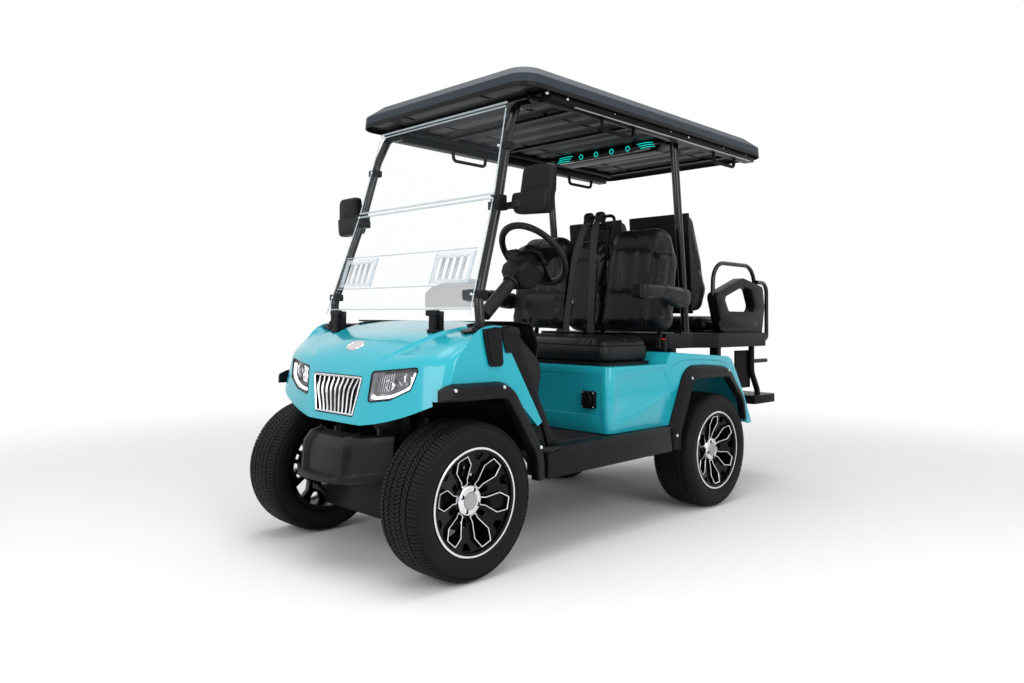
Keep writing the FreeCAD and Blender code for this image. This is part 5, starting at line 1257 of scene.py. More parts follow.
def makeGrille(settings, corners):
    outer = roundedOutline(corners, 0.014)
    line = [onNose(u, v, 0.002) for u, v in shrunk(outer, 0.0075)]
    form = bmesh.new()
    addSweep(form, line, bar(settings["frameWidth"], 0.012, 0.003), closed=True, up=Vector((0, -1, 0)))
    low, high = corners[1][1] + 0.010, corners[0][1] - 0.010
    for i in range(settings["bars"]):
        share = (i + 1) / (settings["bars"] + 1) * 2 - 1
        path = []
        for k in range(13):
            height = k / 12
            z = low + (high - low) * height
            x = share * (0.131 + 0.040 * height)
            bulge = 0.004 - 0.008 * step(0, 0.62, height) + 0.013 * step(0.64, 1, height)
            path.append(onNose(x, z, bulge + 0.004))
        half = settings["barWidth"] / 2
        section = [(-half, -0.006), (half, -0.006), (half, 0.002), (half * 0.6, 0.006), (0, 0.0075),
                   (-half * 0.6, 0.006), (-half, 0.002)]
        addSweep(form, path, section, up=Vector((0, -1, 0)))
    backing = shrunk(outer, 0.002)
    addPatch(form, backing, onNose, settings["backDepth"], settings["backDepth"] + 0.004, slot=1)
    thing = solidFrom("grille", form, shade=40)
    form = bmesh.new()
    addSweep(form, [onNose(u, v, 0.012) for u, v in shrunk(outer, 0.0015)], bar(0.003, 0.026, 0.0008),
             closed=True, up=Vector((0, -1, 0)))
    return thing, solidFrom("grilleSurround", form, shade=40)


# Headlamps: a dark bowl with facets, two projectors, a white strip along the bottom and a clear lens
lamp = {
    "depth": 0.042,
    "trim": 0.005,
    "projectors": ((0.300, 0.700, 0.0195), (0.385, 0.727, 0.0195)),
    "strip": ((0.236, 0.662), (0.238, 0.6515), (0.330, 0.6635), (0.412, 0.7005), (0.428, 0.752)),
}


def makeLamp(settings, corners):
    outline = roundedOutline(corners, 0.016)
    form = bmesh.new()
    middle = Vector((0.335, 0.705))
    rings = []
    for share, depth in ((0.985, 0.0035), (0.955, 0.0045), (0.93, 0.020), (0.86, 0.031),
                         (0.74, settings["depth"])):
        rings.append([onNose(*(middle + (Vector(spot) - middle) * share), depth) for spot in outline])
    made = addGrid(form, rings, closeColumns=True, slot=0)
    form.faces.new(made[-1]).material_index = 0
    for x, z, radius in settings["projectors"]:
        centre = onNose(x, z, 0.030)
        profile = [(0.014, radius * 1.25), (-0.006, radius * 1.25), (-0.010, radius * 1.12),
                   (-0.004, radius * 0.96)]
        addGrid(form, [[centre + Vector((u, back, v)) for u, v in circle(r, 28)] for back, r in profile],
                closeColumns=True, slot=1)
        dome = []
        for k in range(5):
            angle = k * math.pi / 8
            ring = circle(radius * 0.96 * math.cos(angle), 28)
            dome.append([centre + Vector((u, -0.004 - radius * 0.45 * math.sin(angle), v)) for u, v in ring])
        cap = addGrid(form, dome, closeColumns=True, slot=2)
        form.faces.new(cap[-1]).material_index = 2
    for k in range(7):
        x = 0.245 + k * 0.011
        low, high = 0.672 + k * 0.001, 0.735 + k * 0.002
        addSweep(form, [onNose(x - 0.004, low, 0.026), onNose(x + 0.012, high, 0.022)],
                 bar(0.0025, 0.006, 0.0006), up=Vector((0, -1, 0)), slot=1)
    line = smoothLine([(u, v, 0) for u, v in settings["strip"]], 6)
    addSweep(form, [onNose(point.x, point.y, 0.010) for point in line], bar(0.0095, 0.010, 0.002),
             up=Vector((0, -1, 0)), slot=3)
    thing = solidFrom("headlampInsides", form, mirror=True, shade=35)
    form = bmesh.new()
    addPatch(form, shrunk(outline, 0.004), onNose, 0.0005, 0.0022)
    lens = solidFrom("headlampLenses", form, mirror=True, shade=40)
    form = bmesh.new()
    addSweep(form, [onNose(u, v, 0.001) for u, v in shrunk(outline, 0.0022)],
             bar(settings["trim"], 0.007, 0.0015), closed=True, up=Vector((0, -1, 0)))
    return thing, lens, solidFrom("headlampTrims", form, mirror=True, shade=40)


cowl = dressed(makeCowl(nose), "chassis", "body_turquoise", paint["turquoise"])
dressed(makeBadge(nose["badge"]), "chassis", "grille_chrome", paint["badge"])
bars, surround = makeGrille(grille, nose["grilleWindow"])
dressed(bars, "chassis", "grille_chrome", paint["chrome"], paint["dark"])
dressed(surround, "chassis", "trim_black", paint["dark"])
insides, lenses, trims = makeLamp(lamp, nose["lampWindow"])
dressed(insides, "chassis", "trim_black", paint["lampBowl"], paint["chrome"], paint["lens"], paint["led"])
dressed(lenses, "chassis", "lamp_clear", paint["lens"])
dressed(trims, "chassis", "trim_black", paint["trim"])
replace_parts(cowl, "front_cowl")
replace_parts(bars, "grille")
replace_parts(insides, "headlamps")
print("stage: nose made")


# Flares: a bevelled band with a rolled lip, swept along each arch
flare = {
    "foot": 0.5603,
    "tipLength": 0.075,
    "front": ((-1.290, 0.657), (-0.980, 0.655, 0.06), (-0.814, 0.415, 0.18), (-0.808, 0.321)),
    "rear": ((0.195, 0.329), (0.204, 0.415, 0.15), (0.322, 0.661, 0.06), (0.648, 0.661, 0.06),
             (0.792, 0.525, 0.10), (0.815, 0.421)),
    "section": ((0.0, 0.0), (0.0, 0.030), (0.0025, 0.0365), (0.0085, 0.0395), (0.0145, 0.0385), (0.018, 0.0355),
                (0.046, 0.0335), (0.050, 0.0315), (0.060, 0.010), (0.0615, 0.004), (0.0615, 0.0)),
    "bolts": ((-1.236, 0.697), (-0.996, 0.697), (-0.792, 0.45), (0.165, 0.40), (0.300, 0.668), (0.655, 0.693)),
}


def makeFlares(settings):
    form = bmesh.new()
    for corners, widths in ((settings["front"], (1.0, 0.88)), (settings["rear"], (1.12, 0.60))):
        line = roundedPath([(settings["foot"], *corner[:2], *corner[2:]) for corner in corners], 0.05, 8,
                           closed=False)
        dense = [line[0]]
        for here, there in zip(line, line[1:]):
            parts = max(1, round((there - here).length / 0.03))
            dense += [here.lerp(there, k / parts) for k in range(1, parts + 1)]
        lengths = [0.0]
        for here, there in zip(dense, dense[1:]):
            lengths.append(lengths[-1] + (there - here).length)

        def section(i, lengths=lengths, widths=widths, tip=corners is settings["front"]):
            share = lengths[i] / lengths[-1]
            width = widths[0] + (widths[1] - widths[0]) * step(0.45, 0.95, share)
            out = 1.0
            if tip:
                grown = step(-0.035, settings["tipLength"], lengths[i])
                out = 0.12 + 0.88 * grown
                width *= 0.62 + 0.38 * step(-0.02, 0.06, lengths[i])
            return [(-n * width, x * out) for n, x in settings["section"]]

        addSweep(form, dense, section, up=Vector((1, 0, 0)))
    return solidFrom("fenderFlares", form, mirror=True, shade=30)


# Post covers: a tongue over the shoulder of the cowl, with a collar round the post
postCover = {
    "origin": (0.450, 0.800),
    "reach": 0.11,
    # along the shoulder, front edge's y, rear edge's y
    "cover": ((-0.010, -1.082, -0.998), (0.030, -1.094, -0.993), (0.100, -1.076, -0.988),
              (0.186, -1.050, -0.979), (0.194, -1.046, -0.983), (0.199, -1.038, -0.992)),
    "panel": ((0.070, -1.070, -1.006), (0.100, -1.064, -1.002), (0.178, -1.042, -0.992),
              (0.186, -1.034, -1.000)),
    "dashCap": ((-0.060, -0.994, -0.886), (0.060, -0.991, -0.886), (0.120, -0.972, -0.886),
                (0.150, -0.958, -0.886)),
    "lift": 0.012,
    "collar": ((0.034, 0.890), (0.034, 0.914), (0.031, 0.920), (0.0245, 0.923), (0.0235, 0.936),
               (0.0195, 0.937)),
}


def onShoulder(y, along, lift):
    angle = along / postCover["reach"]
    start = Vector((postCover["origin"][0], y, postCover["origin"][1]))
    heading = Vector((math.sin(angle), 0, math.cos(angle)))
    hit, normal = noseTree.ray_cast(start, heading)[:2]
    if hit is None:
        hit, normal = noseTree.find_nearest(start + heading * 0.14)[:2]
    if normal.dot(heading) < 0:
        normal = -normal
    return hit + normal * lift


def postPoint(z):
    # the post's axis at a height near its foot
    return Vector((0.576 - z * math.tan(math.radians(4.16)), -1.0455, z))


def addStrip(form, stations, front, back):
    # a strip that follows the shoulder between two edges
    rings = []
    for first, second in zip(stations, stations[1:]):
        steps = max(1, round((second[0] - first[0]) / 0.008))
        for i in range(steps + (second is stations[-1])):
            along, near, far = (low + (high - low) * i / steps for low, high in zip(first, second))
            places = [near + (far - near) * k / 8 for k in range(9)]
            rings.append([onShoulder(y, along, front) for y in places]
                         + [onShoulder(y, along, back) for y in reversed(places)])
    addLoft(form, rings)


def makePostCovers(settings):
    form = bmesh.new()
    lift = settings["lift"]
    addStrip(form, settings["cover"], lift, 0.002)
    addStrip(form, settings["panel"], lift + 0.0025, lift - 0.002)
    addStrip(form, settings["dashCap"], 0.008, 0.002)
    addLoft(form, [[postPoint(z) + Vector((u, v, 0)) for u, v in circle(radius, 28)]
                   for radius, z in settings["collar"]])
    thing = solidFrom("postCovers", form, mirror=True, shade=30)
    return rounded(thing, 0.0025, 2, 50)


# Floor: the CAD shell with a ribbed mat
floorMat = {
    "low": (-0.535, -0.640),
    "high": (0.535, -0.335),
    "level": 0.440,
    "ribs": 17,
    "ribPitch": 0.0175,
}


def makeMat(settings):
    low, high, level = settings["low"], settings["high"], settings["level"]
    form = bmesh.new()
    addPlate(form, rectangle(low, high, 0.03),
             lambda u, v, layer: (u, v, level + (0.005 if layer == 0 else -0.001)))
    thing = rounded(solidFrom("floorMat", form), 0.002, 2, 50)
    form = bmesh.new()
    section = [(-0.004, -0.001), (0.004, -0.001), (0.004, 0.0015), (0.002, 0.003), (-0.002, 0.003),
               (-0.004, 0.0015)]
    start = low[1] + 0.014
    addSweep(form, [Vector((x, start, level + 0.005)) for x in (low[0] + 0.03, high[0] - 0.03)], section,
             up=Vector((0, 0, 1)))
    rib = solidFrom("matRib", form)
    ribs = rowTree.used("floorMatRibs", pointMesh("floorMatRibs"), Piece=rib, Copies=settings["ribs"],
                        Pitch=(0, settings["ribPitch"], 0), Finish=paint["mat"])
    removed(rib)
    return thing, smooth(ribs, 30)


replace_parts(dressed(makeFlares(flare), "chassis", "trim_black", paint["trim"]), "fender_flares")
boltX = flare["foot"] + 0.0335
boltPlaces = [((side * boltX, y, z), (side, 0, 0)) for y, z in flare["bolts"] for side in (1, -1)]
bolted("flareBolts", "chassis", "grille_chrome", paint["chrome"], boltPlaces, 0.0072, 0.005, 16)
covers = dressed(makePostCovers(postCover), "chassis", "trim_black", paint["trim"])
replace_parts(covers, "post_covers")
bumper = cadCopy("front_bumper", "frontBumper", 0.005, 24, 3)
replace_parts(dressed(bumper, "chassis", "trim_black", paint["bumper"]), "front_bumper")
mat, matRibs = makeMat(floorMat)
dressed(mat, "chassis", "trim_black", paint["mat"])
dressed(matRibs, "chassis", "trim_black")
print("stage: front trim made")


# Windshield: two clear sheets on the line of the front posts,
# with folded bars, a vent plate and a smoked pocket
glass = {
    "low": 0.958,
    "hinge": 1.441,
    "top": 1.845,
    "thickness": 0.005,
    "edge": (0.572, 0.07273),
    "lower": (-1.06945, 1.030, 0.3184),
    "upper": (-0.9409, 1.432, 0.2429),
    "vent": (1.084, 1.230, 0.455),
    "ventGroups": ((-0.440, -0.195), (0.215, 0.460)),
    "slots": 5,
    "slotHeight": 0.082,
    "pocket": ((0.215, 0.996), (0.470, 0.994), (0.492, 1.040), (0.472, 1.108), (0.300, 1.100), (0.222, 1.080),
               (0.190, 1.056)),
    "bottomClamps": (-0.395, 0.300),
    "postClamps": ((1.046, False), (1.430, False), (1.652, True)),
}


def sheetY(z, upper=False):
    # back face of the glass at a height
    start, level, slope = glass["upper" if upper else "lower"]
    return start + (z - level) * slope


def sheetEdge(z):
    return glass["edge"][0] - z * glass["edge"][1]


def addSheet(form, outline, near, far, upper=False, slot=0):
    addPlate(form, outline, lambda u, v, layer: (u, sheetY(v, upper) - (far if layer == 0 else near), v), slot)


def trapeze(low, high, inset=0.0, corner=0.012):
    a, b = sheetEdge(low) - inset, sheetEdge(high) - inset
    return roundedOutline(((-a, low), (a, low), (b, high), (-b, high)), corner, 4)


def addRod(form, left, right, z, ahead, radius, upper=False, slot=0):
    addTube(form, [Vector((x, sheetY(z, upper) - ahead, z)) for x in (left, right)], radius, slot=slot,
            count=10)


def makeGlass(settings):
    form = bmesh.new()
    thick, hinge = settings["thickness"], settings["hinge"]
    addSheet(form, trapeze(settings["low"], hinge - 0.006), 0.0, thick)
    addSheet(form, trapeze(hinge + 0.006, settings["top"], 0.0, 0.03), 0.0, thick, True)
    low, high, half = settings["vent"]
    addSheet(form, roundedOutline(((-half - 0.006, low), (half + 0.006, low), (half, high), (-half, high)),
                                  0.006),
             thick + 0.001, thick + 0.004)
    return solidFrom("windshieldSheets", form, shade=20)


def makeGlassEdges(settings):
    # bright edges of the sheets and the folded bars between them
    form = bmesh.new()
    thick = settings["thickness"]
    hinge, low, top = settings["hinge"], settings["low"], settings["top"]
    for z, upper in ((hinge - 0.009, False), (hinge + 0.009, True), (top - 0.004, True), (0.990, False)):
        half = sheetEdge(z)
        addRod(form, -half, half, z, thick * 0.6, 0.0046 if z > 1 else 0.003, upper)
    half = sheetEdge(top - 0.020) - 0.006
    addRod(form, -half, half, top - 0.020, thick * 0.6, 0.003, True)
    ventLow, ventHigh, half = settings["vent"]
    for z in (ventLow, ventHigh):
        addRod(form, -half, half, z, thick + 0.003, 0.0026)
    for side in (1, -1):
        for start, end, upper in ((low + 0.01, hinge - 0.01, False), (hinge + 0.01, top - 0.03, True)):
            line = [Vector((side * (sheetEdge(z) - 0.001), sheetY(z, upper) - thick * 0.5,
                            z)) for z in (start, end)]
            addTube(form, line, 0.0028, count=8)
    return solidFrom("windshieldEdges", form)


def makeVents(settings):
    # framed groups of upright slots with pointed ends
    low, high = settings["vent"][:2]
    thick = settings["thickness"]
    form = bmesh.new()
    for left, right in settings["ventGroups"]:
        count = settings["slots"]
        pitch = (right - left - 0.03) / count
        middle = (low + high) / 2 - 0.004
        for k in range(count + 1):
            # bars between the slots
            x = left + 0.015 + pitch * k
            w = pitch * 0.22
            tall = settings["slotHeight"] / 2
            outline = [(x - w, middle - tall), (x + w, middle - tall), (x + w, middle + tall),
                       (x - w, middle + tall)]
            addSheet(form, outline, thick + 0.004, thick + 0.008)
        for start, end in ((low + 0.008, middle - settings["slotHeight"] / 2),
                           (middle + settings["slotHeight"] / 2, high - 0.010)):
            teeth = []
            for k in range(count):
                x = left + 0.015 + pitch * (k + 0.5)
                tip = 0.010
                if start > middle:
                    teeth += [(x - pitch * 0.28, start), (x, start + tip), (x + pitch * 0.28, start)]
                else:
                    teeth += [(x - pitch * 0.28, end), (x, end - tip), (x + pitch * 0.28, end)]
            if start > middle:
                outline = [(left, start)] + teeth + [(right, start), (right, end), (left, end)]
            else:
                outline = [(left, start), (right, start), (right, end)] + list(reversed(teeth)) + [(left, end)]
            addSheet(form, outline, thick + 0.004, thick + 0.008)
        for x in (left + 0.004, right - 0.004):
            outline = [(x - 0.004, low + 0.008), (x + 0.004, low + 0.008), (x + 0.004, high - 0.010),
                       (x - 0.004, high - 0.010)]
            addSheet(form, outline, thick + 0.004, thick + 0.0095)
    return solidFrom("windshieldVents", form, shade=20)


def makePocket(settings):
    # a smoked tray behind the glass on the driver's side
    form = bmesh.new()
    levels = ((0.002, 0.0), (0.040, 0.004), (0.070, 0.016), (0.078, 0.034))
    addLoft(form, insetRings(roundedOutline(settings["pocket"], 0.018, 4), levels,
                             lambda u, v, behind: Vector((u, sheetY(v) + behind, v)), Vector((0.34, 1.045))))
    return solidFrom("windshieldPocket", form, shade=40)


def makeClamps(settings):
    form = bmesh.new()
    bolts = []
    for z, upper in settings["postClamps"]:
        y = sheetY(z, upper)
        for side in (1, -1):
            x = side * (sheetEdge(z) + 0.004)
            addBox(form, (x - 0.026, y + 0.0005, z - 0.016), (x + 0.026, y + 0.047, z + 0.016))
            bolts.append(((x - side * 0.012, y - settings["thickness"] - 0.0005, z), (0, -1, 0.3)))
    for x in settings["bottomClamps"]:
        y = sheetY(0.97)
        floor = onHood(x, y - 0.02)[0].z
        addBox(form, (x - 0.024, y - 0.030, floor - 0.003), (x + 0.024, y + 0.030, floor + 0.014))
        addBox(form, (x - 0.034, y - 0.030, 0.962), (x + 0.034, y - 0.0065, 0.986))
        addBox(form, (x - 0.018, y - 0.026, floor + 0.010), (x + 0.018, y - 0.0065, 0.975))
        addBox(form, (x - 0.022, y + 0.002, floor + 0.010), (x + 0.022, y + 0.024, 0.982))
    return rounded(solidFrom("windshieldClamps", form, shade=30), 0.005, 3, 40), bolts


# Mirrors: an upper housing on a stepped lower one, with an inset glass at the back
mirror = {
    "upper": ((0.558, 1.432, 0.018), (0.728, 1.432, 0.018), (0.732, 1.552, 0.034), (0.578, 1.552, 0.030)),
    "lower": ((0.540, 1.366, 0.026), (0.718, 1.358, 0.030), (0.728, 1.450, 0.010), (0.526, 1.450, 0.016),
              (0.520, 1.415, 0.02)),
    "glass": ((0.566, 1.374, 0.018), (0.710, 1.370, 0.018), (0.720, 1.540, 0.020), (0.584, 1.540, 0.020)),
    "front": -0.905,
    "back": -0.858,
    "armZ": 1.401,
}


def addHousing(form, outline, levels):
    addLoft(form, insetRings(roundedOutline(outline, 0.02, 6), levels, lambda u, v, y: Vector((u, y, v))))


def makeMirror(settings):
    front, back = settings["front"], settings["back"]
    form = bmesh.new()
    addHousing(form, settings["upper"], ((front + 0.010, 0.020), (front + 0.012, 0.008), (front + 0.018, 0.002),
                                         (front + 0.026, 0.0), (back - 0.003, 0.0), (back, 0.003)))
    addHousing(form, settings["lower"], ((front, 0.022), (front + 0.002, 0.009), (front + 0.008, 0.002),
                                         (front + 0.015, 0.0), (back - 0.006, 0.0), (back - 0.003, 0.003)))
    z = settings["armZ"]
    arm = roundedPath([(0.497, -0.905, z), (0.540, -0.900, z), (0.600, -0.882, z + 0.004)], 0.03, 6,
                      closed=False)
    addSweep(form, arm, lambda i: [(v * (1.0 + 0.3 * i / 7),
                                    u * (1.0 + 0.5 * i / 7)) for u, v in bar(0.026, 0.024, 0.006)],
             up=Vector((0, 0, 1)))
    clampY = sheetY(z) + 0.0008
    addBox(form, (0.444, clampY, z - 0.016), (0.500, clampY + 0.056, z + 0.016))
    housing = rounded(solidFrom("mirrorHousings", form, mirror=True, shade=35), 0.0025, 2, 50)
    form = bmesh.new()
    addHousing(form, settings["glass"], ((back - 0.004, 0.0), (back + 0.0005, 0.0), (back + 0.0015, 0.002)))
    pane = solidFrom("mirrorGlasses", form, mirror=True, shade=35)
    return smooth(housing, 35), pane


# Steering wheel, in its own plane: u across, v up the wheel, w along the column to the driver
wheel = {
    "centre": (0.278, -0.516, 1.244),
    "angle": 42.9,
    "radius": 0.165,
    "grip": (0.0155, 0.0135),
}


def wheelPoint(u, v, w):
    angle = math.radians(wheel["angle"])
    along = Vector((0, math.cos(angle), math.sin(angle)))
    over = Vector((0, -math.sin(angle), math.cos(angle)))
    return Vector(wheel["centre"]) + Vector((u, 0, 0)) + over * v + along * w


def makeWheel(settings):
    form = bmesh.new()
    radius = settings["radius"]
    wide, deep = settings["grip"]
    rings = []
    for k in range(96):
        angle = k * math.tau / 96
        swell = 1 + 0.08 * math.exp(-((math.cos(angle) ** 2 - 0.85) / 0.2) ** 2)
        ring = []
        for j in range(14):
            turn = j * math.tau / 14
            r = radius + wide * swell * math.cos(turn)
            ring.append(wheelPoint(r * math.sin(angle), r * math.cos(angle), deep * swell * math.sin(turn)))
        rings.append(ring)
    addLoft(form, rings, closed=True)
    rim = solidFrom("steeringRim", form)
    form = bmesh.new()
    spokes = (((-0.158, 0.010), (-0.11, 0.012), (-0.060, 0.004), (0.040, 0.046, 0.074)),
              ((0.158, 0.010), (0.11, 0.012), (0.060, 0.004), (0.040, 0.046, 0.074)),
              ((0.0, -0.158), (0.0, -0.110), (0.0, -0.050), (0.040, 0.050, 0.080)))
    spokeSection = ((-1, -0.5), (-0.86, 0.5), (-0.4, 0.85), (0.4, 0.85), (0.86, 0.5), (1, -0.5), (0.7, -1),
                    (-0.7, -1))
    for *path, widths in spokes:
        line = smoothLine([(u, v, -0.004 - 0.016 * (1 - math.hypot(u, v) / 0.165)) for u, v in path], 5)
        rings = []
        for i, point in enumerate(line):
            share = i / (len(line) - 1)
            root, middle, tip = (1 - share) ** 2, 2 * share * (1 - share), share ** 2
            half = (widths[0] * root + widths[1] * middle + widths[2] * tip) / 2 * 1.35
            heading = Vector((point.x, point.y, 0)).normalized()
            side = Vector((-heading.y, heading.x, 0))
            spots = [point + side * half * a + Vector((0, 0, b * 0.007)) for a, b in spokeSection]
            rings.append([wheelPoint(*spot) for spot in spots])
        addLoft(form, rings)
    hub = roundedOutline(((-0.072, -0.062), (0.072, -0.062), (0.088, 0.034), (0.0, 0.058), (-0.088, 0.034)),
                         0.036, 6)
    addLoft(form, [[wheelPoint(u * k, v * k, w) for u, v in hub]
                   for w, k in ((-0.033, 0.70), (-0.030, 0.86), (-0.012, 1.0), (0.004, 0.98), (0.011, 0.86),
                                (0.013, 0.6))])
    centre = solidFrom("steeringHub", form, shade=40)
    return rim, rounded(centre, 0.003, 2, 50)


# Column: a tube up from the dash, a faceted shroud under the wheel and two stalks
def makeColumn():
    form = bmesh.new()
    # the shroud, as rounded boxes along the column
    stations = ((-0.036, 0.050, 0.044), (-0.044, 0.066, 0.056), (-0.075, 0.076, 0.066), (-0.125, 0.078, 0.070),
                (-0.160, 0.064, 0.062), (-0.182, 0.042, 0.044))
    rings = []
    for w, half, tall in stations:
        outline = roundedOutline(((-half, -tall), (half, -tall), (half * 0.92, tall * 0.78),
                                  (-half * 0.92, tall * 0.78)),
                                 0.014, 4)
        rings.append([wheelPoint(u, v - 0.006, w) for u, v in outline])
    addLoft(form, rings)
    shroud = rounded(solidFrom("columnShroud", form, shade=25), 0.003, 2, 30)
    form = bmesh.new()
    tube = [wheelPoint(0, 0, w) for w in (-0.160, -0.30, -0.405)]
    addTube(form, tube, 0.029, count=24)
    addTube(form, [wheelPoint(0, 0, w) for w in (-0.178, -0.200)], 0.036, count=24)
    for side in (1, -1):
        stalk = smoothLine([wheelPoint(side * u, v, w) for u, v, w in
                            ((0.045, -0.004, -0.070), (0.080, -0.004, -0.066), (0.118, 0.0, -0.058))], 4)
        addSweep(form, stalk, lambda i: circle(0.0045 + 0.0045 * step(4, 8, i), 12))
    return shroud, rounded(solidFrom("columnTube", form, shade=40), 0.002, 2, 60)


sheets = dressed(makeGlass(glass), "chassis", "clear_panel", paint["clear"])
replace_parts(sheets, "windshield")
dressed(makeGlassEdges(glass), "chassis", "clear_panel", paint["edge"])
dressed(makeVents(glass), "chassis", "clear_panel", paint["frosted"])
dressed(makePocket(glass), "chassis", "clear_panel", paint["smoked"])
clamps, clampBolts = makeClamps(glass)
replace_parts(dressed(clamps, "chassis", "trim_black", paint["trim"]), "windshield_fittings")
bolted("clampBolts", "chassis", "grille_chrome", paint["chrome"], clampBolts, 0.0062, 0.005, 14)
housing, pane = makeMirror(mirror)
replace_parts(dressed(housing, "chassis", "trim_black", paint["trim"]), "mirrors")
dressed(pane, "chassis", "grille_chrome", paint["mirror"])
rim, centre = makeWheel(wheel)
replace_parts(dressed(rim, "steering_wheel", "trim_black", paint["grip"]), "steering_wheel")
dressed(centre, "steering_wheel", "trim_black", paint["trim"])
shroud, tube = makeColumn()
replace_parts(dressed(shroud, "chassis", "trim_black", paint["trim"]), "steering_column")
dressed(tube, "chassis", "trim_black", paint["bumper"])
print("stage: cabin made")


# Rear body: the CAD shell with shallow panels sunk into the seat box and a ridge over each rear wheel
bodyPanel = {
    "front": ((-0.512, 0.524), (0.512, 0.524), (0.516, 0.706), (-0.516, 0.706)),
    "frontFace": -0.320,
    "side": ((-0.262, 0.522), (-0.170, 0.552), (0.160, 0.610), (0.104, 0.722), (-0.272, 0.698)),
    "sideFace": 0.560,
    "depth": 0.0024,
    "corner": 0.016,
    "ridge": ((0.150, 0.570), (0.148, 0.690), (0.190, 0.742), (0.300, 0.762), (0.560, 0.752), (0.690, 0.735)),
}


def makeBody(settings):
    thing = cadCopy("rear_body", "rearBody")
    deep = settings["depth"]
    front = roundedOutline(settings["front"], settings["corner"], 4)
    side = roundedOutline(settings["side"], settings["corner"], 4)
    level = settings["frontFace"]
    cutters = [cutterAlong(front, "y", level - 0.02, level + deep)]
    face = settings["sideFace"]
    for sign in (1, -1):
        cutters.append(cutterAlong(side, "x", *sorted((sign * (face - deep), sign * (face + 0.02)))))
    cutBy(thing, cutters)
    thing = rounded(thing, 0.0018, 2, 28)
    form = bmesh.new()
    line = smoothLine([(face - 0.0005, y, z) for y, z in settings["ridge"]], 6)
    addSweep(form, line, [(-0.010, -0.002), (0.010, -0.002), (0.004, 0.0035), (-0.004, 0.0035)],
             up=Vector((1, 0, 0)))
    ridge = solidFrom("fenderRidge", form, mirror=True, shade=45)
    return smooth(thing, 40), ridge


# Charge port: a square frame with a round flap, a hinge and four bright screws
chargePort = {
    "centre": (0.452, -0.338, 0.594),
    "half": 0.038,
    "flap": 0.027,
}


def makePort(settings):
    x, y, z = settings["centre"]
    half = settings["half"]
    form = bmesh.new()
    frameLine = rectangle((x - half, z - half), (x + half, z + half), 0.008)
    addLoft(form, [[Vector((u, w, v)) for u, v in frameLine] for w in (-0.319, y + 0.002)])
    for w0, w1, radius in ((y + 0.004, y - 0.006, settings["flap"]),
                           (y - 0.005, y - 0.009, settings["flap"] * 0.86)):
        addLoft(form, [[Vector((x + u, w, z + v)) for u, v in circle(radius, 32)] for w in (w0, w1)])
    addBox(form, (x - 0.014, y - 0.010, z + settings["flap"] - 0.004), (x + 0.014, y, z + half - 0.003))
    port = rounded(solidFrom("chargePort", form, shade=30), 0.0015, 2, 40)
    reach = half - 0.007
    screws = [((x + a * reach, y + 0.0015, z + b * reach), (0, -1, 0)) for a in (-1, 1) for b in (-1, 1)]
    return port, screws


shell, ridge = makeBody(bodyPanel)
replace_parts(dressed(shell, "chassis", "body_turquoise", paint["turquoise"]), "rear_body")
dressed(ridge, "chassis", "body_turquoise", paint["turquoise"])
port, screws = makePort(chargePort)
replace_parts(dressed(port, "chassis", "trim_black", paint["trim"]), "charge_port")
bolted("portScrews", "chassis", "grille_chrome", paint["chrome"], screws, 0.0036, 0.003, 12)
print("stage: body panels made")


# Padded pieces: a slightly small solid, remeshed, blown up as cloth, then sewn
def puffed(thing, voxel=0.006, cap=0.022, pressure=4.0):
    modified(thing, "REMESH", mode="VOXEL", voxel_size=voxel)
    modified(thing, "SMOOTH", factor=0.5, iterations=6)
    start = [vert.co.copy() for vert in thing.data.vertices]
    cloth = thing.modifiers.new("cloth", "CLOTH")
    cloth.settings.use_pressure = True
    cloth.settings.uniform_pressure_force = pressure
    cloth.settings.effector_weights.gravity = 0
    for number in range(1, 21):
        scene.frame_set(number)
    view = thing.evaluated_get(bpy.context.evaluated_depsgraph_get())
    swollen = [vert.co.copy() for vert in view.data.vertices]
    thing.modifiers.clear()
    scene.frame_set(1)
    for vert, before, after in zip(thing.data.vertices, start, swollen):
        move = after - before
        vert.co = before + move * min(1, cap / max(move.length, 1e-9))
    modified(thing, "SMOOTH", factor=0.5, iterations=2)
    return modified(thing, "SUBSURF", levels=1, render_levels=1)


def nearSeam(spot, line):
    # distance from a flat point to a line of points
    best = 9.0
    for here, there in zip(line, line[1:]):
        run = there - here
        share = min(1, max(0, (spot - here).dot(run) / max(run.length_squared, 1e-12)))
        best = min(best, (spot - here - run * share).length)
    return best


def sewn(thing, seams, flat):
    # sinks a sharp crease and a wide hollow along each seam; flat(point) gives a place on the pattern, or None
    lines = [([Vector(spot) for spot in line], sharp, wide) for line, sharp, wide in seams]
    boxes = [(min(p.x for p in line) - 0.06, max(p.x for p in line) + 0.06, min(p.y for p in line) - 0.06,
              max(p.y for p in line) + 0.06) for line, sharp, wide in lines]
    normals = [normal.vector.copy() for normal in thing.data.vertex_normals]
    for vert, normal in zip(thing.data.vertices, normals):
        spot = flat(vert.co, normal)
        if spot is None:
            continue
        sink = 0.0
        for (line, sharp, wide), (left, right, low, high) in zip(lines, boxes):
            if left < spot.x < right and low < spot.y < high:
                away = nearSeam(spot, line)
                crease, hollow = math.exp(-(away / 0.0038) ** 2), math.exp(-(away / 0.020) ** 2)
                sink = max(sink, sharp * crease + wide * hollow)
        vert.co -= normal * sink
    return thing


def flatLine(corners, radius=0.0, closed=False, steps=5):
    path = roundedPath([(corner[0], corner[1], 0, *corner[2:]) for corner in corners], radius, steps, closed)
    line = [Vector((point.x, point.y)) for point in path]
    return line + line[:1] if closed else line


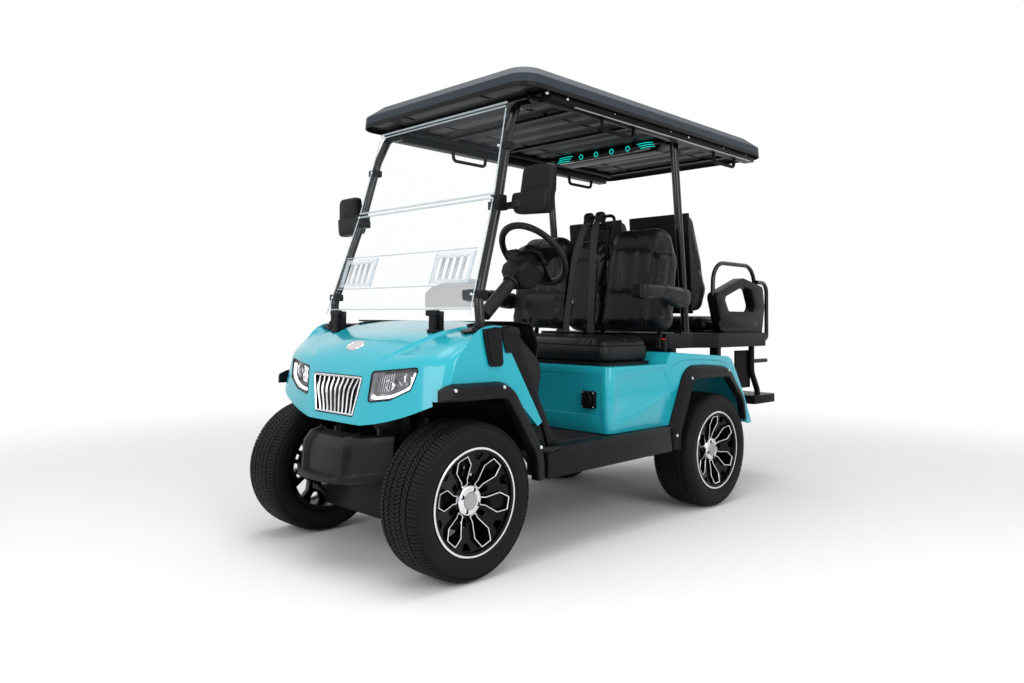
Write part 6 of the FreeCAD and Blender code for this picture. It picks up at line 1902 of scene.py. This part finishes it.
# Front seat backs, each in its own leaning plane: x across, h up the back, d into it
backs = {
    "lean": 7.0,
    "foot": (0.128, 0.887),
    "thickness": 0.115,
    "outer": ((0.122, 0.012, 0.05), (0.540, 0.010, 0.07), (0.547, 0.385, 0.15), (0.480, 0.556, 0.09),
              (0.172, 0.556, 0.09), (0.122, 0.375, 0.14)),
    "middle": ((-0.108, 0.010, 0.04), (0.108, 0.010, 0.04), (0.098, 0.512, 0.05), (-0.098, 0.512, 0.05)),
    "panel": ((0.158, 0.212), (0.406, 0.208, 0.02), (0.440, 0.300, 0.05), (0.438, 0.430, 0.045),
              (0.186, 0.440, 0.045), (0.164, 0.330, 0.05)),
    "channels": (((0.238, 0.214), (0.246, 0.330), (0.240, 0.436)),
                 ((0.252, 0.214), (0.260, 0.330), (0.254, 0.436)),
                 ((0.330, 0.211), (0.344, 0.330), (0.348, 0.434))),
    "lower": ((0.158, 0.212), (0.152, 0.120, 0.05), (0.168, 0.030)),
    "bolster": ((0.406, 0.208), (0.424, 0.120, 0.05), (0.398, 0.030)),
    "shoulder": ((0.438, 0.395), (0.488, 0.404), (0.547, 0.400)),
    "middleSeams": (((-0.075, 0.03), (-0.080, 0.25), (-0.060, 0.39), (0.060, 0.39), (0.080, 0.25),
                     (0.075, 0.03)),
                    ((-0.060, 0.39), (-0.066, 0.515)), ((0.060, 0.39), (0.066, 0.515))),
    "hollow": 0.0065,
    "crease": 0.004,
}


def backPoint(x, h, d):
    lean = math.radians(backs["lean"])
    return Vector((x, backs["foot"][0] + d * math.cos(lean) + h * math.sin(lean),
                   backs["foot"][1] - d * math.sin(lean) + h * math.cos(lean)))


def backPlace(point, normal):
    # the pattern position of a point on the front of a back
    lean = math.radians(backs["lean"])
    y, z = point.y - backs["foot"][0], point.z - backs["foot"][1]
    if -normal.y * math.cos(lean) + normal.z * math.sin(lean) < 0.15:
        return None
    return Vector((point.x, y * math.sin(lean) + z * math.cos(lean)))


def makeBack(name, outline, seams, crown):
    form = bmesh.new()
    levels = ((0.006, 0.050), (0.010, 0.026), (0.022, 0.010), (0.045, 0.003), (0.080, 0.003), (0.100, 0.012),
              (backs["thickness"] - 0.006, 0.030))
    addLoft(form, insetRings(roundedOutline(outline, 0.06, 8), levels,
                             lambda u, v, d: backPoint(u, v, d + crown)))
    thing = puffed(solidFrom(name, form), 0.006, 0.012)
    sewn(thing, seams, backPlace)
    return smooth(thing, 60)


def makeBacks(settings):
    hollow, crease = settings["hollow"], settings["crease"]
    seams = [(flatLine(settings["panel"], 0.03, True), crease, hollow)]
    seams += [(smoothFlat(line), crease * 0.8, hollow * 0.55) for line in settings["channels"]]
    seams += [(flatLine(settings[key]), crease, hollow) for key in ("lower", "bolster", "shoulder")]
    left = makeBack("seatBackLeft", settings["outer"], seams, 0.0)
    right = transformed(left.data, Matrix.Scale(-1, 4, (1, 0, 0)), "seatBackRight")
    middle = makeBack("seatBackMiddle", settings["middle"],
                      [(flatLine(line, 0.04), crease, hollow * 0.8) for line in settings["middleSeams"]], 0.006)
    return left, right, middle


def smoothFlat(points):
    return [Vector((point.x, point.y)) for point in smoothLine([(*point, 0) for point in points], 6)]


# Front cushion: a crowned pad on its board, with a welt where the top meets the boxing
cushion = {
    "low": (-0.492, -0.262),
    "high": (0.492, 0.108),
    "corner": 0.055,
    "levels": ((0.7565, 0.010), (0.762, 0.004), (0.790, 0.0), (0.826, 0.002), (0.842, 0.010), (0.853, 0.028),
               (0.859, 0.060), (0.861, 0.100)),
    "rise": 0.010,
    "welt": 0.836,
}


def makeCushion(settings):
    low, high = settings["low"], settings["high"]
    form = bmesh.new()
    rings = []
    for z, inset in settings["levels"]:
        rise = settings["rise"] * step(0.82, 0.86, z)
        rings.append([Vector((u, v, z + rise * step(low[1], high[1], v)))
                      for u, v in rectangle(low, high, settings["corner"], 8, inset)])
    addLoft(form, rings)
    thing = puffed(solidFrom("frontCushion", form), 0.0066, 0.010)
    level = settings["welt"]

    def around(point, normal):
        return Vector((0.0, point.z)) if abs(point.z - level) < 0.05 else None

    sewn(thing, [([Vector((-1, level)), Vector((1, level))], 0.003, 0.003)], around)
    return smooth(thing, 60)


def surfaceTree(*things):
    form = bmesh.new()
    for thing in things:
        form.from_mesh(thing.data)
    tree = BVHTree.FromBMesh(form)
    form.free()
    return tree


def makeWelt(name, tree, outline, level, centre, radius=0.0026):
    # a piping cord that follows the pad's side at one level
    line = []
    for u, v in outline:
        inward = (Vector((*centre, level)) - Vector((u, v, level))).normalized()
        hit = tree.ray_cast(Vector((u, v, level)) - inward * 0.15, inward)[0]
        if hit:
            line.append(hit + inward * 0.0006)
    form = bmesh.new()
    addTube(form, line, radius, closed=True, count=8)
    return solidFrom(name, form)


# Seat board: the dark tray that the cushion is fixed to, with a rounded rim
def makeBoard(name, low, high, corner, levels):
    form = bmesh.new()
    addLoft(form, [[Vector((u, v, z)) for u, v in rectangle(low, high, corner, 6,
                                                            inset)] for z, inset in levels])
    return solidFrom(name, form, shade=40)


# Armrests: a bulky pad, taller at the rear, with a plain cap at the front end and at the pivot
armrest = {
    "inner": 0.564,
    "width": 0.066,
    "outline": ((-0.148, 1.121, 0.022), (-0.142, 1.052, 0.022), (0.040, 1.046, 0.10), (0.140, 1.016, 0.10),
                (0.246, 1.014, 0.050), (0.262, 1.104, 0.060), (0.050, 1.124, 0.10)),
    "cap": ((-0.164, 1.116, 0.016), (-0.160, 1.056, 0.016), (-0.112, 1.052, 0.01), (-0.112, 1.118, 0.01)),
    "pivot": (0.245, 1.062),
}


def makeArmrest(name, side, settings):
    inner, width = settings["inner"], settings["width"]
    form = bmesh.new()
    outer = inner + width
    levels = ((inner + 0.008, 0.014), (inner + 0.010, 0.005), (inner + 0.018, 0.0), (outer - 0.020, 0.0),
              (outer - 0.010, 0.005), (outer - 0.006, 0.014))
    addLoft(form, insetRings(roundedOutline(settings["outline"], 0.03, 6), levels,
                             lambda u, v, x: Vector((x, u, v))))
    thing = puffed(solidFrom(name, form), 0.004, 0.006)
    seam = smoothFlat(((0.030, 1.135), (0.020, 1.10), (-0.010, 1.055)))

    def flat(point, normal):
        return Vector((point.y, point.z))

    sewn(thing, [(seam, 0.0025, 0.002)], flat)
    form = bmesh.new()
    cap = roundedOutline(settings["cap"], 0.012, 4)
    addLoft(form, [[Vector((x, u, v)) for u, v in cap] for x in (inner + 0.001, inner + width - 0.016)])
    pivotY, pivotZ = settings["pivot"]
    addLoft(form, [[Vector((x, pivotY + u, pivotZ + v)) for u, v in circle(0.024, 24)]
                   for x in (inner - 0.001, inner + 0.014)])
    capPiece = rounded(solidFrom(name + "Cap", form, shade=30), 0.003, 2, 40)
    if side < 0:
        for piece in (thing, capPiece):
            piece.data.transform(Matrix.Scale(-1, 4, (1, 0, 0)))
            piece.data.flip_normals()
    return smooth(thing, 60), capPiece


left, right, middle = makeBacks(backs)
for back in (left, right, middle):
    dressed(back, "chassis", "leather_black", paint["leather"])
    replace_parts(back, "seat_backs")
frontCushion = makeCushion(cushion)
dressed(frontCushion, "front_seat", "leather_black", paint["leather"])
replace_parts(frontCushion, "front_seat")
cushionOutline = rectangle((-0.5, -0.27), (0.5, 0.115), cushion["corner"], 10)
dense = [point for here, there in zip(cushionOutline, cushionOutline[1:] + cushionOutline[:1])
         for point in [(here[0] + (there[0] - here[0]) * k / 8,
                        here[1] + (there[1] - here[1]) * k / 8) for k in range(8)]]
dense = [point for i, point in enumerate(dense) if i == 0 or math.dist(point, dense[i - 1]) > 0.0005]
dressed(makeWelt("cushionWelt", surfaceTree(frontCushion), dense, cushion["welt"], (0, -0.08)), "front_seat",
        "leather_black", paint["leather"])
dressed(makeBoard("seatBoard", (-0.488, -0.266), (0.488, 0.112), 0.05,
                  ((0.7425, 0.004), (0.7445, 0.0), (0.754, 0.0), (0.7575, 0.006))), "front_seat", "trim_black",
        paint["trim"])
for label, side in (("left", 1), ("right", -1)):
    pad, cap = makeArmrest(f"armrest{label.title()}", side, armrest)
    dressed(pad, f"armrest_{label}", "leather_black", paint["leather"])
    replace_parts(pad, f"armrest_{label}")
    dressed(cap, f"armrest_{label}", "trim_black", paint["trim"])
print("stage: front seats padded")


# Belts: webbing from two round reels over the middle back and down to the cushion, and the buckles beside it
belts = {
    "reels": (0.030, 0.078),
    "reelCentre": (0.262, 1.512),
    "reelRadius": 0.030,
    "width": 0.046,
    "thickness": 0.0018,
    "lines": (((-0.034, 0.575), (-0.048, 0.520), (-0.082, 0.350), (-0.100, 0.150), (-0.102, 0.000)),
              ((0.046, 0.575), (0.050, 0.520), (0.062, 0.350), (0.072, 0.150), (0.074, 0.000))),
}


def makeWebbing(settings, tree):
    form = bmesh.new()
    lean = math.radians(backs["lean"])
    facing = Vector((0, math.cos(lean), -math.sin(lean)))
    for place, line in zip((-1, 1), settings["lines"]):
        points = []
        for x, h in smoothFlat(line):
            start = backPoint(x, h, -0.10)
            across = [tree.ray_cast(start + Vector((shift, 0, 0)), facing,
                                    0.16)[0] for shift in (-0.02, 0, 0.02)]
            depths = [(hit - start).dot(facing) for hit in across if hit]
            points.append(start + facing * ((min(depths) if depths else 0.118) - 0.0022))
        # an even fall of the strap, without the dips of the seams
        for i in list(range(1, len(points) - 1)) * 8:
            points[i].y = min(points[i].y, (points[i - 1].y + points[i + 1].y) / 2)
        reelY, reelZ = settings["reelCentre"]
        reelX = settings["reels"][0] * place + (0.008 if place > 0 else -0.004)
        head = [Vector((reelX, reelY - 0.006, reelZ - 0.012)), Vector((reelX, reelY - 0.038, reelZ - 0.040))]
        path = smoothLine(head + points[1:], 2)
        section = bar(settings["width"], settings["thickness"], 0.0006)
        addSweep(form, path, section, up=facing)
    return solidFrom("beltWebbing", form, shade=30)


def makeReels(settings):
    form = bmesh.new()
    y, z = settings["reelCentre"]
    radius = settings["reelRadius"]
    for side in (1, -1):
        x = (settings["reels"][0] + 0.010) * side
        levels = ((-0.020, 0.7), (-0.018, 0.94), (-0.012, 1.0), (0.012, 1.0), (0.018, 0.94), (0.020, 0.7))
        addLoft(form, [[Vector((x + offset, y + u, z + v)) for u, v in circle(radius * share, 28)]
                       for offset, share in levels])
        addBox(form, (x - 0.018, y - 0.030, z - 0.044), (x + 0.018, y + 0.020, z - 0.014))
    # the bracket that carries both reels on the frame's middle tubes
    hoop = roundedPath([(-0.085, 0.300, 1.455), (-0.085, 0.300, 1.520), (0.105, 0.300, 1.520),
                        (0.105, 0.300, 1.455)], 0.035,
                       6, closed=False)
    addTube(form, hoop, 0.009, count=12)
    addBox(form, (-0.078, 0.270, 1.448), (0.078, 0.306, 1.472))
    reels = rounded(solidFrom("beltReels", form, shade=35), 0.003, 2, 50)
    bolts = [((side * x, 0.233, 1.474), (0, -1, 0)) for side in (1, -1) for x in (0.018, 0.058)]
    return reels, bolts


def makeBuckles():
    form = bmesh.new()
    y = 0.190
    addSweep(form, smoothLine([(0.504, y, 0.800), (0.504, y - 0.002, 0.830), (0.504, y - 0.006, 0.860)], 3),
             lambda i: [(v, u) for u, v in bar(0.026, 0.026, 0.006)], up=Vector((0, 1, 0)))
    body = rounded(solidFrom("beltBuckles", form, mirror=True, shade=30), 0.002, 2, 50)
    form = bmesh.new()
    addBox(form, (0.495, y - 0.018, 0.855), (0.513, y + 0.004, 0.8635))
    button = rounded(solidFrom("buckleButtons", form, mirror=True, shade=30), 0.0015, 2, 40)
    return body, button


dressed(makeWebbing(belts, surfaceTree(left, right, middle)), "chassis", "trim_black", paint["webbing"])
reels, reelBolts = makeReels(belts)
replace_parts(dressed(reels, "chassis", "trim_black", paint["trim"]), "seat_belts")
bolted("reelBolts", "chassis", "grille_chrome", paint["chrome"], reelBolts, 0.005, 0.004, 12)
buckles, buttons = makeBuckles()
dressed(buckles, "chassis", "trim_black", paint["trim"])
dressed(buttons, "chassis", "lamp_red", paint["red"])
print("stage: belts made")


# Rear seat: a crowned cushion on its board, and two backs, each a thin shell with a cushion on it
rearSeat = {
    "low": (-0.396, 0.750),
    "high": (0.396, 1.185),
    "corner": 0.05,
    "levels": ((0.8995, 0.010), (0.905, 0.003), (0.925, 0.0), (0.948, 0.002), (0.958, 0.010), (0.966, 0.030),
               (0.970, 0.065)),
    "welt": 0.952,
    "backInner": 0.030,
    "backOuter": 0.421,
    "shell": ((0.530, 1.528), (0.556, 1.250), (0.574, 0.992), (0.588, 0.990), (0.572, 1.250), (0.546, 1.532)),
    "pad": ((0.5460, 1.520, 0.02), (0.5730, 1.250, 0.3), (0.5900, 1.000, 0.02), (0.690, 1.004, 0.05),
            (0.745, 1.110, 0.08), (0.708, 1.290, 0.25), (0.600, 1.530, 0.04)),
}


def makeRearCushion(settings):
    low, high = settings["low"], settings["high"]
    form = bmesh.new()
    addLoft(form, [[Vector((u, v, z)) for u, v in rectangle(low, high, settings["corner"], 8, inset)]
                   for z, inset in settings["levels"]])
    thing = puffed(solidFrom("rearCushion", form), 0.006, 0.010)
    level = settings["welt"]

    def around(point, normal):
        if abs(point.z - level) < 0.04 and abs(normal.z) < 0.9:
            return Vector((0.0, point.z))
        if normal.z > 0.5:
            return Vector((point.x + 5, point.y + 5))
        return None

    top = [[Vector((x + 5, 5.80)), Vector((x + 5, 6.13))] for x in (-0.20, 0.0, 0.20)]
    sewn(thing, [([Vector((-1, level)), Vector((1, level))], 0.003,
                  0.002)] + [(line, 0.003, 0.002) for line in top], around)
    return smooth(thing, 60)


def makeRearBack(settings):
    inner, outer = settings["backInner"], settings["backOuter"]
    form = bmesh.new()
    levels = ((inner + 0.006, 0.026), (inner + 0.010, 0.010), (inner + 0.022, 0.0), (outer - 0.030, 0.0),
              (outer - 0.016, 0.010), (outer - 0.010, 0.026))
    addLoft(form, insetRings(roundedOutline(settings["pad"], 0.04, 8), levels,
                             lambda u, v, x: Vector((x, u, v))))
    thing = puffed(solidFrom("rearBackLeft", form), 0.006, 0.008)
    low, high = 1.120, 1.400
    panel = flatLine(((inner + 0.07, low), (outer - 0.07, low), (outer - 0.07, high), (inner + 0.07, high)),
                     0.05, True)
    channels = [[Vector((x, low)), Vector((x, high))] for x in (inner + 0.145, outer - 0.145)]

    def flat(point, normal):
        return Vector((point.x, point.z)) if normal.y > 0.3 else None

    sewn(thing, [(panel, 0.003, 0.003)] + [(line, 0.0028, 0.002) for line in channels], flat)
    form = bmesh.new()
    shell = settings["shell"]
    rings = []
    for x, inset in ((inner, 0.006), (inner + 0.004, 0.0), (outer - 0.004, 0.0), (outer, 0.006)):
        rings.append([Vector((x, y, z + (inset if z < 1.2 else -inset))) for y, z in shell])
    addLoft(form, rings)
    plate = rounded(solidFrom("rearBackShells", form, mirror=True, shade=35), 0.004, 2, 40)
    return smooth(thing, 60), plate


# Rear armrests: the moulded shape with a raised panel below its window
rearArm = {
    "panel": ((0.810, 0.992), (1.055, 0.990), (1.160, 0.945), (1.135, 0.898), (0.745, 0.898), (0.715, 0.940)),
    "bevel": 0.010,
    "outer": 0.496,
}


def makeRearArms(settings):
    thing = cadCopy("rear_armrests", "rearArmrests", settings["bevel"], 24, 3)
    form = bmesh.new()
    outer = settings["outer"]
    levels = ((outer - 0.010, 0.0), (outer - 0.001, 0.0), (outer + 0.0035, 0.010))
    addLoft(form, insetRings(roundedOutline(settings["panel"], 0.012, 3), levels,
                             lambda u, v, x: Vector((x, u, v))))
    return smooth(thing, 35), rounded(solidFrom("rearArmPanels", form, mirror=True, shade=30), 0.002, 2, 40)


rearCushion = makeRearCushion(rearSeat)
dressed(rearCushion, "rear_seat", "leather_black", paint["leather"])
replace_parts(rearCushion, "rear_seat")
dressed(makeBoard("rearSeatBoard", (-0.404, 0.742), (0.404, 1.255), 0.02,
                  ((0.8865, 0.003), (0.8885, 0.0), (0.897, 0.0), (0.900, 0.004))), "rear_seat", "trim_black",
                  paint["trim"])
rearLeft, shells = makeRearBack(rearSeat)
rearRight = transformed(rearLeft.data, Matrix.Scale(-1, 4, (1, 0, 0)), "rearBackRight")
for back in (rearLeft, rearRight):
    dressed(back, "chassis", "leather_black", paint["leather"])
    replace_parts(back, "rear_seat_backs")
dressed(shells, "chassis", "trim_black", paint["trim"])
rearArms, armPanels = makeRearArms(rearArm)
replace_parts(dressed(rearArms, "chassis", "trim_black", paint["trim"]), "rear_armrests")
dressed(armPanels, "chassis", "trim_black", paint["trim"])
print("stage: rear seats made")


# Roof: bolts along the side beams with a bright steel line on each, a painted highlight along the beam's lower
# edge; ribs under the ceiling, painted lighter than it as painted light; and the sound bar with its lights
roofDetail = {
    "beamX": 0.560,
    "bolts": ((-0.735, 0.0085), (-0.610, 0.0085), (-0.285, 0.005), (0.160, 0.005), (0.318, 0.007),
              (0.660, 0.005), (0.900, 0.005)),
    "boltZ": 1.880,
    # the steel strip that stands for the highlight along the beam's lower edge: start, end and height
    "line": (-0.56, 0.95, 1.8545),
    "ribs": (1.9035, 1.909, -0.80, 0.135, 14),
}
soundBar = {
    "low": 1.852,
    "high": 1.906,
    "front": 0.336,
    "back": 0.455,
    "halfTop": 0.377,
    "halfLow": 0.322,
    "lights": (-0.165, -0.055, 0.055, 0.165),
    "lightRadius": 0.015,
    "stripes": ((0.228, 0.330), (0.240, 0.336), (0.252, 0.342)),
}


def makeBeamPaintedHighlight(settings):
    # a thin steel strip along the beam's lower edge: a painted highlight, standing for the highlight line there
    form = bmesh.new()
    start, end, z = settings["line"]
    x = settings["beamX"]
    addSweep(form, [Vector((x - 0.004, y, z)) for y in (start, end)], bar(0.010, 0.004, 0.001),
             up=Vector((0, 0, 1)))
    return solidFrom("roofBeamLine", form, mirror=True)


def makeRibs(settings):
    low, high, start, pitch, count = settings["ribs"]
    form = bmesh.new()
    for left, right in ((-0.53, -0.28), (-0.25, 0.25), (0.28, 0.53)):
        section = [(start - 0.040, high), (start - 0.030, low), (start + 0.030, low), (start + 0.040, high)]
        addLoft(form, [[Vector((x, y, w)) for y, w in section] for x in (left, left + 0.01, right - 0.01,
                                                                         right)])
    rib = solidFrom("ceilingRib", form)
    # the ribs take the rib finish, painted lighter than the ceiling as painted light
    ribs = rowTree.used("ceilingRibs", pointMesh("ceilingRibs"), Piece=rib, Copies=count, Pitch=(0, pitch, 0),
                        Finish=paint["ceiling"])
    removed(rib)
    return smooth(ribs, 30)


def makeSoundBar(settings):
    low, high, front, back = (settings[key] for key in ("low", "high", "front", "back"))
    top, under = settings["halfTop"], settings["halfLow"]
    form = bmesh.new()
    outline = roundedOutline(((-under, low), (under, low), (top, (low + high) / 2, 0.03), (top, high, 0.01),
                              (-top, high, 0.01), (-top, (low + high) / 2, 0.03)), 0.02, 6)
    centre = Vector((0, (low + high) / 2))
    rings = []
    for y, inset in ((front, 0.010), (front + 0.003, 0.004), (front + 0.010, 0.0), (back - 0.010, 0.0),
                     (back, 0.008)):
        rings.append([Vector((u * (1 - inset / 0.37), y,
                              centre.y + (v - centre.y) * (1 - inset / 0.027))) for u, v in outline])
    addLoft(form, rings)
    case = solidFrom("soundBarCase", form, shade=35)
    form = bmesh.new()
    middle = (low + high) / 2 + 0.003
    for x in settings["lights"]:
        rings = []
        for y, r in ((front - 0.0002, 1.0), (front - 0.0015, 0.94), (front - 0.0015, 0.80),
                     (front - 0.0002, 0.74), (front + 0.004, 0.86)):
            rings.append([Vector((x + u, y, middle + v)) for u, v in circle(settings["lightRadius"] * r, 28)])
        addLoft(form, rings, closed=True)
    for side in (1, -1):
        for i, (start, end) in enumerate(settings["stripes"]):
            z = middle + 0.013 - 0.012 * i
            line = smoothLine([(side * start, front - 0.0006, z),
                               (side * (start + end) / 2, front - 0.0006, z + 0.0015),
                               (side * end, front + 0.0004, z - 0.002)], 4)
            addSweep(form, line, bar(0.0035, 0.003, 0.0008), up=Vector((0, 1, 0)))
    glow = solidFrom("soundBarLights", form)
    form = bmesh.new()
    for x in settings["lights"]:
        addLoft(form, [[Vector((x + u * k, y,
                                middle + v * k)) for u, v in circle(settings["lightRadius"] * 0.62, 24)]
                       for y, k in ((front + 0.002, 1.0), (front - 0.0010, 0.9), (front - 0.0022, 0.45))])
    domes = solidFrom("soundBarSpeakers", form)
    form = bmesh.new()
    line = [Vector((x, front - 0.001, low + 0.006)) for x in (-0.285, 0.285)]
    addSweep(form, line, bar(0.006, 0.005, 0.0015), up=Vector((0, 0, 1)))
    for side in (1, -1):
        addSweep(form, [Vector((side * x, front - 0.002, low + 0.009)) for x in (0.215, 0.318)],
                 bar(0.010, 0.010, 0.003), up=Vector((0, 0, 1)))
    return case, glow, domes, solidFrom("soundBarTrim", form, shade=30)


for i, boltRadius in enumerate((0.0085, 0.005, 0.007)):
    places = [((side * roofDetail["beamX"], y, roofDetail["boltZ"]), (side, 0, 0))
              for y, radius in roofDetail["bolts"] if radius == boltRadius for side in (1, -1)]
    bolted(f"roofBolts{i}", "chassis", "grille_chrome", paint["chrome"], places, boltRadius, boltRadius * 0.6,
           16)
dressed(makeBeamPaintedHighlight(roofDetail), "chassis", "grille_chrome", paint["steel"])
dressed(makeRibs(roofDetail), "chassis", "trim_black")
case, glow, domes, trim = makeSoundBar(soundBar)
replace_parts(dressed(case, "chassis", "trim_black", paint["gloss"]), "sound_bar")
dressed(glow, "chassis", "trim_black", paint["teal"])
dressed(domes, "chassis", "trim_black", paint["tealDome"])
dressed(trim, "chassis", "grille_chrome", paint["steel"])
print("stage: roof made")


plainNodes = {
    # node: (name of the piece, bevel, finish)
    "chassis_frame": ("ladderFrame", 0.002, "frame"),
    "frame_towers": ("frameTowers", 0.002, "frame"),
    "front_suspension": ("frontSuspension", 0.0015, "frame"),
    "rear_axle": ("rearAxle", 0.0015, "frame"),
    "battery_pack": ("batteryPack", 0.004, "battery"),
    "knuckle_left": ("knuckleLeft", 0.0015, "frame"),
    "knuckle_right": ("knuckleRight", 0.0015, "frame"),
    "dashboard": ("dashboard", 0.002, "trim"),
    "floorboard": ("floorboard", 0.003, "trim"),
    "front_posts": ("frontPosts", 0.0, "tube"),
    "rear_posts": ("rearPosts", 0.0, "tube"),
    "roof": ("roofShell", 0.0, "roof"),
    "roof_ceiling": ("roofCeiling", 0.0, "dark"),
    "roof_rails": ("roofRails", 0.001, "frame"),
    "pedals": ("pedals", 0.002, "steel"),
    "seat_back_frame": ("seatBackFrame", 0.001, "frame"),
    "rear_bed": ("rearBed", 0.002, "trim"),
    "rear_hoops": ("rearHoops", 0.0, "tube"),
    "footrest": ("footrest", 0.002, "frame"),
    "tail_lamps": ("tailLamps", 0.002, "red"),
}
bodyOf = {node: body for body, members in frame["record"]["behaviour"]["bodies"].items() for node in members}
slotOf = {row["node"]: row["material_slot"] for row in frame["record"]["subparts"]}
for node, (name, bevel, finishName) in plainNodes.items():
    thing = cadCopy(node, name, bevel, joined=node != "roof")
    if node == "roof":
        # the long flats stay flat and only the narrow bevels between them turn the light
        thing = smooth(rounded(thing, 0.003, 3, 5), 40)
        thing = modified(thing, "WEIGHTED_NORMAL", keep_sharp=True)
    piece = dressed(thing, bodyOf[node], slotOf[node], paint[finishName])
    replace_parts(piece, node)
print("stage: CAD pieces dressed")


# Studio: pale floor, soft lamps and a white surround
studio = {
    "floorRadius": 14.0,
    "floorColour": 0.9,
    "fadeFrom": 2.0,
    "fadeTo": 5.5,
    "ambient": 0.55,
    "lamps": [
        # name, place, aim, size, watts
        ("topBox", (0.3, -0.4, 4.6), (0, -0.1, 0.9), 4.2, 120),
        ("sideBox", (4.6, -1.2, 2.6), (0, 0, 0.8), 2.6, 75),
        ("frontBox", (0.6, -5.2, 2.4), (0, -0.4, 0.8), 2.6, 70),
    ],
}


def makeStudio(settings):
    form = bmesh.new()
    bmesh.ops.create_circle(form, cap_ends=True, segments=96, radius=settings["floorRadius"])
    floor = newObject("studioFloor", meshFrom("studioFloor", form))
    finish = Finish("paleFloor")
    x, y = finish.axes(finish.place())[:2]
    distance = ((x - 0.1) * (x - 0.1) + (y + 0.1) * (y + 0.1)) ** 0.5
    fade = distance.step(settings["fadeFrom"], settings["fadeTo"])
    rays = finish.make("ShaderNodeLightPath", output="Is Camera Ray")
    matte = finish.make("ShaderNodeBsdfDiffuse", None, {"Color": grey(settings["floorColour"])})
    white = finish.make("ShaderNodeEmission", None, {"Color": grey(1), "Strength": 1})
    finish.finishWith(finish.make("ShaderNodeMixShader", None, {0: fade * rays, 1: matte, 2: white}))
    floor.data.materials.append(finish.material)
    world = bpy.data.worlds.new("studioWorld")
    world.use_nodes = True
    scene.world = world
    # full white to the camera, in reflections and through glass; dimmer as light on the model
    air = Graph()
    air.tree = world.node_tree
    air.tree.nodes.clear()
    camera, glossy, through = (air.make("ShaderNodeLightPath", output=f"Is {kind} Ray")
                               for kind in ("Camera", "Glossy", "Transmission"))
    seen = camera.math("MAXIMUM", camera.math("MAXIMUM", camera, glossy), through)
    strength = air.make("ShaderNodeMapRange", None, {"Value": seen, "To Min": settings["ambient"]})
    background = air.make("ShaderNodeBackground", None, {"Color": grey(1), "Strength": strength})
    output = air.tree.nodes.new("ShaderNodeOutputWorld")
    air.tree.links.new(background.socket, output.inputs["Surface"])
    for name, place, aim, size, watts in settings["lamps"]:
        lamp = bpy.data.lights.new(name, "AREA")
        lamp.shape = "SQUARE"
        lamp.size = size
        lamp.energy = watts
        holder = bpy.data.objects.new(name, lamp)
        scene.collection.objects.link(holder)
        direction = Vector(aim) - Vector(place)
        turned = direction.to_track_quat("-Z", "Y").to_matrix().to_4x4()
        holder.matrix_world = Matrix.Translation(place) @ turned
    scene.view_settings.view_transform = "Standard"


makeStudio(studio)
print("stage: studio ready")
